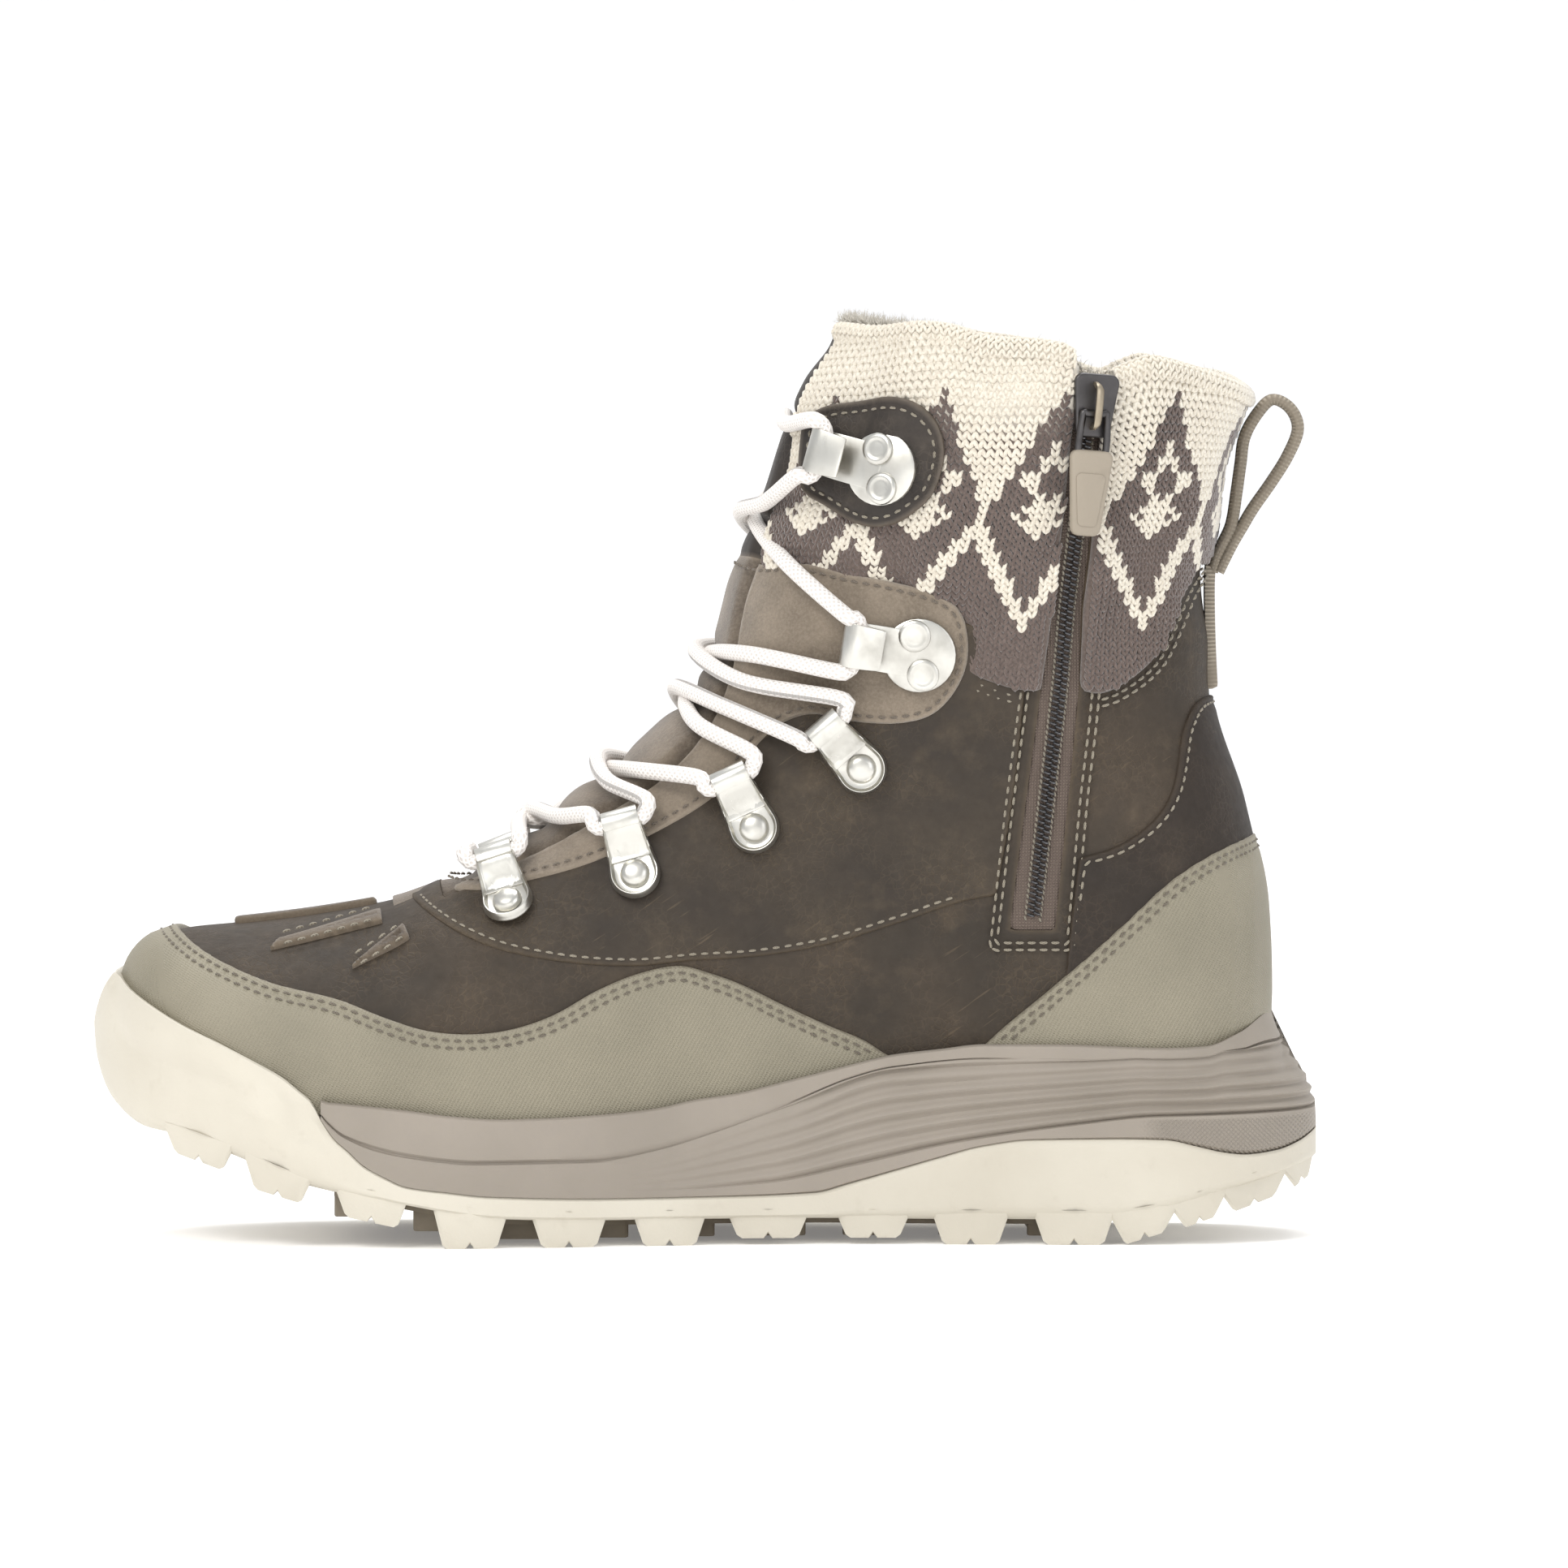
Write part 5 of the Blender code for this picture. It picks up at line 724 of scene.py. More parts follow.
def cord_finish(name, base, dark, around=16, pitch=0.0015, depth=0.00012):
    """Braided cord: herringbone of strands from its own run and turn, with painted shade between the strands."""
    cord = Finish(name, Roughness=0.85, Specular_IOR_Level=0.25, Sheen_Weight=0.2)
    turn, run, _ = cord.split(cord.flow)
    left = (turn * (2 * math.pi * around / 2) + run * (2 * math.pi / pitch)).sine()
    right = (turn * (2 * math.pi * around / 2) - run * (2 * math.pi / pitch)).sine()
    braid = left.math("MAXIMUM", left, right)
    # Painted shade: the colour runs to the dark tone in the braid's low places, between the strands.
    colour = cord.mix(braid.ramp(-0.4, 0.7), dark, base)
    cord.set(Base_Color=cord.mix(cord.noise(60, 3).ramp(0.45, 0.8) * 0.25, colour, dark))
    cord.bump(braid + cord.noise(2500, 2) * 0.3, depth, 0.9)
    return cord


def webbing_finish(name, base, dark, pitch=0.0009):
    """Woven strap: ribs across and fine threads along, with painted shade in the weave's low places."""
    strap = Finish(name, Roughness=0.85, Specular_IOR_Level=0.25)
    weave = weave_height(strap, strap.flow, pitch)
    # Painted shade: the colour runs to the dark tone in the weave's low places.
    colour = strap.mix(weave.ramp(-0.8, 0.8), dark, base)
    strap.set(Base_Color=strap.mix(strap.noise(90, 3).ramp(0.4, 0.8) * 0.3, colour, dark))
    strap.bump(weave, 0.00025, 0.9)
    return strap


def metal_finish(name, base, rough, dark):
    """Satin metal with fine handling marks."""
    metal = Finish(name, Metallic=1.0)
    scratches = metal.noise(1.0, 3, 0.6, metal.scaled(metal.here, 900, 900, 90))
    stain = metal.noise(160, 4).ramp(0.45, 0.75)
    metal.set(Base_Color=metal.mix(stain * 0.5, base, dark), Roughness=rough + stain * 0.15 + (scratches - 0.5) * 0.15)
    metal.bump(scratches, 0.00003, 0.5)
    return metal


def plain_cloth(name, base, dark, scale=900, depth=0.0003):
    """Felt, fleece backing or tape: tight fibres."""
    cloth = Finish(name, Roughness=0.95, Specular_IOR_Level=0.15, Sheen_Weight=0.3)
    fibres = cloth.noise(scale, 5, 0.7)
    cloth.set(Base_Color=cloth.mix(fibres.ramp(0.3, 0.7), dark, base))
    cloth.bump(fibres + cloth.noise(scale / 4, 3) * 0.6, depth, 0.9)
    return cloth


NUBUCK = leather_finish("nubuck", srgb(64, 54, 43), srgb(100, 85, 66), srgb(48, 41, 33))
QUARTER = leather_finish("quarter_nubuck", srgb(63, 54, 43), srgb(99, 85, 66), srgb(47, 40, 33))
COUNTER_LEATHER = leather_finish("counter_leather", srgb(46, 37, 29), srgb(78, 66, 52), srgb(35, 28, 22), 0.6, 0.66)
DARK_LEATHER = leather_finish("dark_leather", srgb(54, 47, 41), srgb(98, 88, 77), srgb(38, 33, 29), 0.8, 0.55, 0.9)
SUEDE = suede_finish("suede", srgb(128, 116, 101), srgb(154, 142, 126), srgb(104, 93, 80))
TONGUE_SUEDE = suede_finish("tongue_suede", srgb(116, 104, 90), srgb(142, 130, 114), srgb(88, 78, 68))
RAND = rand_finish()
CREAM_RUBBER = rubber_finish("cream_rubber", srgb(199, 193, 179), srgb(176, 168, 152), 0.5, 0.5)
TAUPE_RUBBER = rubber_finish("taupe_rubber", srgb(150, 140, 125), srgb(118, 108, 96), 0.6)
FOAM = foam_finish()
KNIT_CREAM = yarn_finish("knit_cream", srgb(232, 226, 212), srgb(196, 186, 170))
KNIT_MAUVE = yarn_finish("knit_mauve", srgb(115, 101, 94), srgb(80, 69, 64))
KNIT_BASE = yarn_finish("knit_backing", srgb(108, 95, 88), srgb(78, 68, 62), srgb(226, 219, 205))
LACE = cord_finish("lace_cord", srgb(238, 233, 228), srgb(212, 205, 198))
WEBBING_STRAP = webbing_finish("webbing", srgb(172, 162, 146), srgb(118, 109, 96))
ZIP_TAPE = webbing_finish("zip_tape", srgb(128, 114, 104), srgb(84, 73, 67), 0.0007)
ZIP_COIL = metal_finish("zip_coil_wire", srgb(112, 112, 114), 0.45, srgb(78, 78, 80))
METAL = metal_finish("satin_metal", srgb(205, 203, 196), 0.30, srgb(150, 146, 138))
GUNMETAL = metal_finish("gunmetal", srgb(84, 82, 82), 0.35, srgb(52, 50, 50))
BRIDGE_METAL = metal_finish("slider_bridge", srgb(172, 160, 140), 0.4, srgb(120, 110, 96))
PALE_THREAD = cord_finish("pale_thread", srgb(152, 144, 128), srgb(112, 104, 91), 4, 0.0009, 0.00006)
RAND_THREAD = cord_finish("rand_thread", srgb(118, 110, 97), srgb(84, 77, 67), 4, 0.0009, 0.00006)
BROWN_THREAD = cord_finish("brown_thread", srgb(120, 110, 98), srgb(80, 72, 64), 4, 0.0009, 0.00006)
FLEECE = plain_cloth("fleece", srgb(226, 220, 208), srgb(176, 168, 154), 500, 0.0009)
LINING = plain_cloth("lining", srgb(222, 214, 200), srgb(182, 173, 158), 600, 0.0007)
FOOTBED = plain_cloth("footbed", srgb(168, 160, 150), srgb(120, 112, 104), 900, 0.0003)
SLIT_SUEDE = suede_finish("slit_suede", srgb(92, 80, 66), srgb(120, 107, 90), srgb(70, 60, 50))


# Panels on the upper


class Spots:
    """Places of a panel's vertices: row place, signed turn w, side-view place and the rest."""

    def __init__(self, v, w):
        self.v, self.w = v, w
        self.share = (1 - np.cos(math.pi * np.abs(w))) / 2
        self.side = np.where(w < 0, -1.0, 1.0)
        self.x, self.z, span = side_view(v, self.share)
        self.throat = self.share * span - section(v, "throat")[0]


def row_places(first, last, step):
    """Row places about a step apart where the sections lie widest."""
    v = np.linspace(first, last, 500)
    grid = surface(v[:, None], np.array([0.02, 0.25, 0.5, 0.75, 0.98])[None, :], 1.0)
    reach = np.linalg.norm(np.diff(grid, axis=0), axis=2).max(axis=1)
    total = np.concatenate([[0], np.cumsum(reach)])
    count = max(int(total[-1] / step), 2)
    places = np.interp(np.linspace(0, total[-1], count + 1), total, v)
    closed = ROW["heel_tip"]
    if first < closed < last:
        places[np.argmin(np.abs(places - closed))] = closed
    return places


def split_faces(faces, places, values, level):
    """Cuts faces along the line where the field equals level."""
    made = {}

    def between(a, b):
        key = (a, b) if a < b else (b, a)
        if key not in made:
            t = (level - values[key[0]]) / (values[key[1]] - values[key[0]])
            p, q = places[key[0]], places[key[1]]
            places.append((p[0] + (q[0] - p[0]) * t, p[1] + (q[1] - p[1]) * t))
            values.append(level)
            made[key] = len(values) - 1
        return made[key]

    result = []
    for face in faces:
        heights = [values[k] - level for k in face]
        if min(heights) > -1e-7 or max(heights) < 1e-7:
            result.append(face)
            continue
        low, high = [], []
        for k, a in enumerate(face):
            b = face[(k + 1) % len(face)]
            fa, fb = heights[k], heights[(k + 1) % len(face)]
            if fa >= -1e-7:
                high.append(a)
            if fa <= 1e-7:
                low.append(a)
            if (fa > 1e-7 and fb < -1e-7) or (fa < -1e-7 and fb > 1e-7):
                middle = between(a, b)
                low.append(middle)
                high.append(middle)
        result += [part for part in (low, high) if len(part) > 2]
    return result


def patch(name, field, lift, base, *materials, rows=("toe_edge", "collar"), step=SKIN_STEP,
          levels=(0.0, 0.0004, 0.0011), spread=(-1.0, 1.0), replaces=(), puffed=False):
    """A closed skin on the upper where field is positive, lift high over it and down to base."""
    along = row_places(ROW[rows[0]], ROW[rows[1]], step)
    count = int(0.135 / step)
    across = np.linspace(-1, 1, 2 * count + 1)
    v, w = np.meshgrid(along, across, indexing="ij")
    index = np.arange(v.size).reshape(v.shape)
    closed = along >= ROW["heel_tip"] - 1e-9
    index[closed, -1] = index[closed, 0]
    spots = Spots(v.ravel(), w.ravel())
    values = np.where((spots.w >= spread[0] - 1e-9) & (spots.w <= spread[1] + 1e-9), field(spots), -1.0)
    grid = values[index.ravel()].reshape(v.shape)
    corner = [grid[:-1, :-1], grid[1:, :-1], grid[1:, 1:], grid[:-1, 1:]]
    keep = np.maximum.reduce(corner) > 0
    quads = np.stack([index[:-1, :-1][keep], index[1:, :-1][keep], index[1:, 1:][keep], index[:-1, 1:][keep]], 1)
    places, values = list(zip(v.ravel().tolist(), w.ravel().tolist())), values.tolist()
    faces = [list(dict.fromkeys(quad)) for quad in quads.tolist()]
    for level in levels:
        faces = split_faces(faces, places, values, level)
    faces = [face for face in faces if sum(values[k] for k in face) / len(face) > 1e-7]
    used = sorted({k for face in faces for k in face})
    renumber = {old: new for new, old in enumerate(used)}
    faces = [[renumber[k] for k in face] for face in faces]
    chosen = np.array([places[k] for k in used])
    value = np.array([values[k] for k in used])
    spots = Spots(chosen[:, 0], chosen[:, 1])
    point, normal = skin_frame(spots.v, spots.share, spots.side)
    wave = relief(point)
    top = point + normal * (lift(spots, value) + wave)[:, None]
    low = point + normal * (base(spots, value) if callable(base) else base + wave)[:, None]
    if puffed:
        top, low = swell(top, normal), swell(low, normal)
    total = len(used)
    edges = {}
    for face in faces:
        for a, b in zip(face, face[1:] + face[:1]):
            edges[(a, b)] = edges.get((a, b), 0) + 1
    walls = [[b, a, a + total, b + total] for (a, b) in edges if (b, a) not in edges]
    under = [[k + total for k in reversed(face)] for face in faces]
    slots = [0] * (len(faces) + len(walls)) + [len(materials) - 1] * len(under)
    flow = np.stack([spots.x, spots.z], 1)
    piece = add_piece(name, np.concatenate([top, low]), faces + walls + under, *materials,
                      uv=np.concatenate([flow, flow]), marks=np.concatenate([value, value]), slots=slots)
    if replaces:
        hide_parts(*replaces)
    return piece


def edge_profile(value, height, radius=0.0011, start=0.45):
    """Height of an overlay from its cut edge inwards: a small step, then a rounded shoulder."""
    return height * (start + (1 - start) * rounding(value, radius, 2.0))


def seam_dip(value, *rows, depth=0.00035, width=0.0008):
    """Troughs that stitch rows pull into a panel, by distance from its edge."""
    return sum(-depth * np.exp(-((value - row) / width) ** 2) for row in rows)


# How far the knit runs in under the suede strap
STRAP_OVERLAP = 0.0010
# Distances of the stitch rows from a panel's edge
RAND_ROWS = (0.0015, 0.0031)
FACING_ROWS = (0.0015,)
KNIT_ROWS = (-0.0014, -0.0029)
ZIP_ROWS = (0.0028, 0.0044)
PATCH_ROW = (0.0020,)


def make_upper():
    """Base leather with its lining, and the panels stitched on it."""
    slot, slot_far = zip_band(0.0), zip_band(0.0008)
    rand, heel = smooth_outline(TOE_RAND), smooth_outline(HEEL_RAND)
    counter, cuff = smooth_outline(COUNTER), smooth_outline(CUFF)
    eyestay = smooth_outline(EYESTAY)
    inner_quarter, outer_quarter = smooth_outline(QUARTER_INNER), smooth_outline(QUARTER_OUTER)
    hook_patch = smooth_outline(HOOK_PATCH)

    def off_slot(s, outline=slot):
        return np.where(s.side < 0, -inside(outline, s.x, s.z), 1.0)

    def open_throat(s):
        return np.where(s.v > ROW["throat"] - 0.2, s.throat, 0.01)

    def base_field(s):
        return np.minimum(open_throat(s), off_slot(s))

    def base_lift(s, value):
        sewn = np.where(s.side < 0, -inside(slot, s.x, s.z), 0.02)
        knit = -inside(cuff, s.x, s.z)
        return (seam_dip(sewn, *ZIP_ROWS) * (s.z < 0.62 * HEIGHT) + seam_dip(knit, 0.0014, 0.0029)
                - 0.0003 * (1 - smooth(sewn, 0.0, 0.0015)))

    patch("upper_leather", base_field, base_lift, -WALL, NUBUCK, LINING, replaces=("upper",), puffed=True)

    def quarter_field(s):
        sd = np.where(s.side < 0, inside(inner_quarter, s.x, s.z), inside(outer_quarter, s.x, s.z))
        return np.minimum(sd, open_throat(s) - 0.001)

    patch("quarter", quarter_field,
          lambda s, f: edge_profile(f, 0.0007, 0.0009, 0.3) + seam_dip(f, *FACING_ROWS, depth=0.0002),
          -0.0002, QUARTER, rows=("ball", "shaft"))
    patch("toe_rand_cover", lambda s: inside(rand, s.x, s.z),
          lambda s, f: edge_profile(f, OVERLAY + GAP) + seam_dip(f, *RAND_ROWS), -0.0001, RAND,
          rows=("toe_edge", "ankle"), replaces=("toe_rand",))
    patch("heel_rand_cover", lambda s: inside(heel, s.x, s.z),
          lambda s, f: edge_profile(f, OVERLAY + GAP + 0.0003) + seam_dip(f, *RAND_ROWS)
          + 0.00012 * np.sin(s.x * 2 * math.pi / 0.0042), -0.0001, RAND,
          rows=("instep_high", "tendon"), replaces=("heel_rand",))
    patch("counter_cover", lambda s: inside(counter, s.x, s.z),
          lambda s, f: edge_profile(f, 0.0011) + seam_dip(f, *FACING_ROWS), -0.0001, COUNTER_LEATHER,
          rows=("bend", "shaft_top"), replaces=("heel_counter",))
    for side, side_name in ((-1, "medial"), (1, "lateral")):
        spread = (-1.0, 0.0) if side < 0 else (0.0, 1.0)
        patch("facing_" + side_name,
              lambda s: np.minimum(inside(eyestay, s.x, s.z), s.throat),
              lambda s, f: edge_profile(f, OVERLAY + GAP) + seam_dip(f, *FACING_ROWS), -0.0001, SUEDE,
              rows=("vamp", "shaft_top"), spread=spread, replaces=("eyestay_" + side_name,))
        patch("hook_patch_cover_" + side_name, lambda s: inside(hook_patch, s.x, s.z),
              lambda s, f: CUFF_THICKNESS + 0.0006 + edge_profile(f, 0.0012, 0.0006, 0.7)
              + seam_dip(f, *PATCH_ROW), CUFF_THICKNESS - 0.0006, DARK_LEATHER,
              rows=("bend", "collar"), step=0.0012, spread=spread, puffed=True,
              replaces=("hook_patch_" + side_name,))

    def off_strap(s):
        return STRAP_OVERLAP - inside(eyestay, s.x, s.z)

    patch("cuff_backing",
          lambda s: np.minimum.reduce([inside(cuff, s.x, s.z), s.throat, off_slot(s), off_strap(s)]),
          lambda s, f: (edge_profile(f, CUFF_THICKNESS - 0.0008, 0.0012, 0.3)
                        * (0.35 + 0.65 * smooth(off_strap(s), STRAP_OVERLAP, 0.0050))),
          -0.0001, KNIT_BASE, rows=("bend", "collar"), puffed=True, replaces=("cuff", "cuff_front"))
    strap = smooth_outline(BACK_STRAP)
    patch("back_strip", lambda s: np.minimum(inside(strap, s.x, s.z),
                                             WEBBING_WIDTH / 2 - np.abs(surface(s.v, s.share, s.side)[:, 1])),
          lambda s, f: edge_profile(f, WEBBING, 0.0008), -0.0001, WEBBING_STRAP,
          rows=("heel_mid", "collar"), step=0.0012, replaces=("back_strap",))
    return {"rand": rand, "heel": heel, "counter": counter, "cuff": cuff, "eyestay": eyestay,
            "quarter": inner_quarter, "outer_quarter": outer_quarter, "hook_patch": hook_patch, "slot": slot}


# Threads


def capsule(rings, sides, sink=0.0):
    """Template of a stitch: along 0, across 1, up 2, each from -1 to 1."""
    points, faces = [(-1.0, 0.0, -sink)], []
    for ring in range(rings):
        along = -math.cos(math.pi * (ring + 1) / (rings + 1))
        thick = math.sin(math.acos(along)) ** 0.7
        for k in range(sides):
            turn = 2 * math.pi * k / sides
            points.append((along, thick * math.cos(turn), thick * math.sin(turn) - sink * along * along))
    points.append((1.0, 0.0, -sink))
    last = len(points) - 1
    for k in range(sides):
        n = (k + 1) % sides
        faces.append([0, 1 + n, 1 + k])
        for ring in range(rings - 1):
            a, b = 1 + ring * sides, 1 + (ring + 1) * sides
            faces.append([a + k, a + n, b + n, b + k])
        faces.append([last, last - sides + k, last - sides + n])
    return np.array(points), faces


STITCH, STITCH_FACES = capsule(3, 5, 0.9)


def place_many(heap, template, faces, centre, along, across, up):
    """Copies of a template; each axis is an array of vectors that hold its half size."""
    for c, a, b, u in zip(centre, along, across, up):
        heap.add(c + template[:, :1] * a + template[:, 1:2] * b + template[:, 2:] * u, faces,
                 np.stack([template[:, 1] * 0.5, template[:, 0] * np.linalg.norm(a)], 1))


def resample(line, pitch):
    """Points at equal steps on a line; columns past the third are carried along."""
    steps = np.linalg.norm(np.diff(line[:, :3], axis=0), axis=1)
    total = np.concatenate([[0], np.cumsum(steps)])
    count = max(int(round(total[-1] / pitch)), 1)
    target = (np.arange(count) + 0.5) / count * total[-1]
    return np.stack([np.interp(target, total, line[:, k]) for k in range(line.shape[1])], 1)


def shifted(outline, distance):
    """An open or closed side-view line moved sideways; positive goes to its left."""
    ahead = np.gradient(outline, axis=0)
    unit = ahead / np.maximum(np.linalg.norm(ahead, axis=1, keepdims=True), 1e-12)
    return outline + np.stack([-unit[:, 1], unit[:, 0]], 1) * distance


def on_skin(line, side, lift):
    """Points and normals of a side-view line laid on one side, where the upper is there."""
    v, share, far = find(line[:, 0], line[:, 1])
    point, normal = skin_frame(v, share, float(side))
    good = far < 0.0004
    wave = relief(point)
    return (point + normal * (lift + wave)[:, None])[good], normal[good]


def stitch_row(heap, line, side, lift, pitch=0.0027, length=0.0020, radius=0.00034,
               puffed=False):
    """Stitches on the upper along a side-view line; the line's breaks are left bare."""
    point, normal = on_skin(line, side, lift)
    if puffed:
        point = swell(point, normal)
    if len(point) < 4:
        return
    jumps = np.linalg.norm(np.diff(point, axis=0), axis=1)
    breaks = [0] + [int(k) + 1 for k in np.nonzero(jumps > 0.012)[0]] + [len(point)]
    for first, last in zip(breaks, breaks[1:]):
        if last - first < 4:
            continue
        data = resample(np.concatenate([point[first:last], normal[first:last]], 1), pitch)
        centre, up = data[:, :3], data[:, 3:]
        ahead = np.gradient(centre, axis=0) if len(centre) > 1 else np.array([[1.0, 0, 0]])
        ahead /= np.maximum(np.linalg.norm(ahead, axis=1, keepdims=True), 1e-12)
        up = up / np.linalg.norm(up, axis=1, keepdims=True)
        across = np.cross(up, ahead)
        place_many(heap, STITCH, STITCH_FACES, centre, ahead * length / 2, across * radius, up * radius)


def inner_line(outline, distance, keep):
    """The line a distance inside a closed outline, kept where keep(x, z) is true."""
    area = 0.5 * np.sum(outline[:, 0] * np.roll(outline[:, 1], -1) - np.roll(outline[:, 0], -1) * outline[:, 1])
    moved = shifted(outline, distance if area > 0 else -distance)
    depth = inside(outline, moved[:, 0], moved[:, 1])
    good = (np.sign(distance) * depth > abs(distance) * 0.93) & keep(moved[:, 0], moved[:, 1])
    ring = np.nonzero(~good)[0]
    if len(ring):
        moved, good = np.roll(moved, -ring[0], axis=0), np.roll(good, -ring[0])
    return moved[good]


def make_stitches(lines):
    """All thread rows of the upper, in the thread's own colours."""
    rand, pale, brown = Heap(), Heap(), Heap()
    slot_frame = zip_band(ZIP_ROWS[-1])
    for side in (-1, 1):
        for row in RAND_ROWS:
            top = inner_line(lines["rand"], row, lambda x, z: (z > 0.200 * HEIGHT) & (x > -0.47 * LENGTH) & (x < 0.170 * LENGTH))
            stitch_row(rand, top, side, OVERLAY + 0.0002)
            back = inner_line(lines["heel"], row, lambda x, z: (z > 0.215 * HEIGHT) & (x > 0.22 * LENGTH) & (x < 0.5 * LENGTH))
            stitch_row(rand, back, side, OVERLAY + 0.0005)
        for row in FACING_ROWS:
            seam = inner_line(lines["counter"], row, lambda x, z: (z > 0.36 * HEIGHT) & (x < 0.45 * LENGTH))
            stitch_row(pale, seam, side, 0.0010)
            facing = inner_line(lines["eyestay"], row, lambda x, z: x < 0.5)
            stitch_row(brown, facing, side, OVERLAY + 0.0002)
            quarter = inner_line(lines["quarter" if side < 0 else "outer_quarter"], row,
                                 lambda x, z: (z < 0.372 * HEIGHT) & (x > -0.25 * LENGTH))
            stitch_row(pale, quarter, side, 0.0006)
        for row in KNIT_ROWS:
            edge = inner_line(lines["cuff"], row, lambda x, z: (z < 0.74 * HEIGHT) & (x > 0.216 * LENGTH)
                              & (x < 0.43 * LENGTH))
            if side < 0:
                edge = edge[inside(slot_frame, edge[:, 0], edge[:, 1]) < 0]
            stitch_row(pale, edge, side, 0.0005)
        patch_line = inner_line(lines["hook_patch"], PATCH_ROW[0], lambda x, z: x < 0.5)
        stitch_row(pale, patch_line, side, CUFF_THICKNESS + 0.0017, 0.0027, 0.0017, 0.00034, puffed=True)
    for row in ZIP_ROWS:
        band = zip_band(row)
        frame_line = smooth_outline(band / (LENGTH, HEIGHT))
        low = frame_line[frame_line[:, 1] < 0.595 * HEIGHT]
        stitch_row(pale, low, -1, 0.0006)
    rand.piece("rand_stitches", RAND_THREAD)
    pale.piece("pale_stitches", PALE_THREAD)
    brown.piece("brown_stitches", BROWN_THREAD)


# Knitted cuff

STITCH_WIDTH = 0.00176
STITCH_HEIGHT = 0.00148
REPEAT = 14
HALF_STITCHES = 77
PEAK_X, PEAK_Z = 0.194, 0.889
# Rows of the pattern from the peak down; each lists how far from the peak's column cream lies
CREAM_FIELD = (1, 1, 2, 2, 3, 3, 3, 4, 4, 5, 5, 6, 6, 6, 7, 7, 7, 7, 6, 6)
CREAM_FLOWER = {
    6: (0,), 7: (0,), 8: (0, 1), 9: (1,), 10: (2, 3), 11: (2, 3), 12: (2,), 13: (1,), 14: (0, 1),
    15: (0, 1, 2), 16: (0, 1, 3), 17: (0, 1, 2), 18: (0, 1), 19: (0,),
}
ZIGZAG_START, ZIGZAG_END = 17, 33


def is_cream(row, column):
    """Whether a stitch is cream, by row below the peak and column from it."""
    far = abs((column + REPEAT // 2) % REPEAT - REPEAT // 2)
    if row < 0:
        return True
    if row < len(CREAM_FIELD) and far >= CREAM_FIELD[row]:
        return True
    if far in CREAM_FLOWER.get(row, ()):
        return True
    if ZIGZAG_START <= row <= ZIGZAG_END:
        middle = 7 - (row - ZIGZAG_START) / 2.1
        return middle - 0.75 <= far <= middle + 0.95
    return False


def level_line(z, side, inner=0.0):
    """Dense points of the upper's outline at one height: row places and shares from ridge to back."""
    shares = (1 - np.cos(math.pi * np.linspace(0, 1, 90))) / 2
    rows = np.linspace(ROW["bend"], ROW["tongue_top"], 260)
    heights = side_view(rows[:, None], shares[None, :])[1]
    v = np.array([np.interp(z, heights[:, k], rows) for k in range(len(shares))])
    return v, shares


KNIT_LEG, KNIT_FACES = capsule(2, 5)


def knit_leg(centre, normal, ahead, lean, width, height):
    """Axes of one leg of a knitted V: long axis leaning, and its two thicknesses."""
    up = np.cross(ahead, normal)
    up /= np.linalg.norm(up, axis=1, keepdims=True)
    up *= np.where(up[:, 2:] < 0, -1.0, 1.0)
    long_axis = up * height * 0.92 + ahead * lean * width * 0.30
    wide = ahead * width * 0.29 - up * lean * height * 0.10
    return centre + ahead * lean * width * 0.25, long_axis, wide, normal * width * 0.33


def make_knit(lines):
    """Knitted stitches over the cuff, by the chart, in rows round the leg."""
    heaps = {True: Heap(), False: Heap()}
    rows = int(0.42 * HEIGHT / STITCH_HEIGHT)
    first = 0.975 * HEIGHT
    offset = int(round((first - PEAK_Z * HEIGHT) / STITCH_HEIGHT))
    rng = np.random.default_rng(5)

    def laid(z, side):
        """Even places of one row's stitches: point, normal, row place and share."""
        v, share = level_line(z, side)
        point, normal = skin_frame(v, share, float(side))
        total = np.concatenate([[0], np.cumsum(np.linalg.norm(np.diff(point, axis=0), axis=1))])
        middle = (np.arange(HALF_STITCHES) + 0.5) / HALF_STITCHES * total[-1]
        return np.stack([np.interp(middle, total, column) for column in (*point.T, *normal.T, v, share)], 1)

    peak = int(np.argmin(np.abs(laid(PEAK_Z * HEIGHT, -1)[:, 0] - PEAK_X * LENGTH)))
    for row in range(rows):
        z = first - row * STITCH_HEIGHT
        for side in (-1, 1):
            data = laid(z, side)
            px, pz, span = side_view(data[:, 6], data[:, 7])
            throat = data[:, 7] * span - section(data[:, 6], "throat")[0]
            keep = (inside(lines["cuff"], px, pz) > 0.0006) & (throat > 0.0006)
            keep &= (data[:, 6] < ROW["collar"]) & (np.abs(pz - z) < 0.0006)
            strap = -inside(lines["eyestay"], px, pz)
            keep &= strap > -0.0004
            if side < 0:
                keep &= inside(lines["slot"], px, pz) < -0.0006
            up = data[:, 3:6] / np.linalg.norm(data[:, 3:6], axis=1, keepdims=True)
            pressed = (0.30 + 0.70 * smooth(strap, 0.0, 0.0050))[:, None]
            base = swell(data[:, :3] + up * (CUFF_THICKNESS - 0.0007) * pressed, up)
            base = base + rng.normal(0, 0.00005, base.shape)
            ahead = np.gradient(base, axis=0)
            wide = np.linalg.norm(ahead, axis=1, keepdims=True)
            ahead /= wide
            cream = np.array([is_cream(row - offset, k - peak) for k in range(HALF_STITCHES)])
            for mark in (True, False):
                chosen = keep & (cream == mark)
                full = wide[chosen] * (1.18 if mark else 1.0)
                for lean in (-1.0, 1.0):
                    c, a, b, u = knit_leg(base[chosen], up[chosen], ahead[chosen], lean, full, STITCH_HEIGHT)
                    place_many(heaps[mark], KNIT_LEG, KNIT_FACES, c, a, b, u)
    heaps[True].piece("knit_cream_stitches", KNIT_CREAM, sharp=180.0)
    heaps[False].piece("knit_mauve_stitches", KNIT_MAUVE, sharp=180.0)


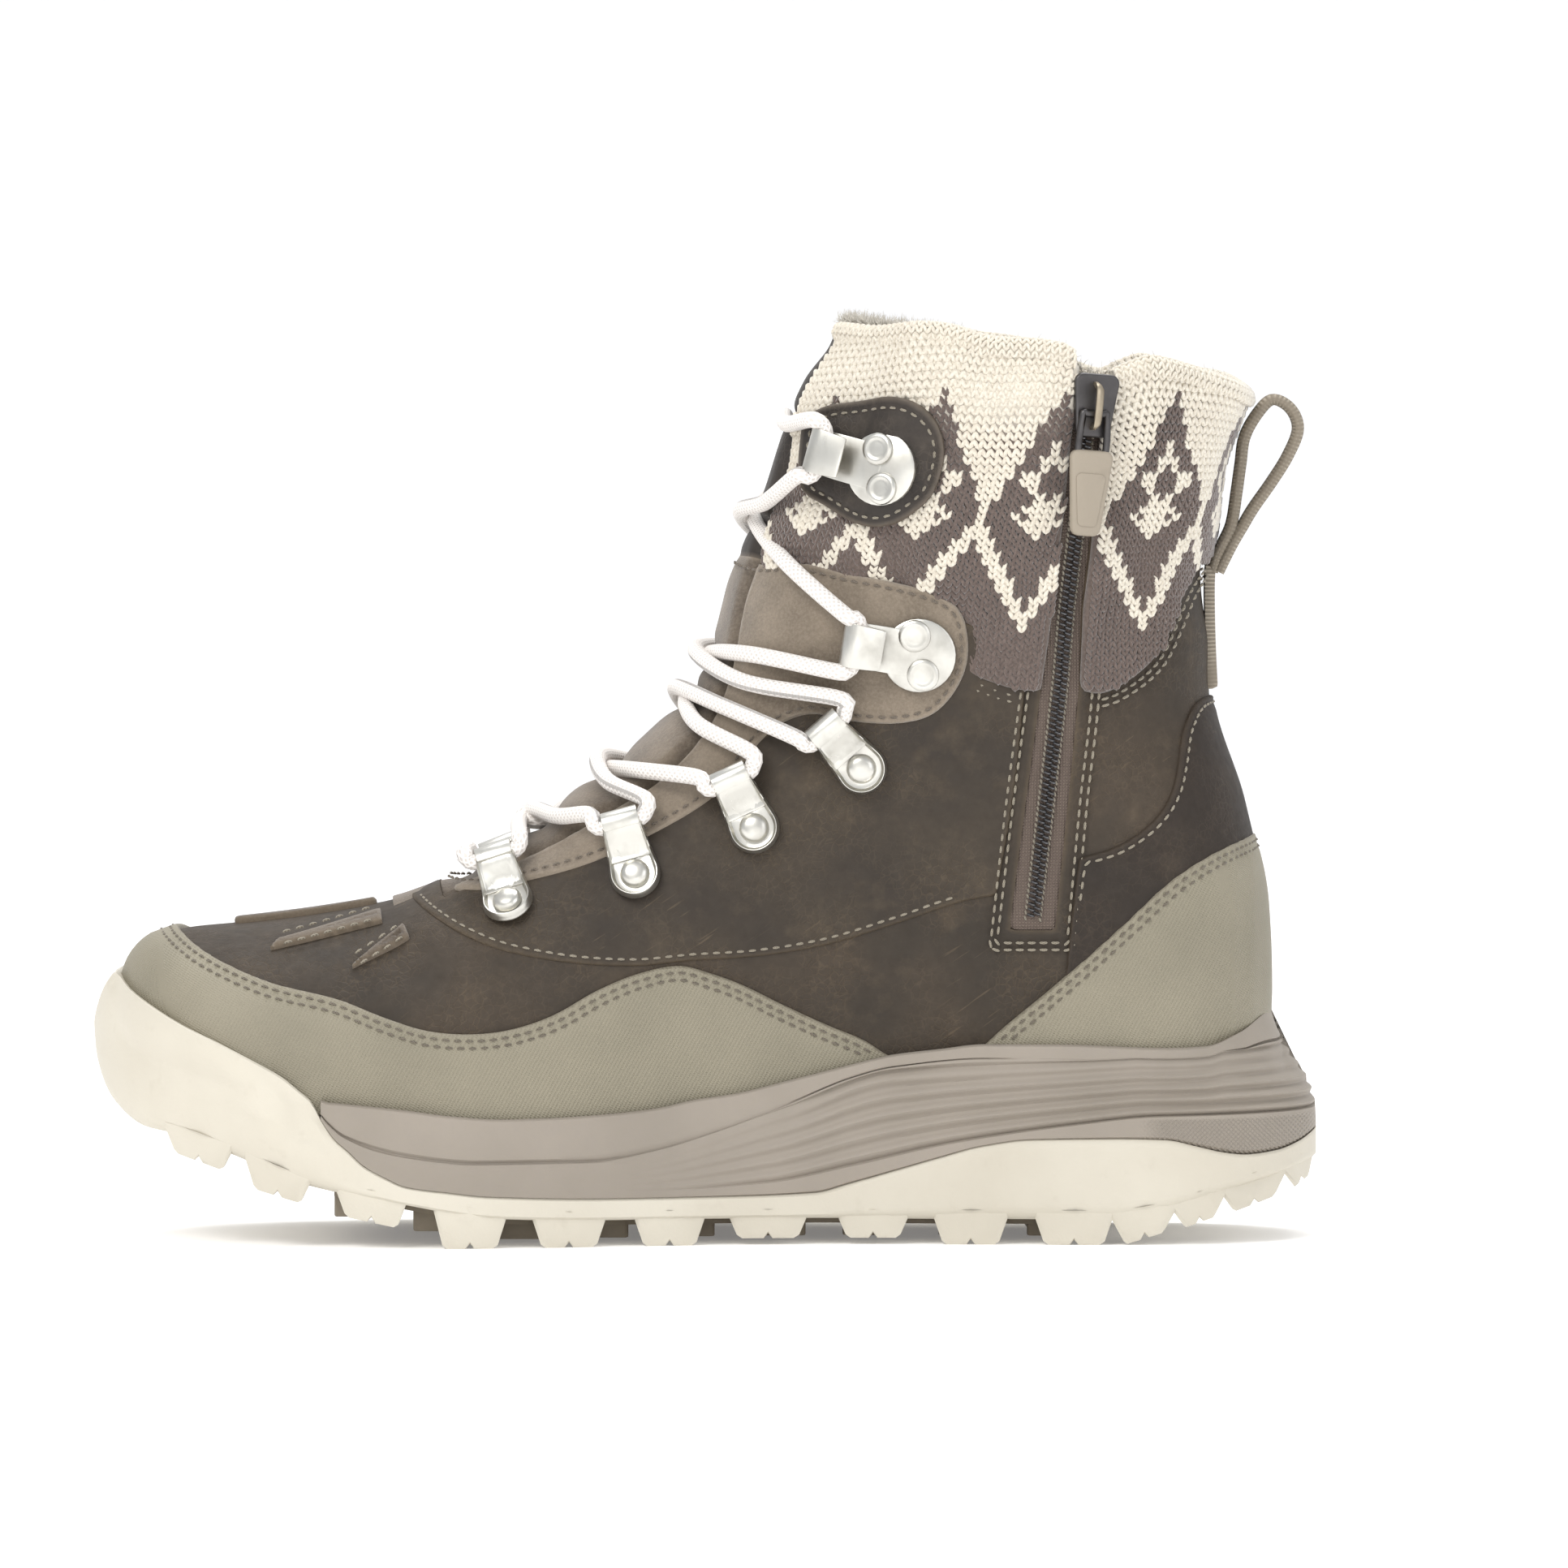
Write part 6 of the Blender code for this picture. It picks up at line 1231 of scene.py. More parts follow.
def tube(path, radius, sides=10, caps=True, squash=1.0):
    """Mesh of a tube along points: vertices, faces and (turn, run) pairs."""
    path = [Vector(p) for p in path]
    radii = radius if hasattr(radius, "__len__") else [radius] * len(path)
    points, uv, faces, run = [], [], [], 0.0
    ahead = (path[1] - path[0]).normalized()
    side = ahead.orthogonal().normalized()
    for k, centre in enumerate(path):
        fresh = (path[min(k + 1, len(path) - 1)] - path[max(k - 1, 0)]).normalized()
        side = ahead.rotation_difference(fresh) @ side
        ahead = fresh
        other = ahead.cross(side)
        if k:
            run += (centre - path[k - 1]).length
        for step in range(sides):
            turn = 2 * math.pi * step / sides
            points.append(centre + (side * math.cos(turn) + other * math.sin(turn) * squash) * radii[k])
            uv.append((step / sides, run))
    for k in range(len(path) - 1):
        for step in range(sides):
            a, b = k * sides + step, k * sides + (step + 1) % sides
            faces.append([a, b, b + sides, a + sides])
    if caps:
        faces.append(list(range(sides))[::-1])
        faces.append([len(points) - sides + k for k in range(sides)])
    return points, faces, uv


def smooth_path(points, spacing):
    """Points at about equal spacing on a smooth curve through the given ones."""
    points = [Vector(p) for p in points]
    dense = []
    padded = [points[0] * 2 - points[1]] + points + [points[-1] * 2 - points[-2]]
    for p0, p1, p2, p3 in zip(padded, padded[1:], padded[2:], padded[3:]):
        for step in range(12):
            t = step / 12
            dense.append(0.5 * (2 * p1 + (p2 - p0) * t + (2 * p0 - 5 * p1 + 4 * p2 - p3) * t * t
                                + (3 * p1 - p0 - 3 * p2 + p3) * t ** 3))
    dense.append(points[-1])
    line = np.array([tuple(p) for p in dense])
    total = np.concatenate([[0], np.cumsum(np.linalg.norm(np.diff(line, axis=0), axis=1))])
    count = max(int(total[-1] / spacing), 2)
    target = np.linspace(0, total[-1], count + 1)
    return np.stack([np.interp(target, total, line[:, k]) for k in range(3)], 1)


def collar_line(side, lift, count=160):
    """Points of the collar's edge on one side, from the throat to the back."""
    share = (1 - np.cos(math.pi * np.linspace(0, 1, count))) / 2
    v = np.full(count, ROW["collar"])
    span = side_view(v, share)[2]
    throat = share * span - section(v, "throat")[0]
    point, normal = skin_frame(v, share, float(side))
    good = throat > 0
    return swell(point[good] + normal[good] * lift, normal[good]), normal[good]


def make_collar():
    """Rolled, ribbed edge of the cuff: a cream roll with knitted stitches round it."""
    roll = 0.0024
    heap, backing = Heap(), Heap()
    for side in (-1, 1):
        centre, normal = collar_line(side, (CUFF_THICKNESS - WALL) / 2 + 0.0002)
        if side < 0:
            x = centre[:, 0] / LENGTH
            keeps = [x < ZIP_LINE[1][0] - 0.013, x > ZIP_LINE[1][0] + 0.013]
        else:
            keeps = [np.ones(len(centre), bool)]
        for keep in keeps:
            line, out = centre[keep], normal[keep]
            data = resample(np.concatenate([line, out], 1), STITCH_WIDTH)
            mid, out = data[:, :3], data[:, 3:]
            wave = 0.0006 * np.sin(mid[:, 0] * 170) * np.sin(mid[:, 1] * 90)
            mid = mid + np.array([0, 0, 1.0]) * (wave - 0.0004)[:, None]
            points, faces, uv = tube(mid, roll, 12, True)
            backing.add(np.array([tuple(p) for p in points]), faces, uv)
            ahead = np.gradient(mid, axis=0)
            ahead /= np.linalg.norm(ahead, axis=1, keepdims=True)
            for turn in np.radians(np.arange(-20, 200, 36)):
                up = out * math.cos(turn) + np.array([0, 0, 1.0]) * math.sin(turn)
                long_axis = np.cross(ahead, up)
                for lean in (-1.0, 1.0):
                    place_many(heap, KNIT_LEG, KNIT_FACES, mid + up * (roll + 0.0001) + ahead * lean * STITCH_WIDTH * 0.25,
                               long_axis * 0.0012 + ahead * lean * 0.0005, ahead * 0.00052, up * 0.00060)
    backing.piece("collar_roll", KNIT_CREAM)
    heap.piece("collar_stitches", KNIT_CREAM, sharp=180.0)


def make_fleece():
    """Short wool strands along the inside of the collar and the tongue's top."""
    heap = Heap()
    strand = np.array([(0, 1, 0), (0, -0.5, 0.87), (0, -0.5, -0.87), (0.5, 0.8, 0), (0.5, -0.4, 0.7), (0.5, -0.4, -0.7),
                       (1, 0, 0)], float)
    faces = [[0, 2, 1], [0, 1, 4, 3], [1, 2, 5, 4], [2, 0, 3, 5], [3, 4, 6], [4, 5, 6], [5, 3, 6]]
    rng = np.random.default_rng(11)

    def tuft(point, normal, count, length, radius):
        for p, n in zip(point, normal):
            for _ in range(count):
                lean = rng.normal(0, 0.55, 3)
                ahead = n + lean
                ahead /= np.linalg.norm(ahead)
                across = np.cross(ahead, [0.3, 0.5, 0.8])
                across /= np.linalg.norm(across)
                up = np.cross(ahead, across)
                size = length * rng.uniform(0.6, 1.2)
                bent = strand.copy()
                start = p + rng.normal(0, 0.0005, 3)
                place = start + bent[:, :1] * ahead * size + bent[:, 1:2] * across * radius + bent[:, 2:] * up * radius
                place += (bent[:, :1] ** 2) * rng.normal(0, 0.0006, 3)
                heap.add(place, faces)

    for side in (-1, 1):
        for low in (0.0, 0.0022, 0.0044, 0.0070, 0.0100):
            point, normal = collar_line(side, -WALL - 0.0004)
            point = point - np.array([0, 0, 1.0]) * low
            data = resample(np.concatenate([point, normal], 1), 0.0016)
            tuft(data[:, :3], -data[:, 3:] + np.array([0, 0, 0.7]), 6, 0.0030, 0.00014)
    w = np.linspace(-0.36, 0.36, 90)
    spots = Spots(np.full(len(w), ROW["tongue_top"] - 0.06), w)
    point, normal = skin_frame(spots.v, spots.share, spots.side)
    for depth in np.linspace(0.0006, 0.0044, 7):
        tuft(point - normal * depth, np.tile([0.15, 0.0, 1.0], (len(w), 1)), 5, 0.0032, 0.00013)
    heap.piece("fleece_strands", FLEECE, sharp=180.0)


# Tongue

TONGUE_SEAM = 0.733
TONGUE_FLARE = 0.020


def make_tongue(crossings):
    """Padded tongue under the lace: suede below, dark leather above."""
    reach = 0.0052

    def lift(s, value):
        under = smooth(s.throat, -0.0030, -0.0006)
        pads = sum(np.exp(-((s.v - place) / 0.26) ** 2) for place in crossings)
        level = -GAP + 0.0011 - 0.0022 * np.clip(pads, 0, 1)
        level = level + 0.0006 * np.exp(-((s.v - 10.5) / 1.5) ** 2)
        return level * (1 - under) + (-WALL - 2 * GAP) * under + seam_dip(s.z - TONGUE_SEAM * HEIGHT, 0.0, width=0.0012)

    def low(s, value):
        under = smooth(s.throat, -0.0030, -0.0006)
        return -0.0040 * (1 - under) + (-WALL - 2 * GAP - 0.0018) * under

    def edge(s):
        return np.minimum(reach + TONGUE_FLARE * smooth(s.v, ROW["shaft"], ROW["collar"]) - s.throat, 0.02)

    patch("tongue_suede", lambda s: np.minimum(edge(s), TONGUE_SEAM * HEIGHT - s.z), lift, low, TONGUE_SUEDE, LINING,
          rows=("ball", "collar"), step=0.0013, spread=(-0.5, 0.5), replaces=("tongue",))
    patch("tongue_leather", lambda s: np.minimum(edge(s), s.z - TONGUE_SEAM * HEIGHT), lift, low, DARK_LEATHER, LINING,
          rows=("instep_high", "tongue_top"), step=0.0013, spread=(-0.5, 0.5))


# Eyelets, hooks and lace

RIVET_DOME = ((0.0, 0.0024), (0.0018, 0.0023), (0.0027, 0.0019), (0.0032, 0.0012), (0.0034, 0.0003), (0.0, 0.0003))
RIVET_FACE = ((0.0, 0.0019), (0.0014, 0.0019), (0.0021, 0.0018), (0.0025, 0.0020), (0.0031, 0.0020),
              (0.0036, 0.0016), (0.0037, 0.0009), (0.0037, 0.0), (0.0, 0.0))
PLATE_FACE = ((0.0, 0.0009), (0.0078, 0.0009), (0.0083, 0.0006), (0.0084, 0.0), (0.0, 0.0))
# Folded strips: middle line in x and z, half width there
EYELET_STRIP = ((0.0098, 0.0050, 0.0041), (0.0112, 0.0055, 0.0042), (0.0128, 0.0055, 0.0042), (0.0141, 0.0044, 0.0042),
                (0.0144, 0.0028, 0.0042), (0.0136, 0.0011, 0.0042), (0.0120, 0.0004, 0.0043),
                (0.0060, 0.0002, 0.0048), (0.0035, 0.0002, 0.0048))
HOOK_STRIP = ((0.0000, 0.0005, 0.0052), (0.0080, 0.0005, 0.0052), (0.0130, 0.0005, 0.0051), (0.0152, 0.0006, 0.0050),
              (0.0168, 0.0018, 0.0050), (0.0171, 0.0032, 0.0050), (0.0164, 0.0047, 0.0050), (0.0148, 0.0057, 0.0050),
              (0.0120, 0.0057, 0.0049), (0.0092, 0.0054, 0.0047), (0.0080, 0.0052, 0.0045))
HOOK_RIVETS = ((-0.0017, 0.0042), (0.0017, -0.0042))
STRIP_HALF = 0.00045
# Heights on the tongue's ridge where the lace crosses, from toe to top
LACE_APEX = (0.396, 0.448, 0.503, 0.580, 0.624, 0.772, 0.882)
TONGUE_DIP = 0.0012
LACE_SEAT = {"eyelet": (0.0115, 0.0030), "hook": (0.0142, 0.0030)}


def lathe(profile, sides=24):
    """A turned form round the local z axis."""
    points, faces = [], []
    for r, z in profile:
        if r == 0.0:
            points.append([(0.0, 0.0, z)])
        else:
            points.append([(r * math.cos(2 * math.pi * k / sides), r * math.sin(2 * math.pi * k / sides), z)
                           for k in range(sides)])
    starts = np.cumsum([0] + [len(ring) for ring in points])
    for k in range(len(points) - 1):
        a, b = int(starts[k]), int(starts[k + 1])
        for j in range(sides):
            n = (j + 1) % sides
            if len(points[k]) == 1:
                faces.append([a, b + j, b + n])
            elif len(points[k + 1]) == 1:
                faces.append([a + j, b, a + n])
            else:
                faces.append([a + j, b + j, b + n, a + n])
    return np.array([p for ring in points for p in ring]), faces


def bevelled(points, faces, width=0.00022, segments=2):
    """The same closed mesh with its sharp edges rounded."""
    mesh = bpy.data.meshes.new("bevel")
    mesh.from_pydata([tuple(map(float, p)) for p in points], [], faces)
    work = bmesh.new()
    work.from_mesh(mesh)
    bmesh.ops.recalc_face_normals(work, faces=work.faces)
    sharp = [e for e in work.edges if len(e.link_faces) == 2 and e.calc_face_angle() > math.radians(35)]
    bmesh.ops.bevel(work, geom=sharp, offset=width, segments=segments, affect="EDGES", profile=0.6,
                    clamp_overlap=True)
    result = np.array([tuple(v.co) for v in work.verts]), [[v.index for v in f.verts] for f in work.faces]
    work.free()
    bpy.data.meshes.remove(mesh)
    return result


def strip_form(strip):
    """A folded metal strip with rounded edges, from its middle line."""
    line = smooth_path([(x, w, z) for x, z, w in strip], 0.0006)
    flat = line[:, [0, 2]]
    ahead = np.gradient(flat, axis=0)
    ahead /= np.linalg.norm(ahead, axis=1, keepdims=True)
    side = np.stack([-ahead[:, 1], ahead[:, 0]], 1) * STRIP_HALF
    points, faces = [], []
    for k in range(len(line)):
        half = line[k, 1]
        for s, t in ((1, -1), (1, 1), (-1, 1), (-1, -1)):
            points.append((flat[k, 0] + s * side[k, 0], t * half, flat[k, 1] + s * side[k, 1]))
    for k in range(len(line) - 1):
        for j in range(4):
            a, b = 4 * k + j, 4 * k + (j + 1) % 4
            faces.append([a, b, b + 4, a + 4])
    faces.append([0, 1, 2, 3][::-1])
    faces.append([len(points) - 4 + j for j in range(4)])
    return bevelled(points, faces, 0.00018)


def teardrop_plate():
    """Eyelet's plate: a round well with a raised rim that runs up into the folded loop."""
    radius, tip_half, reach = 0.0058, 0.0042, 0.0126
    turns = np.radians(np.arange(0, 360, 7.5))
    angle = math.asin((radius - tip_half) / reach)
    outline = []
    for turn in turns:
        ux, uy = math.cos(turn), abs(math.sin(turn))
        flat = radius / max(math.sin(angle) * ux + math.cos(angle) * uy, 1e-6)
        far = min(flat, reach / ux) if ux > math.sin(angle) else radius
        outline.append((far * ux, far * math.sin(turn)))
    outline = np.array(outline)

    def rows(shares, height):
        return [np.stack([outline[:, 0] * k, outline[:, 1] * k, height(outline[:, 0] * k, k)], 1) for k in shares]

    def face_height(x, k):
        slope = 0.0002 + 0.0049 * smooth(x, 0.0036, 0.0108)
        edge = (1 - k) * np.linalg.norm(outline, axis=1)
        rim = 0.0016 * np.exp(-((edge - 0.0006) / 0.00045) ** 2) * (1 - smooth(x, 0.0080, 0.0112))
        return slope + rim - 0.0007 * (1 - smooth(edge, 0.0, 0.00035)) * (1 - smooth(x, 0.0090, 0.0115))

    def back_height(x, k):
        return face_height(x, 0.9) * smooth(x, 0.0050, 0.0085) - 0.0007 * smooth(x, 0.0050, 0.0085) - 0.0003 + 0 * k

    rings = rows((0.30, 0.55, 0.68, 0.78, 0.84, 0.88, 0.91, 0.94, 0.965, 0.985, 1.0), face_height)
    rings += rows((0.995, 0.8, 0.3), back_height)
    points, faces = ring_loft(rings)
    return points, faces


def fitting_frame(rivet, tip, side, offset, towards):
    """Placement of a fitting: x from rivet to loop, y along the lace, z out of the leather."""
    base, normal_low = spot(rivet[0] * LENGTH, rivet[1] * HEIGHT, side)
    end, normal_high = spot(tip[0] * LENGTH, tip[1] * HEIGHT, side)
    reach = (end - base).normalized()
    normal = (normal_low * 0.92 + normal_high * 0.08).normalized()
    reach = (reach - normal * reach.dot(normal)).normalized()
    along = normal.cross(reach).normalized()
    placed = Matrix((reach, along, normal)).transposed().to_4x4()
    placed.translation = base + normal * offset
    return placed, (1 if along.dot(towards) > 0 else -1)


def add_placed(heap, shape, placed, shift=(0.0, 0.0, 0.0)):
    points, faces = shape
    moved = points + np.array(shift)
    matrix = np.array(placed)
    heap.add(moved @ matrix[:3, :3].T + matrix[:3, 3], faces)


def make_fittings():
    """Loop eyelets and hooks; returns where the lace passes them, from toe to top."""
    lift = OVERLAY + 3 * GAP
    disc, strip, dome = teardrop_plate(), strip_form(EYELET_STRIP), lathe(RIVET_DOME)
    plate, rivet, hook = lathe(PLATE_FACE, 32), lathe(RIVET_FACE), strip_form(HOOK_STRIP)
    seats = {-1: [], 1: []}
    for side, side_name in ((-1, "medial"), (1, "lateral")):
        for number, (x, z, tip_x, tip_z) in enumerate(EYELETS, start=1):
            placed, flip = fitting_frame((x, z), (tip_x, tip_z), side, lift, Vector((1, 0, 0)))
            heap = Heap()
            add_placed(heap, disc, placed)
            add_placed(heap, strip, placed)
            add_placed(heap, dome, placed)
            piece = heap.piece("eyelet_form_%s_%d" % (side_name, number), METAL, sharp=40.0)
            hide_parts("eyelet_%s_%d" % (side_name, number))
            seats[side].append(("eyelet", placed, flip))
        for name, x, z, tip_x, tip_z, on_cuff in HOOKS:
            raise_by = lift + on_cuff * (CUFF_THICKNESS + GAP)
            placed, flip = fitting_frame((x, z), (tip_x, tip_z), side, raise_by, Vector((0, 0, 1)))
            heap = Heap()
            add_placed(heap, plate, placed)
            add_placed(heap, hook, placed)
            for rx, ry in HOOK_RIVETS:
                add_placed(heap, rivet, placed, (rx, ry, 0.0))
            piece = heap.piece("hook_form_%s_%s" % (side_name, name), METAL, sharp=40.0)
            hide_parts("hook_%s_%s" % (side_name, name))
            seats[side].append(("hook", placed, flip))
    return seats


def seat_point(seat, leaving, out, forward=0.0, rise=0.0):
    """A point beside a fitting's tunnel: out along the lace from its middle."""
    kind, placed, flip = seat
    a, c = LACE_SEAT[kind]
    return placed @ Vector((a + forward, out * (1 if leaving else -1) * flip, c + rise))


def ridge_point(v, lift):
    """A point over the tongue's middle at a row place."""
    point, normal = skin_frame(np.array([v]), np.array([0.0]), np.array([1.0]))
    return Vector(point[0] + normal[0] * lift)


def shoulder_point(v, share, side, lift):
    point, normal = skin_frame(np.array([v]), np.array([share]), np.array([float(side)]))
    return Vector(point[0] + normal[0] * lift)


def make_lace(seats):
    """One braided cord from the low bar up through every fitting; both halves end in the top bar."""
    radius = LACE_DIAMETER / 2
    places = []
    for seat in seats[-1]:
        point = seat_point(seat, True, 0.0)
        v, share, _ = find(point.x, point.z)
        places.append((float(v[0]), float(share[0])))
    top = len(places) - 1
    turns = ((0.0042, 0.0), (0.0060, 0.0012), (0.0066, 0.0040))
    ridge = COLUMN["front_z"]
    apex = np.interp(LACE_APEX, [height for _, height in ridge], [place for place, _ in ridge])

    def run(first, second, near, far, leaves_second, middle_v, over):
        """Middle points of one crossing, from one fitting over the tongue to another."""
        lift = (CUFF_THICKNESS if second > len(EYELETS) else OVERLAY + GAP) + radius
        start_v, start_share = places[first]
        end_v, end_share = places[second]
        points = [seat_point(seats[near][first], first != second or leaves_second, out, ahead, out * 0.1)
                  for out, ahead in turns]
        points.append(shoulder_point(middle_v + (start_v - middle_v) * 0.30, start_share * 0.40, near, lift))
        points.append(ridge_point(middle_v, radius - TONGUE_DIP + over))
        points.append(shoulder_point(middle_v + (end_v - middle_v) * 0.30, end_share * 0.40, far, lift))
        points += [seat_point(seats[far][second], leaves_second, out, ahead, out * 0.1)
                   for out, ahead in reversed(turns)]
        return points

    lengths = 0.0
    low = run(0, 0, -1, 1, False, apex[0], 0.0006)
    halves = []
    for start_side in (1, -1):
        side = start_side
        points = []
        for k in range(top):
            points.append(seat_point(seats[side][k], True, 0.0))
            over = 0.0030 if start_side > 0 else -0.0004
            points += run(k, k + 1, side, -side, False, apex[k + 1], over)
            side = -side
        points.append(seat_point(seats[side][top], True, 0.0))
        halves.append(points)
    cords = [("lace_first_half", list(reversed(low)) + halves[1]), ("lace_second_half", [low[-1]] + halves[0]),
             ("lace_top_bar", [seat_point(seats[-1][top], True, 0.001)] + run(top, top, -1, 1, True, apex[top + 1], 0.0008)
              + [seat_point(seats[1][top], True, 0.001)])]
    heap = Heap()
    for name, points in cords:
        path = smooth_path(points, 0.0011)
        lengths += float(np.linalg.norm(np.diff(path, axis=0), axis=1).sum())
        shape = tube(path, radius * 0.97, 14)
        heap.add(np.array([tuple(p) for p in shape[0]]), shape[1], shape[2])
    piece = heap.piece("lace", LACE, sharp=60.0)
    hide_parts("lace_bar_low", "lace_bar_top", *["lace_cross_%d" % k for k in range(1, 6)])
    print("lace length m: %.3f" % lengths)
    return apex


# Zip


def zip_path(low, high, offset, lift, count=200):
    """Points and normals along the zip, offset sideways in side view."""
    rising = ZIP_LINE[::-1]
    z = np.linspace(low, high, count)
    x = np.interp(z, [row[1] for row in rising], [row[0] for row in rising])
    line = shifted(np.stack([x * LENGTH, z * HEIGHT], 1), -offset)
    v, share, _ = find(line[:, 0], line[:, 1])
    point, normal = skin_frame(v, share, -1.0)
    return point + normal * lift, normal


def slider_frame():
    """Placement of the slider: x across the zip, y up along it, z out of the boot."""
    rising = ZIP_LINE[::-1]
    x = np.interp(SLIDER_PLACE, [row[1] for row in rising], [row[0] for row in rising])
    point, normal = spot(x * LENGTH, SLIDER_PLACE * HEIGHT, -1)
    down = spot(ZIP_LINE[2][0] * LENGTH, ZIP_LINE[2][1] * HEIGHT, -1)[0]
    up = (point - down).normalized()
    up = (up - normal * up.dot(normal)).normalized()
    across = up.cross(normal).normalized()
    placed = Matrix((across, up, normal)).transposed().to_4x4()
    placed.translation = point
    return placed


def slab(outline, low, high):
    """A flat form: outline in local x and y, from low to high in z."""
    count = len(outline)
    points = [(x, y, low) for x, y in outline] + [(x, y, high) for x, y in outline]
    faces = [list(range(count))[::-1], list(range(count, 2 * count))]
    faces += [[k, (k + 1) % count, (k + 1) % count + count, k + count] for k in range(count)]
    return points, faces


def arc_corners(half_top, half_low, low, high, radius, steps=5):
    """A tapered outline with round corners, counter-clockwise."""
    points = []
    for quarter, (half, y, sx, sy) in enumerate(((half_top, high, 1, 1), (half_top, high, -1, 1),
                                                 (half_low, low, -1, -1), (half_low, low, 1, -1))):
        for step in range(steps + 1):
            turn = math.radians(90 * quarter + 90 * step / steps)
            points.append((sx * (half - radius) + radius * math.cos(turn), y - sy * radius + radius * math.sin(turn)))
    return points


def make_zip():
    """Tape, coil, chain stitches, slider with its bridge, and the pull on its own body."""
    band = zip_band(0.0002)
    patch("zip_tape_cover", lambda s: np.where(s.side < 0, inside(band, s.x, s.z), -1.0),
          lambda s, f: np.full(len(f), -0.0008), -0.0020, ZIP_TAPE, rows=("instep_high", "collar"),
          step=0.0012, spread=(-1.0, 0.0), replaces=("zip_tape",))
    coil, thread = Heap(), Heap()
    for half in (-1, 1):
        path, normal = zip_path(0.350, 0.925, half * 0.0007, 0.0001, 400)
        data = resample(np.concatenate([path, normal], 1), 0.00125)
        ahead = np.gradient(data[:, :3], axis=0)
        ahead /= np.linalg.norm(ahead, axis=1, keepdims=True)
        across = np.cross(data[:, 3:], ahead)
        shift = ahead * (0.00026 * half)
        place_many(coil, STITCH, STITCH_FACES, data[:, :3] + shift, across * 0.00105 + ahead * 0.00018,
                   ahead * 0.00038, data[:, 3:] * 0.00060)
        for offset in (0.0017,):
            path, normal = zip_path(0.345, 0.925, half * offset, -0.00025, 400)
            data = resample(np.concatenate([path, normal], 1), 0.00125)
            ahead = np.gradient(data[:, :3], axis=0)
            ahead /= np.linalg.norm(ahead, axis=1, keepdims=True)
            across = np.cross(data[:, 3:], ahead)
            place_many(thread, STITCH, STITCH_FACES, data[:, :3] + across * 0.00012, ahead * 0.00058 + across * 0.0002,
                       across * 0.00030, data[:, 3:] * 0.00036)
    piece = coil.piece("zip_coil", ZIP_COIL, sharp=60.0)
    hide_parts("zip_chain")
    thread.piece("zip_thread", PALE_THREAD, sharp=60.0)
    placed = slider_frame()
    deck = 4 * GAP + CUFF_THICKNESS
    crown = deck + 0.0030
    body = Heap()
    shape = arc_corners(0.0052, 0.0040, -0.0072, 0.0072, 0.0020)
    add_placed(body, bevelled(*slab(shape, deck, crown - 0.0004), width=0.0006, segments=3), placed)
    keel = arc_corners(0.0024, 0.0024, -0.0068, 0.0068, 0.0010)
    add_placed(body, bevelled(*slab(keel, GAP + 0.0011, deck + 0.0004), width=0.0003), placed)
    piece = body.piece("slider_body", GUNMETAL, sharp=45.0)
    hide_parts("zip_slider")
    arch = [(0, -0.0045, crown - 0.0010), (0, -0.0044, crown + 0.0018), (0, -0.0034, crown + 0.0028),
            (0, 0.0, crown + 0.0031), (0, 0.0034, crown + 0.0028), (0, 0.0044, crown + 0.0018), (0, 0.0045, crown - 0.0010)]
    bridge = Heap()
    shape = tube(smooth_path(arch, 0.0004), 0.0013, 8, True, 0.5)
    add_placed(bridge, (np.array([tuple(p) for p in shape[0]]), shape[1]), placed)
    bridge.piece("slider_bridge", BRIDGE_METAL, sharp=60.0)
    hinge = frame["joints"][0]["pos_m"]
    turned = placed.copy()
    turned.translation = Vector(hinge)
    link = Heap()
    ring = [(-0.0028, 0.0, 0.0), (-0.0028, -0.0096, 0.0), (0.0028, -0.0096, 0.0), (0.0028, 0.0, 0.0)]
    shape = tube(smooth_path([(0.0, 0.0004, 0.0), (-0.0018, 0.0004, 0.0)] + ring + [(0.0018, 0.0004, 0.0),
                                                                                  (0.0, 0.0004, 0.0)], 0.0005), 0.00085, 8)
    add_placed(link, (np.array([tuple(p) for p in shape[0]]), shape[1]), turned)
    link_piece = link.piece("pull_link", GUNMETAL, body="pull_tab", sharp=60.0)
    grip = Heap()
    shape = arc_corners(0.0049, 0.0034, -0.0272, -0.0078, 0.0018)
    add_placed(grip, bevelled(*slab(shape, -0.0013, 0.0013), width=0.0008, segments=3), turned)
    recess = arc_corners(0.0034, 0.0023, -0.0250, -0.0130, 0.0012)
    add_placed(grip, bevelled(*slab(recess, 0.0009, 0.0016), width=0.0003, segments=2), turned)
    piece = grip.piece("pull_grip", TAUPE_RUBBER, body="pull_tab", sharp=45.0)
    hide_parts("zip_pull")
    return link_piece


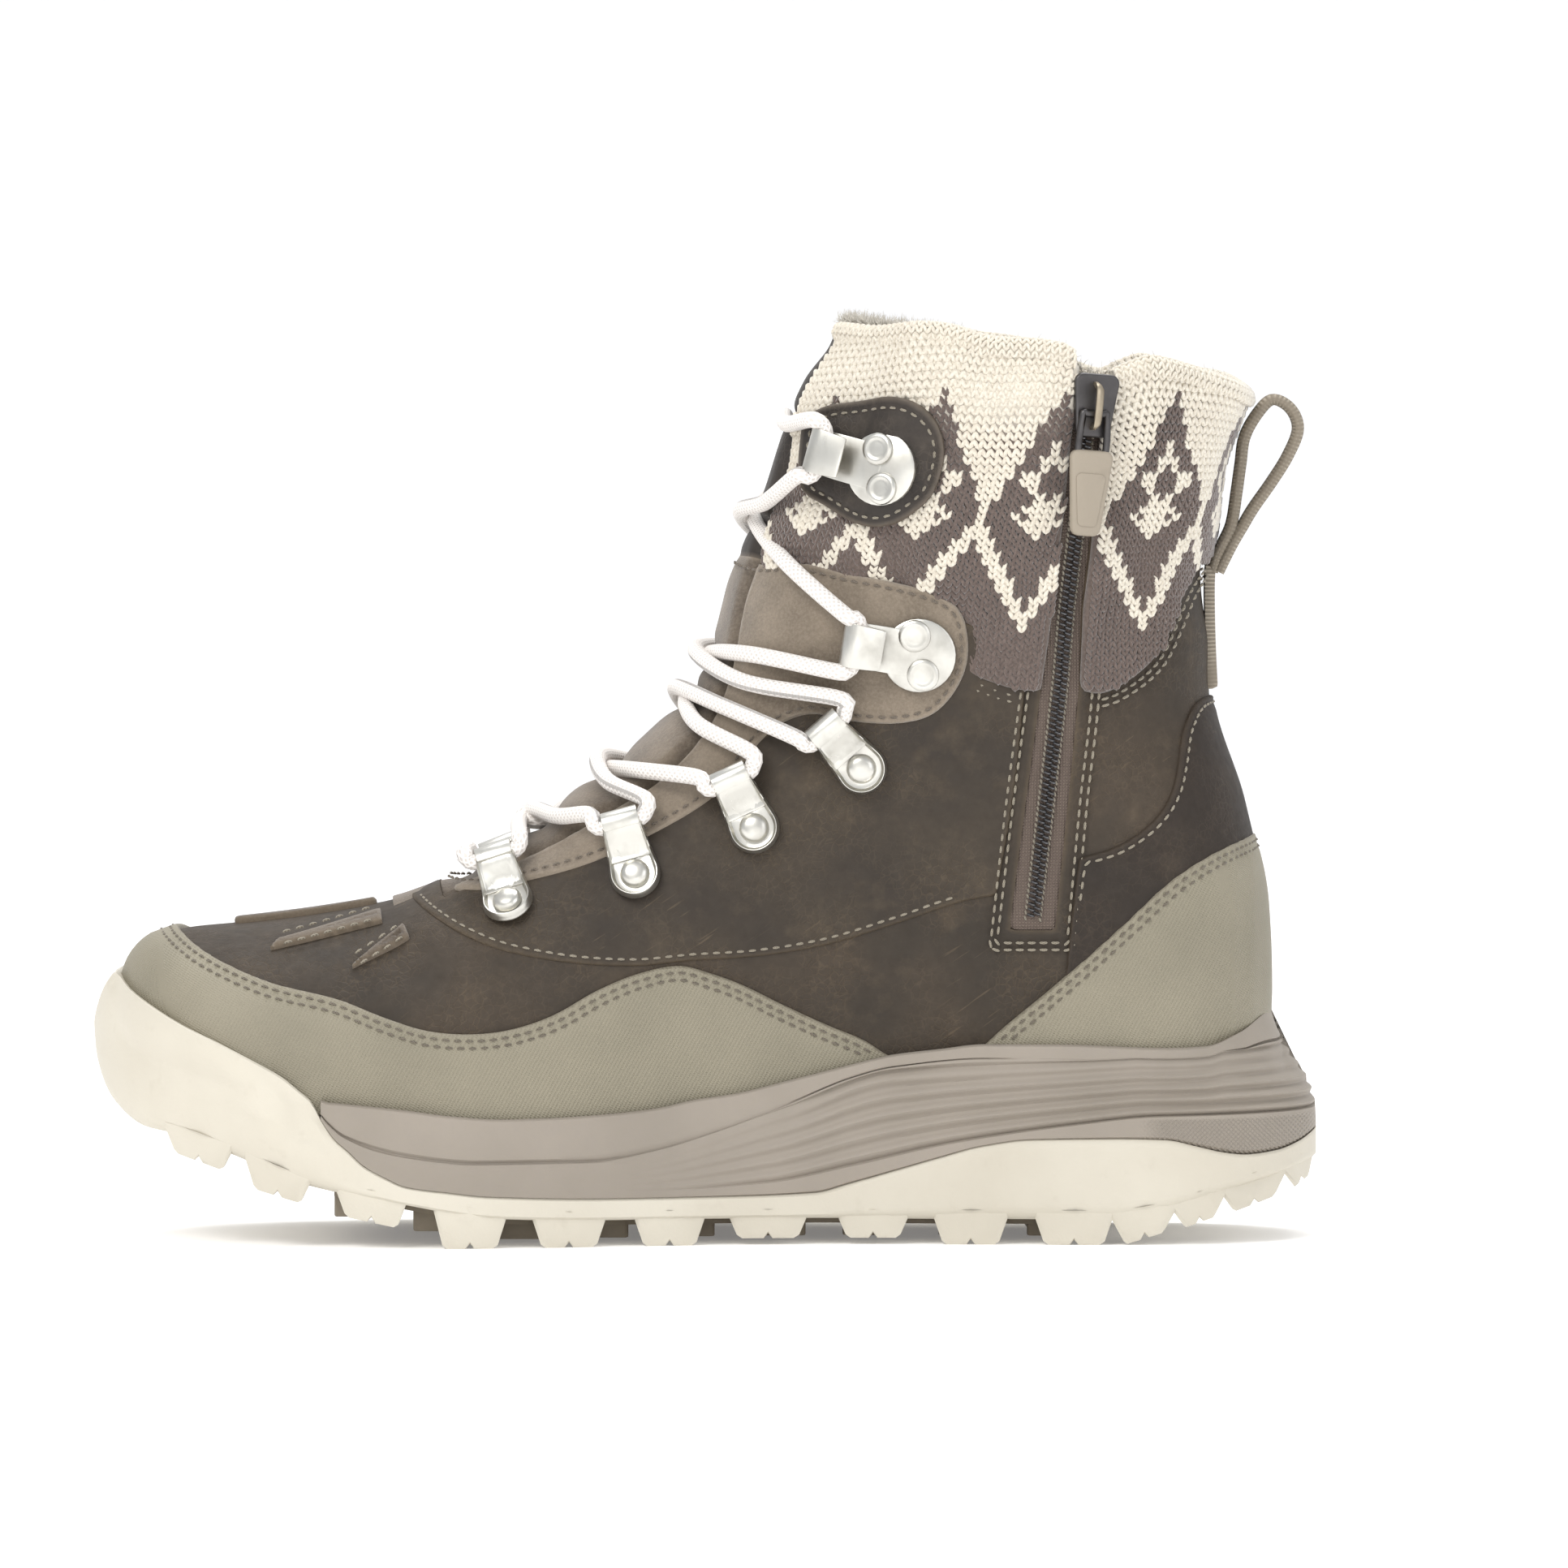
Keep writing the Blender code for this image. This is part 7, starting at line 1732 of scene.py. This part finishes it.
def make_heel_loop():
    """Webbing loop behind the collar: a band with soft edges round its middle line."""
    on_cuff = 4 * GAP + CUFF_THICKNESS
    places = [(0.0, z) for z in LOOP_HEIGHTS] + list(LOOP_FREE)
    line = []
    for x, z in places:
        back = float(curve(BACK_LINE, min(z, LOOP_HEIGHTS[-1]))) * LENGTH + WEBBING / 2
        back += GAP + (on_cuff - GAP) * float(smooth(z, 0.715, 0.775))
        line.append((back + x * LENGTH, 0.0, z * HEIGHT))
    path = smooth_path(line, 0.0007)
    ahead = np.gradient(path, axis=0)
    ahead /= np.linalg.norm(ahead, axis=1, keepdims=True)
    out = np.stack([-ahead[:, 2], np.zeros(len(path)), ahead[:, 0]], 1)
    run = np.concatenate([[0], np.cumsum(np.linalg.norm(np.diff(path, axis=0), axis=1))])
    half, thick = WEBBING_WIDTH / 2, WEBBING * 0.62
    ring = [(y, t) for y, t in ((-half, 0.0), (-half + 0.0006, thick * 0.9), (-half * 0.6, thick), (0.0, thick),
                                (half * 0.6, thick), (half - 0.0006, thick * 0.9), (half, 0.0),
                                (half - 0.0006, -thick * 0.9), (half * 0.6, -thick), (0.0, -thick),
                                (-half * 0.6, -thick), (-half + 0.0006, -thick * 0.9))]
    points, uv, faces = [], [], []
    for k in range(len(path)):
        for y, t in ring:
            points.append(path[k] + out[k] * t + np.array([0, y, 0]))
            uv.append((y, run[k]))
    count = len(ring)
    for k in range(len(path) - 1):
        for j in range(count):
            a, b = k * count + j, k * count + (j + 1) % count
            faces.append([a, b, b + count, a + count])
    faces += [list(range(count))[::-1], [len(points) - count + j for j in range(count)]]
    piece = add_piece("pull_strap", points, faces, WEBBING_STRAP, uv=uv, sharp=60.0)
    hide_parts("heel_loop")


def make_slits():
    """Raised slots on the vamp: a suede welt, a dark gap and stitches round it."""
    thread = Heap()
    for name, table in VAMP_SLITS:
        outline = smooth_outline(table, sharp=10.0)
        middle = (np.array(table) * (LENGTH, HEIGHT))
        ends = (middle[0] + middle[1]) / 2, (middle[2] + middle[3]) / 2
        line = np.linspace(ends[0] * 0.93 + ends[1] * 0.07, ends[0] * 0.07 + ends[1] * 0.93, 24)
        for side, side_name in ((-1, "medial"), (1, "lateral")):
            spread = (-1.0, -0.05) if side < 0 else (0.05, 1.0)
            patch("slit_%s_%s" % (name, side_name), lambda s: inside(outline, s.x, s.z),
                  lambda s, f: edge_profile(f, OVERLAY + GAP, 0.0009, 0.5)
                  - 0.0013 * np.exp(-((f - 0.0016) / 0.0004) ** 2) * (f > 0.0009),
                  -0.0001, SLIT_SUEDE, rows=("toe_crown", "instep_low"), step=0.0009, spread=spread,
                  levels=(0.0, 0.0004, 0.0009, 0.0012), replaces=("vamp_slit_%s_%s" % (name, side_name),))
            for offset in (-0.0012, 0.0012):
                stitch_row(thread, shifted(line, offset), side, OVERLAY + 0.0005, 0.0032, 0.0022, 0.00032)
    start, stop, half = RIDGE_SLIT
    middle = section(np.array([ROW["vamp"]]), "ridge")[0][0]

    def ridge_field(s):
        y = surface(s.v, s.share, s.side)[:, 1]
        along = np.minimum(s.x - start * LENGTH, stop * LENGTH - s.x)
        return np.minimum(np.minimum(along, half * BALL_WIDTH * 1.4 - np.abs(y - middle)), 0.05)

    patch("slit_ridge", ridge_field, lambda s, f: edge_profile(f, OVERLAY + GAP, 0.0009, 0.5), -0.0001, SLIT_SUEDE,
          rows=("toe_crown", "instep_low"), step=0.0009, spread=(-0.3, 0.3), replaces=("vamp_slit_ridge",))
    thread.piece("slit_stitches", PALE_THREAD)


# Sole


def plan(x, side):
    """Half width of the sole at x metres, rounded at toe and heel."""
    share = np.asarray(x) / LENGTH
    width = curve(SOLE_PLAN, share, 1 if side < 0 else 2) * BALL_WIDTH
    toe = rounding(share + 0.5, TOE_ROUND, SOLE_POWER)
    heel = rounding(0.5 - share, HEEL_ROUND, SOLE_POWER)
    return width * np.maximum(toe * heel, 0.01)


def upper_width(x, z, side):
    """Half width of the upper at side-view places, 0 where the upper isn't."""
    v, share, far = find(x, z)
    y = np.abs(surface(v, share, float(side))[:, 1])
    return np.where(far < 0.0012, y, 0.0)


def hugging_width(x, z, side, reach, towards):
    """Half width that keeps one reach outside the upper, also past its toe or heel end."""
    widths = []
    for step in np.linspace(0, reach, 7):
        width = upper_width(x + towards * step, z, side)
        widths.append(np.where(width > 0, width + math.sqrt(max(reach ** 2 - step ** 2, 0)), 0))
    return np.maximum.reduce(widths)


def lip_width(x, z, side):
    width = upper_width(x, z, side)
    return np.where(width > 0, np.minimum(width + SOLE_LIP + OVERLAY, plan(x, side)), plan(x, side))


def ring_loft(rings):
    """Closed body through rings of equal count, with flat ends."""
    count = len(rings[0])
    points = np.concatenate(rings)
    faces = []
    for k in range(len(rings) - 1):
        for j in range(count):
            a, b = k * count + j, k * count + (j + 1) % count
            faces.append([a, b, b + count, a + count])
    faces.append(list(range(count))[::-1])
    faces.append([len(points) - count + j for j in range(count)])
    return points, faces


def stations(start, step=0.0013):
    """Places along the sole, closer together where it curves in at toe and heel."""
    toe, heel = TOE_ROUND * LENGTH, HEEL_ROUND * LENGTH
    front = -0.4998 * LENGTH + toe * 0.5 * (1 - np.cos(np.linspace(0, math.pi / 2, 26)))
    back = 0.4998 * LENGTH - heel * 0.5 * (1 - np.cos(np.linspace(math.pi / 2, 0, 26)))
    places = np.concatenate([front, np.arange(front[-1] + step, back[0] - step / 2, step), back])
    return places[places >= start]


def cup_rings(x, low, side_levels, cup):
    """Rings of a sole piece: side levels, then lip, inner wall and floor where there is a cup."""
    halves = {}
    for side in (-1, 1):
        levels = side_levels(side)
        lip_w, lip_z, lip_x = levels[-1]
        base = np.maximum(height_at(PLATFORM, x), low)
        inner = upper_width(x, base, side) + OVERLAY + 2 * GAP
        held = cup & (inner > OVERLAY + 3 * GAP)
        inner = np.where(held, np.minimum(inner, lip_w - 0.0012), 0.0002)
        inner = np.maximum(inner, 0.0002)
        floor = np.where(held, np.minimum(height_at(PLATFORM, x) - 0.0008, lip_z - 0.0006), lip_z)
        floor = np.maximum(floor, low + 0.0004)
        lip_in = upper_width(lip_x, lip_z, side) + OVERLAY + 0.0002
        lip_in = np.where(held, np.clip(lip_in, inner, np.maximum(lip_w - 0.0010, inner)), 0.0002)
        inner_x = np.minimum(x, INNER_END * LENGTH)
        levels = levels + [(np.maximum(lip_w - 0.0004, 0.0002), lip_z + 0.00035, lip_x),
                           ((lip_w + lip_in) / 2, lip_z + 0.0005, lip_x),
                           (lip_in, lip_z + 0.0002, np.minimum(lip_x, INNER_END * LENGTH)), (inner, floor, inner_x)]
        halves[side] = levels
    rings = []
    for k in range(len(x)):
        inner = [(at[k], -w[k], z[k]) for w, z, at in halves[-1]]
        outer = [(at[k], w[k], z[k]) for w, z, at in reversed(halves[1])]
        rings.append(np.array(inner + outer))
    return rings


def make_outsole():
    """Cream rubber: band and bumper with its mould line, cupped at the toe, and all side lugs."""
    x = stations(-LENGTH)
    low, high = height_at(BASE_LINE, x), height_at(RUBBER_TOP, x)
    bumper = 1 - smooth(x / LENGTH, -0.325, -0.290)
    platform = height_at(PLATFORM, x) + 0.0008

    def side_levels(side):
        wide = plan(x, side)
        top = wide - GAP + bumper * (lip_width(x, high, side) - wide + GAP)
        mould = height_at(MOULD_LINE, x)
        levels = []
        for t, inset in ((0.0, -0.0026), (0.04, -0.0012), (0.10, -0.0004), (0.18, 0.0)):
            levels.append((np.maximum(wide + inset, 0.0004), low + t * (high - low), x))
        for t in np.linspace(0.26, 1.0, 16):
            z = low + t * (high - low)
            lean = smooth(t, 0.45, 1.0) if t < 1 else 1.0
            width = wide + (top - wide) * lean * np.where(t < 1, bumper, 1.0)
            width = width - bumper * 0.0009 * rounding(max(t - 0.85, 0), 0.15, 2.0) * (t > 0.85)
            width = width + bumper * 0.0005 * np.tanh((mould - z) / 0.0005)
            snug = hugging_width(x, np.maximum(z, platform), side, OVERLAY + 0.0019, 1)
            width = width + bumper * smooth(t, 0.2, 0.6) * np.maximum(snug - width, 0)
            levels.append((np.maximum(width, 0.0004), z, x))
        return levels

    rings = cup_rings(x, low, side_levels, x < FOAM_START * LENGTH)
    heap = Heap()
    heap.add(*ring_loft(rings))
    for start, stop, ground_start, ground_stop in SIDE_LUGS:
        for side in (-1, 1):
            add_lug(heap, start, stop, ground_start, ground_stop, side)
    piece = heap.piece("outsole_rubber", CREAM_RUBBER, sharp=38.0)
    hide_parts("outsole")


def add_lug(heap, start, stop, ground_start, ground_stop, side):
    """One side lug: a tapered block with a middle ridge outside and a notch below."""
    x0, x1 = start * LENGTH, stop * LENGTH
    middle, long = (x0 + x1) / 2, x1 - x0
    ground = [ground_start * HEIGHT, ground_stop * HEIGHT]
    notch = min(0.0011, 0.2 * long)
    deep = 0.0012
    shares = (0.0, 0.09, 0.5 - notch / long, 0.5, 0.5 + notch / long, 0.91, 1.0)
    rise = (0.0008, 0.0, 0.0, deep, 0.0, 0.0, 0.0008)
    rings = []
    wide = float(plan((x0 + x1) / 2, side))
    inner = max(wide - LUG_WIDTH, 0.0008)
    root = -0.0016 if start < 0.33 else -0.0030
    for y_share, shrink in ((0.0, 0.0007), (0.06, 0.0), (0.5, 0.0), (1.0, 0.0002)):
        ring = []
        for k, share in enumerate(shares):
            x = min(x0 + long * share + (shrink + 0.0009) * (1 - 2 * share), LUG_END * LENGTH)
            outer = float(plan(x, side)) - 0.0004 + 0.0006 * math.exp(-((share - 0.5) / 0.13) ** 2) * (y_share == 0.0)
            y = outer + (inner - outer) * y_share - (0.0010 if y_share == 0.0 else 0.0)
            z = ground[0] + (ground[1] - ground[0]) * share + rise[k] + (0.0004 if y_share == 0.0 else 0.0)
            ring.append((x, side * y, z))
        for share in (1.0, 0.75, 0.5, 0.25, 0.0):
            x = min(x0 + long * share + (shrink + root) * (1 - 2 * share), LUG_END * LENGTH)
            outer = float(plan(x, side)) - 0.0003 + 0.0007 * math.exp(-((share - 0.5) / 0.13) ** 2) * (y_share == 0.0)
            y = outer + (inner - outer) * y_share - (0.0002 if y_share == 0.0 else 0.0)
            ring.append((x, side * y, float(height_at(BASE_LINE, x)) + 0.0022))
        rings.append(np.array(ring))
    points, faces = ring_loft(rings)
    if side > 0:
        faces = [face[::-1] for face in faces]
    heap.add(points, [face[::-1] for face in faces])


def make_insert():
    """Taupe plate and lugs between the cream side lugs."""
    heap = Heap()
    first, last = CENTRE_LUGS[0][0] * LENGTH, CENTRE_LUGS[-1][1] * LENGTH
    x = np.arange(first, last + 0.001, 0.003)
    top = height_at(BASE_LINE, x) - GAP

    def half(x, side):
        return np.maximum(plan(x, side) - LUG_WIDTH - 0.0006, 0.004)

    rings = []
    for k in range(len(x)):
        a, b = float(half(x[k], -1)), float(half(x[k], 1))
        rings.append(np.array([(x[k], -a, top[k] - 0.0018), (x[k], -a, top[k]), (x[k], b, top[k]),
                               (x[k], b, top[k] - 0.0018)]))
    heap.add(*ring_loft(rings))
    for start, stop in CENTRE_LUGS:
        for side in (-1, 1):
            x0, x1 = start * LENGTH, stop * LENGTH
            roof = float(height_at(BASE_LINE, (x0 + x1) / 2)) - GAP - 0.0005
            ground = max(0.004 * HEIGHT, roof - 0.0050)
            reach = float(half((x0 + x1) / 2, side)) - 0.0012
            shape = arc_corners((x1 - x0) / 2, (x1 - x0) / 2 - 0.0006, 0.0014, reach, 0.0010, 3)
            points, faces = slab(shape, ground, roof)
            points = [(px + (x0 + x1) / 2, side * py, pz) for px, py, pz in points]
            heap.add(*bevelled(points, faces, width=0.0005))
    piece = heap.piece("insert_rubber", TAUPE_RUBBER, sharp=40.0)
    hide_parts("tread_insert")


RIBS = 5


def make_midsole():
    """Foam midsole: groove line, flowing ribs that rise to the heel, scalloped back, cupped top."""
    x = stations(FOAM_START * LENGTH + 0.0002)
    low = height_at(RUBBER_TOP, x) + GAP

    def lines(at):
        """Lower face, foot and crest of the ribs, groove and top edge at places along the foam."""
        held = np.minimum(at, LEAN_TOP * LENGTH)
        under = height_at(RUBBER_TOP, at) + GAP
        high = np.maximum(height_at(FOAM_TOP, held), under + 0.0040)
        foot = np.clip(height_at(RIB_FOOT, at), under + 0.0004, high - 0.0030)
        crest = np.clip(height_at(RIB_TOP, held), foot + 0.0004, high - 0.0020)
        groove = np.clip(height_at(GROOVE_LINE, held), crest + 0.0002, high - 0.0010)
        return under, foot, crest, groove, high

    def level(side, line, t, cut):
        """Half width, height and place along the foam, t of the way from one line to the next."""
        tip = [float(value) for value in lines(np.array(LEAN_TOP * LENGTH))]
        z_tip = tip[line] + t * (tip[line + 1] - tip[line])
        stop = float(curve(FOAM_END, z_tip / HEIGHT)) * LENGTH - cut
        start = LEAN_START * LENGTH
        at = np.where(x > start, start + (x - start) * (stop - start) / (0.4998 * LENGTH - start), x)
        here = lines(at)
        z = here[line] + t * (here[line + 1] - here[line])
        share = at / LENGTH
        width = curve(SOLE_PLAN, share, 1 if side < 0 else 2) * BALL_WIDTH * rounding(share + 0.5, TOE_ROUND, SOLE_POWER)
        width = width * rounding((stop - at) / LENGTH, HEEL_ROUND, SOLE_POWER) - cut
        snug = hugging_width(at, here[4], side, SOLE_LIP + OVERLAY, -1)
        lean = smooth((z - here[1]) / (here[4] - here[1]), 0.25, 1.0)
        width = width + np.minimum(snug - width, 0) * lean
        return np.maximum(width, 0.0002), z, at

    def side_levels(side):
        depth = 0.0013 * smooth(x / LENGTH, -0.08, 0.16)
        levels = [level(side, 0, t, 0.0010 * (t == 0)) for t in (0.0, 0.12, 0.5, 1.0)]
        for step in range(1, 8 * RIBS + 1):
            dip = (0.5 + 0.5 * math.cos(2 * math.pi * step / 8)) ** 0.9
            w, z, at = level(side, 1, step / (8 * RIBS), 0.0008 * dip)
            levels.append((np.maximum(w - (depth - 0.0008) * dip, 0.0002), z, at))
        levels += [level(side, 2, t, cut) for t, cut in ((0.5, 0.0001), (0.9, 0.0003), (1.0, 0.0010))]
        levels += [level(side, 3, t, cut) for t, cut in (
            (0.03, 0.0010), (0.10, 0.0002), (0.2, 0.0), (0.35, 0.0), (0.5, 0.0), (0.65, 0.0), (0.8, 0.0),
            (0.92, 0.0), (1.0, 0.0))]
        return levels

    rings = cup_rings(x, low, side_levels, np.ones(len(x), bool))
    points, faces = ring_loft(rings)
    piece = add_piece("midsole_foam_form", points, faces, FOAM, sharp=40.0)
    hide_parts("midsole")


# Studio

PIXEL = 0.0001859
CAMERA_DISTANCE = 3.0
CAMERA_RISE = 2.0
# Middle of the photograph on the boot's middle plane, from the sole's middle
VIEW_X, VIEW_Z = 97 * PIXEL, 555 * PIXEL


def add_light(name, place, size, power, colour, target=(0.0, 0.0, 0.09)):
    light = bpy.data.lights.new(name, "AREA")
    light.shape = "RECTANGLE"
    light.size, light.size_y = size
    light.energy = power
    light.color = colour
    item = bpy.data.objects.new(name, light)
    item.location = place
    item.rotation_euler = (Vector(target) - Vector(place)).to_track_quat("-Z", "Y").to_euler()
    bpy.context.scene.collection.objects.link(item)


def make_studio():
    """Pale floor that curves up behind, soft lights and the photograph's view."""
    floor = Finish("studio_floor", Roughness=0.9, Specular_IOR_Level=0.1, Emission_Color=(1.0, 1.0, 1.0, 1.0),
                   Emission_Strength=0.16)
    floor.set(Base_Color=floor.mix(floor.noise(3, 2), srgb(250, 249, 248), srgb(253, 252, 251)))
    half, points, faces = 6.0, [], []
    for y, z in ([(-6.0, 0.0), (3.0, 0.0)]
                 + [(3.0 + 1.5 * math.sin(a), 1.5 - 1.5 * math.cos(a)) for a in np.linspace(0.2, math.pi / 2, 8)]
                 + [(4.5, 6.0)]):
        points += [(-half, y, z), (half, y, z)]
    for k in range(len(points) // 2 - 1):
        faces.append([2 * k, 2 * k + 1, 2 * k + 3, 2 * k + 2])
    mesh = bpy.data.meshes.new("studio_floor")
    mesh.from_pydata(points, [], faces)
    mesh.materials.append(floor.material)
    mesh.shade_smooth()
    stage = bpy.data.objects.new("studio_floor", mesh)
    bpy.context.scene.collection.objects.link(stage)
    add_light("key", (-0.9, -1.5, 1.6), (1.2, 0.9), 25, (1.0, 0.985, 0.96))
    add_light("fill", (1.5, -1.3, 0.8), (1.2, 1.2), 8, (0.97, 0.98, 1.0))
    add_light("top", (0.1, 0.5, 1.9), (1.6, 1.0), 23, (1.0, 1.0, 1.0))
    add_light("front_low", (0.0, -2.0, 0.25), (1.6, 0.5), 4, (1.0, 0.99, 0.97))
    world = bpy.data.worlds.new("studio")
    world.use_nodes = True
    world.node_tree.nodes["Background"].inputs["Color"].default_value = (0.9, 0.92, 0.95, 1.0)
    world.node_tree.nodes["Background"].inputs["Strength"].default_value = 0.80
    bpy.context.scene.world = world
    bpy.context.scene.view_settings.view_transform = "Standard"
    camera = bpy.data.cameras.new("camera")
    camera.sensor_width = 36.0
    camera.lens = camera.sensor_width * CAMERA_DISTANCE / (1932 * PIXEL)
    camera.clip_end = 50.0
    item = bpy.data.objects.new("camera", camera)
    rise = math.radians(CAMERA_RISE)
    target = Vector((VIEW_X, 0.0, VIEW_Z))
    item.location = target + Vector((0, -math.cos(rise), math.sin(rise))) * CAMERA_DISTANCE
    item.rotation_euler = (target - item.location).to_track_quat("-Z", "Y").to_euler()
    bpy.context.scene.collection.objects.link(item)
    bpy.context.scene.camera = item


def build():
    make_studio()
    make_outsole()
    make_insert()
    make_midsole()
    lines = make_upper()
    make_stitches(lines)
    make_knit(lines)
    make_collar()
    make_fleece()
    seats = make_fittings()
    crossings = make_lace(seats)
    make_tongue(crossings)
    make_zip()
    make_heel_loop()
    make_slits()
    insole = frame["nodes"]["insole"]
    insole.data.materials.clear()
    insole.data.materials.append(FOOTBED.material)


build()
bpy.context.view_layer.update()
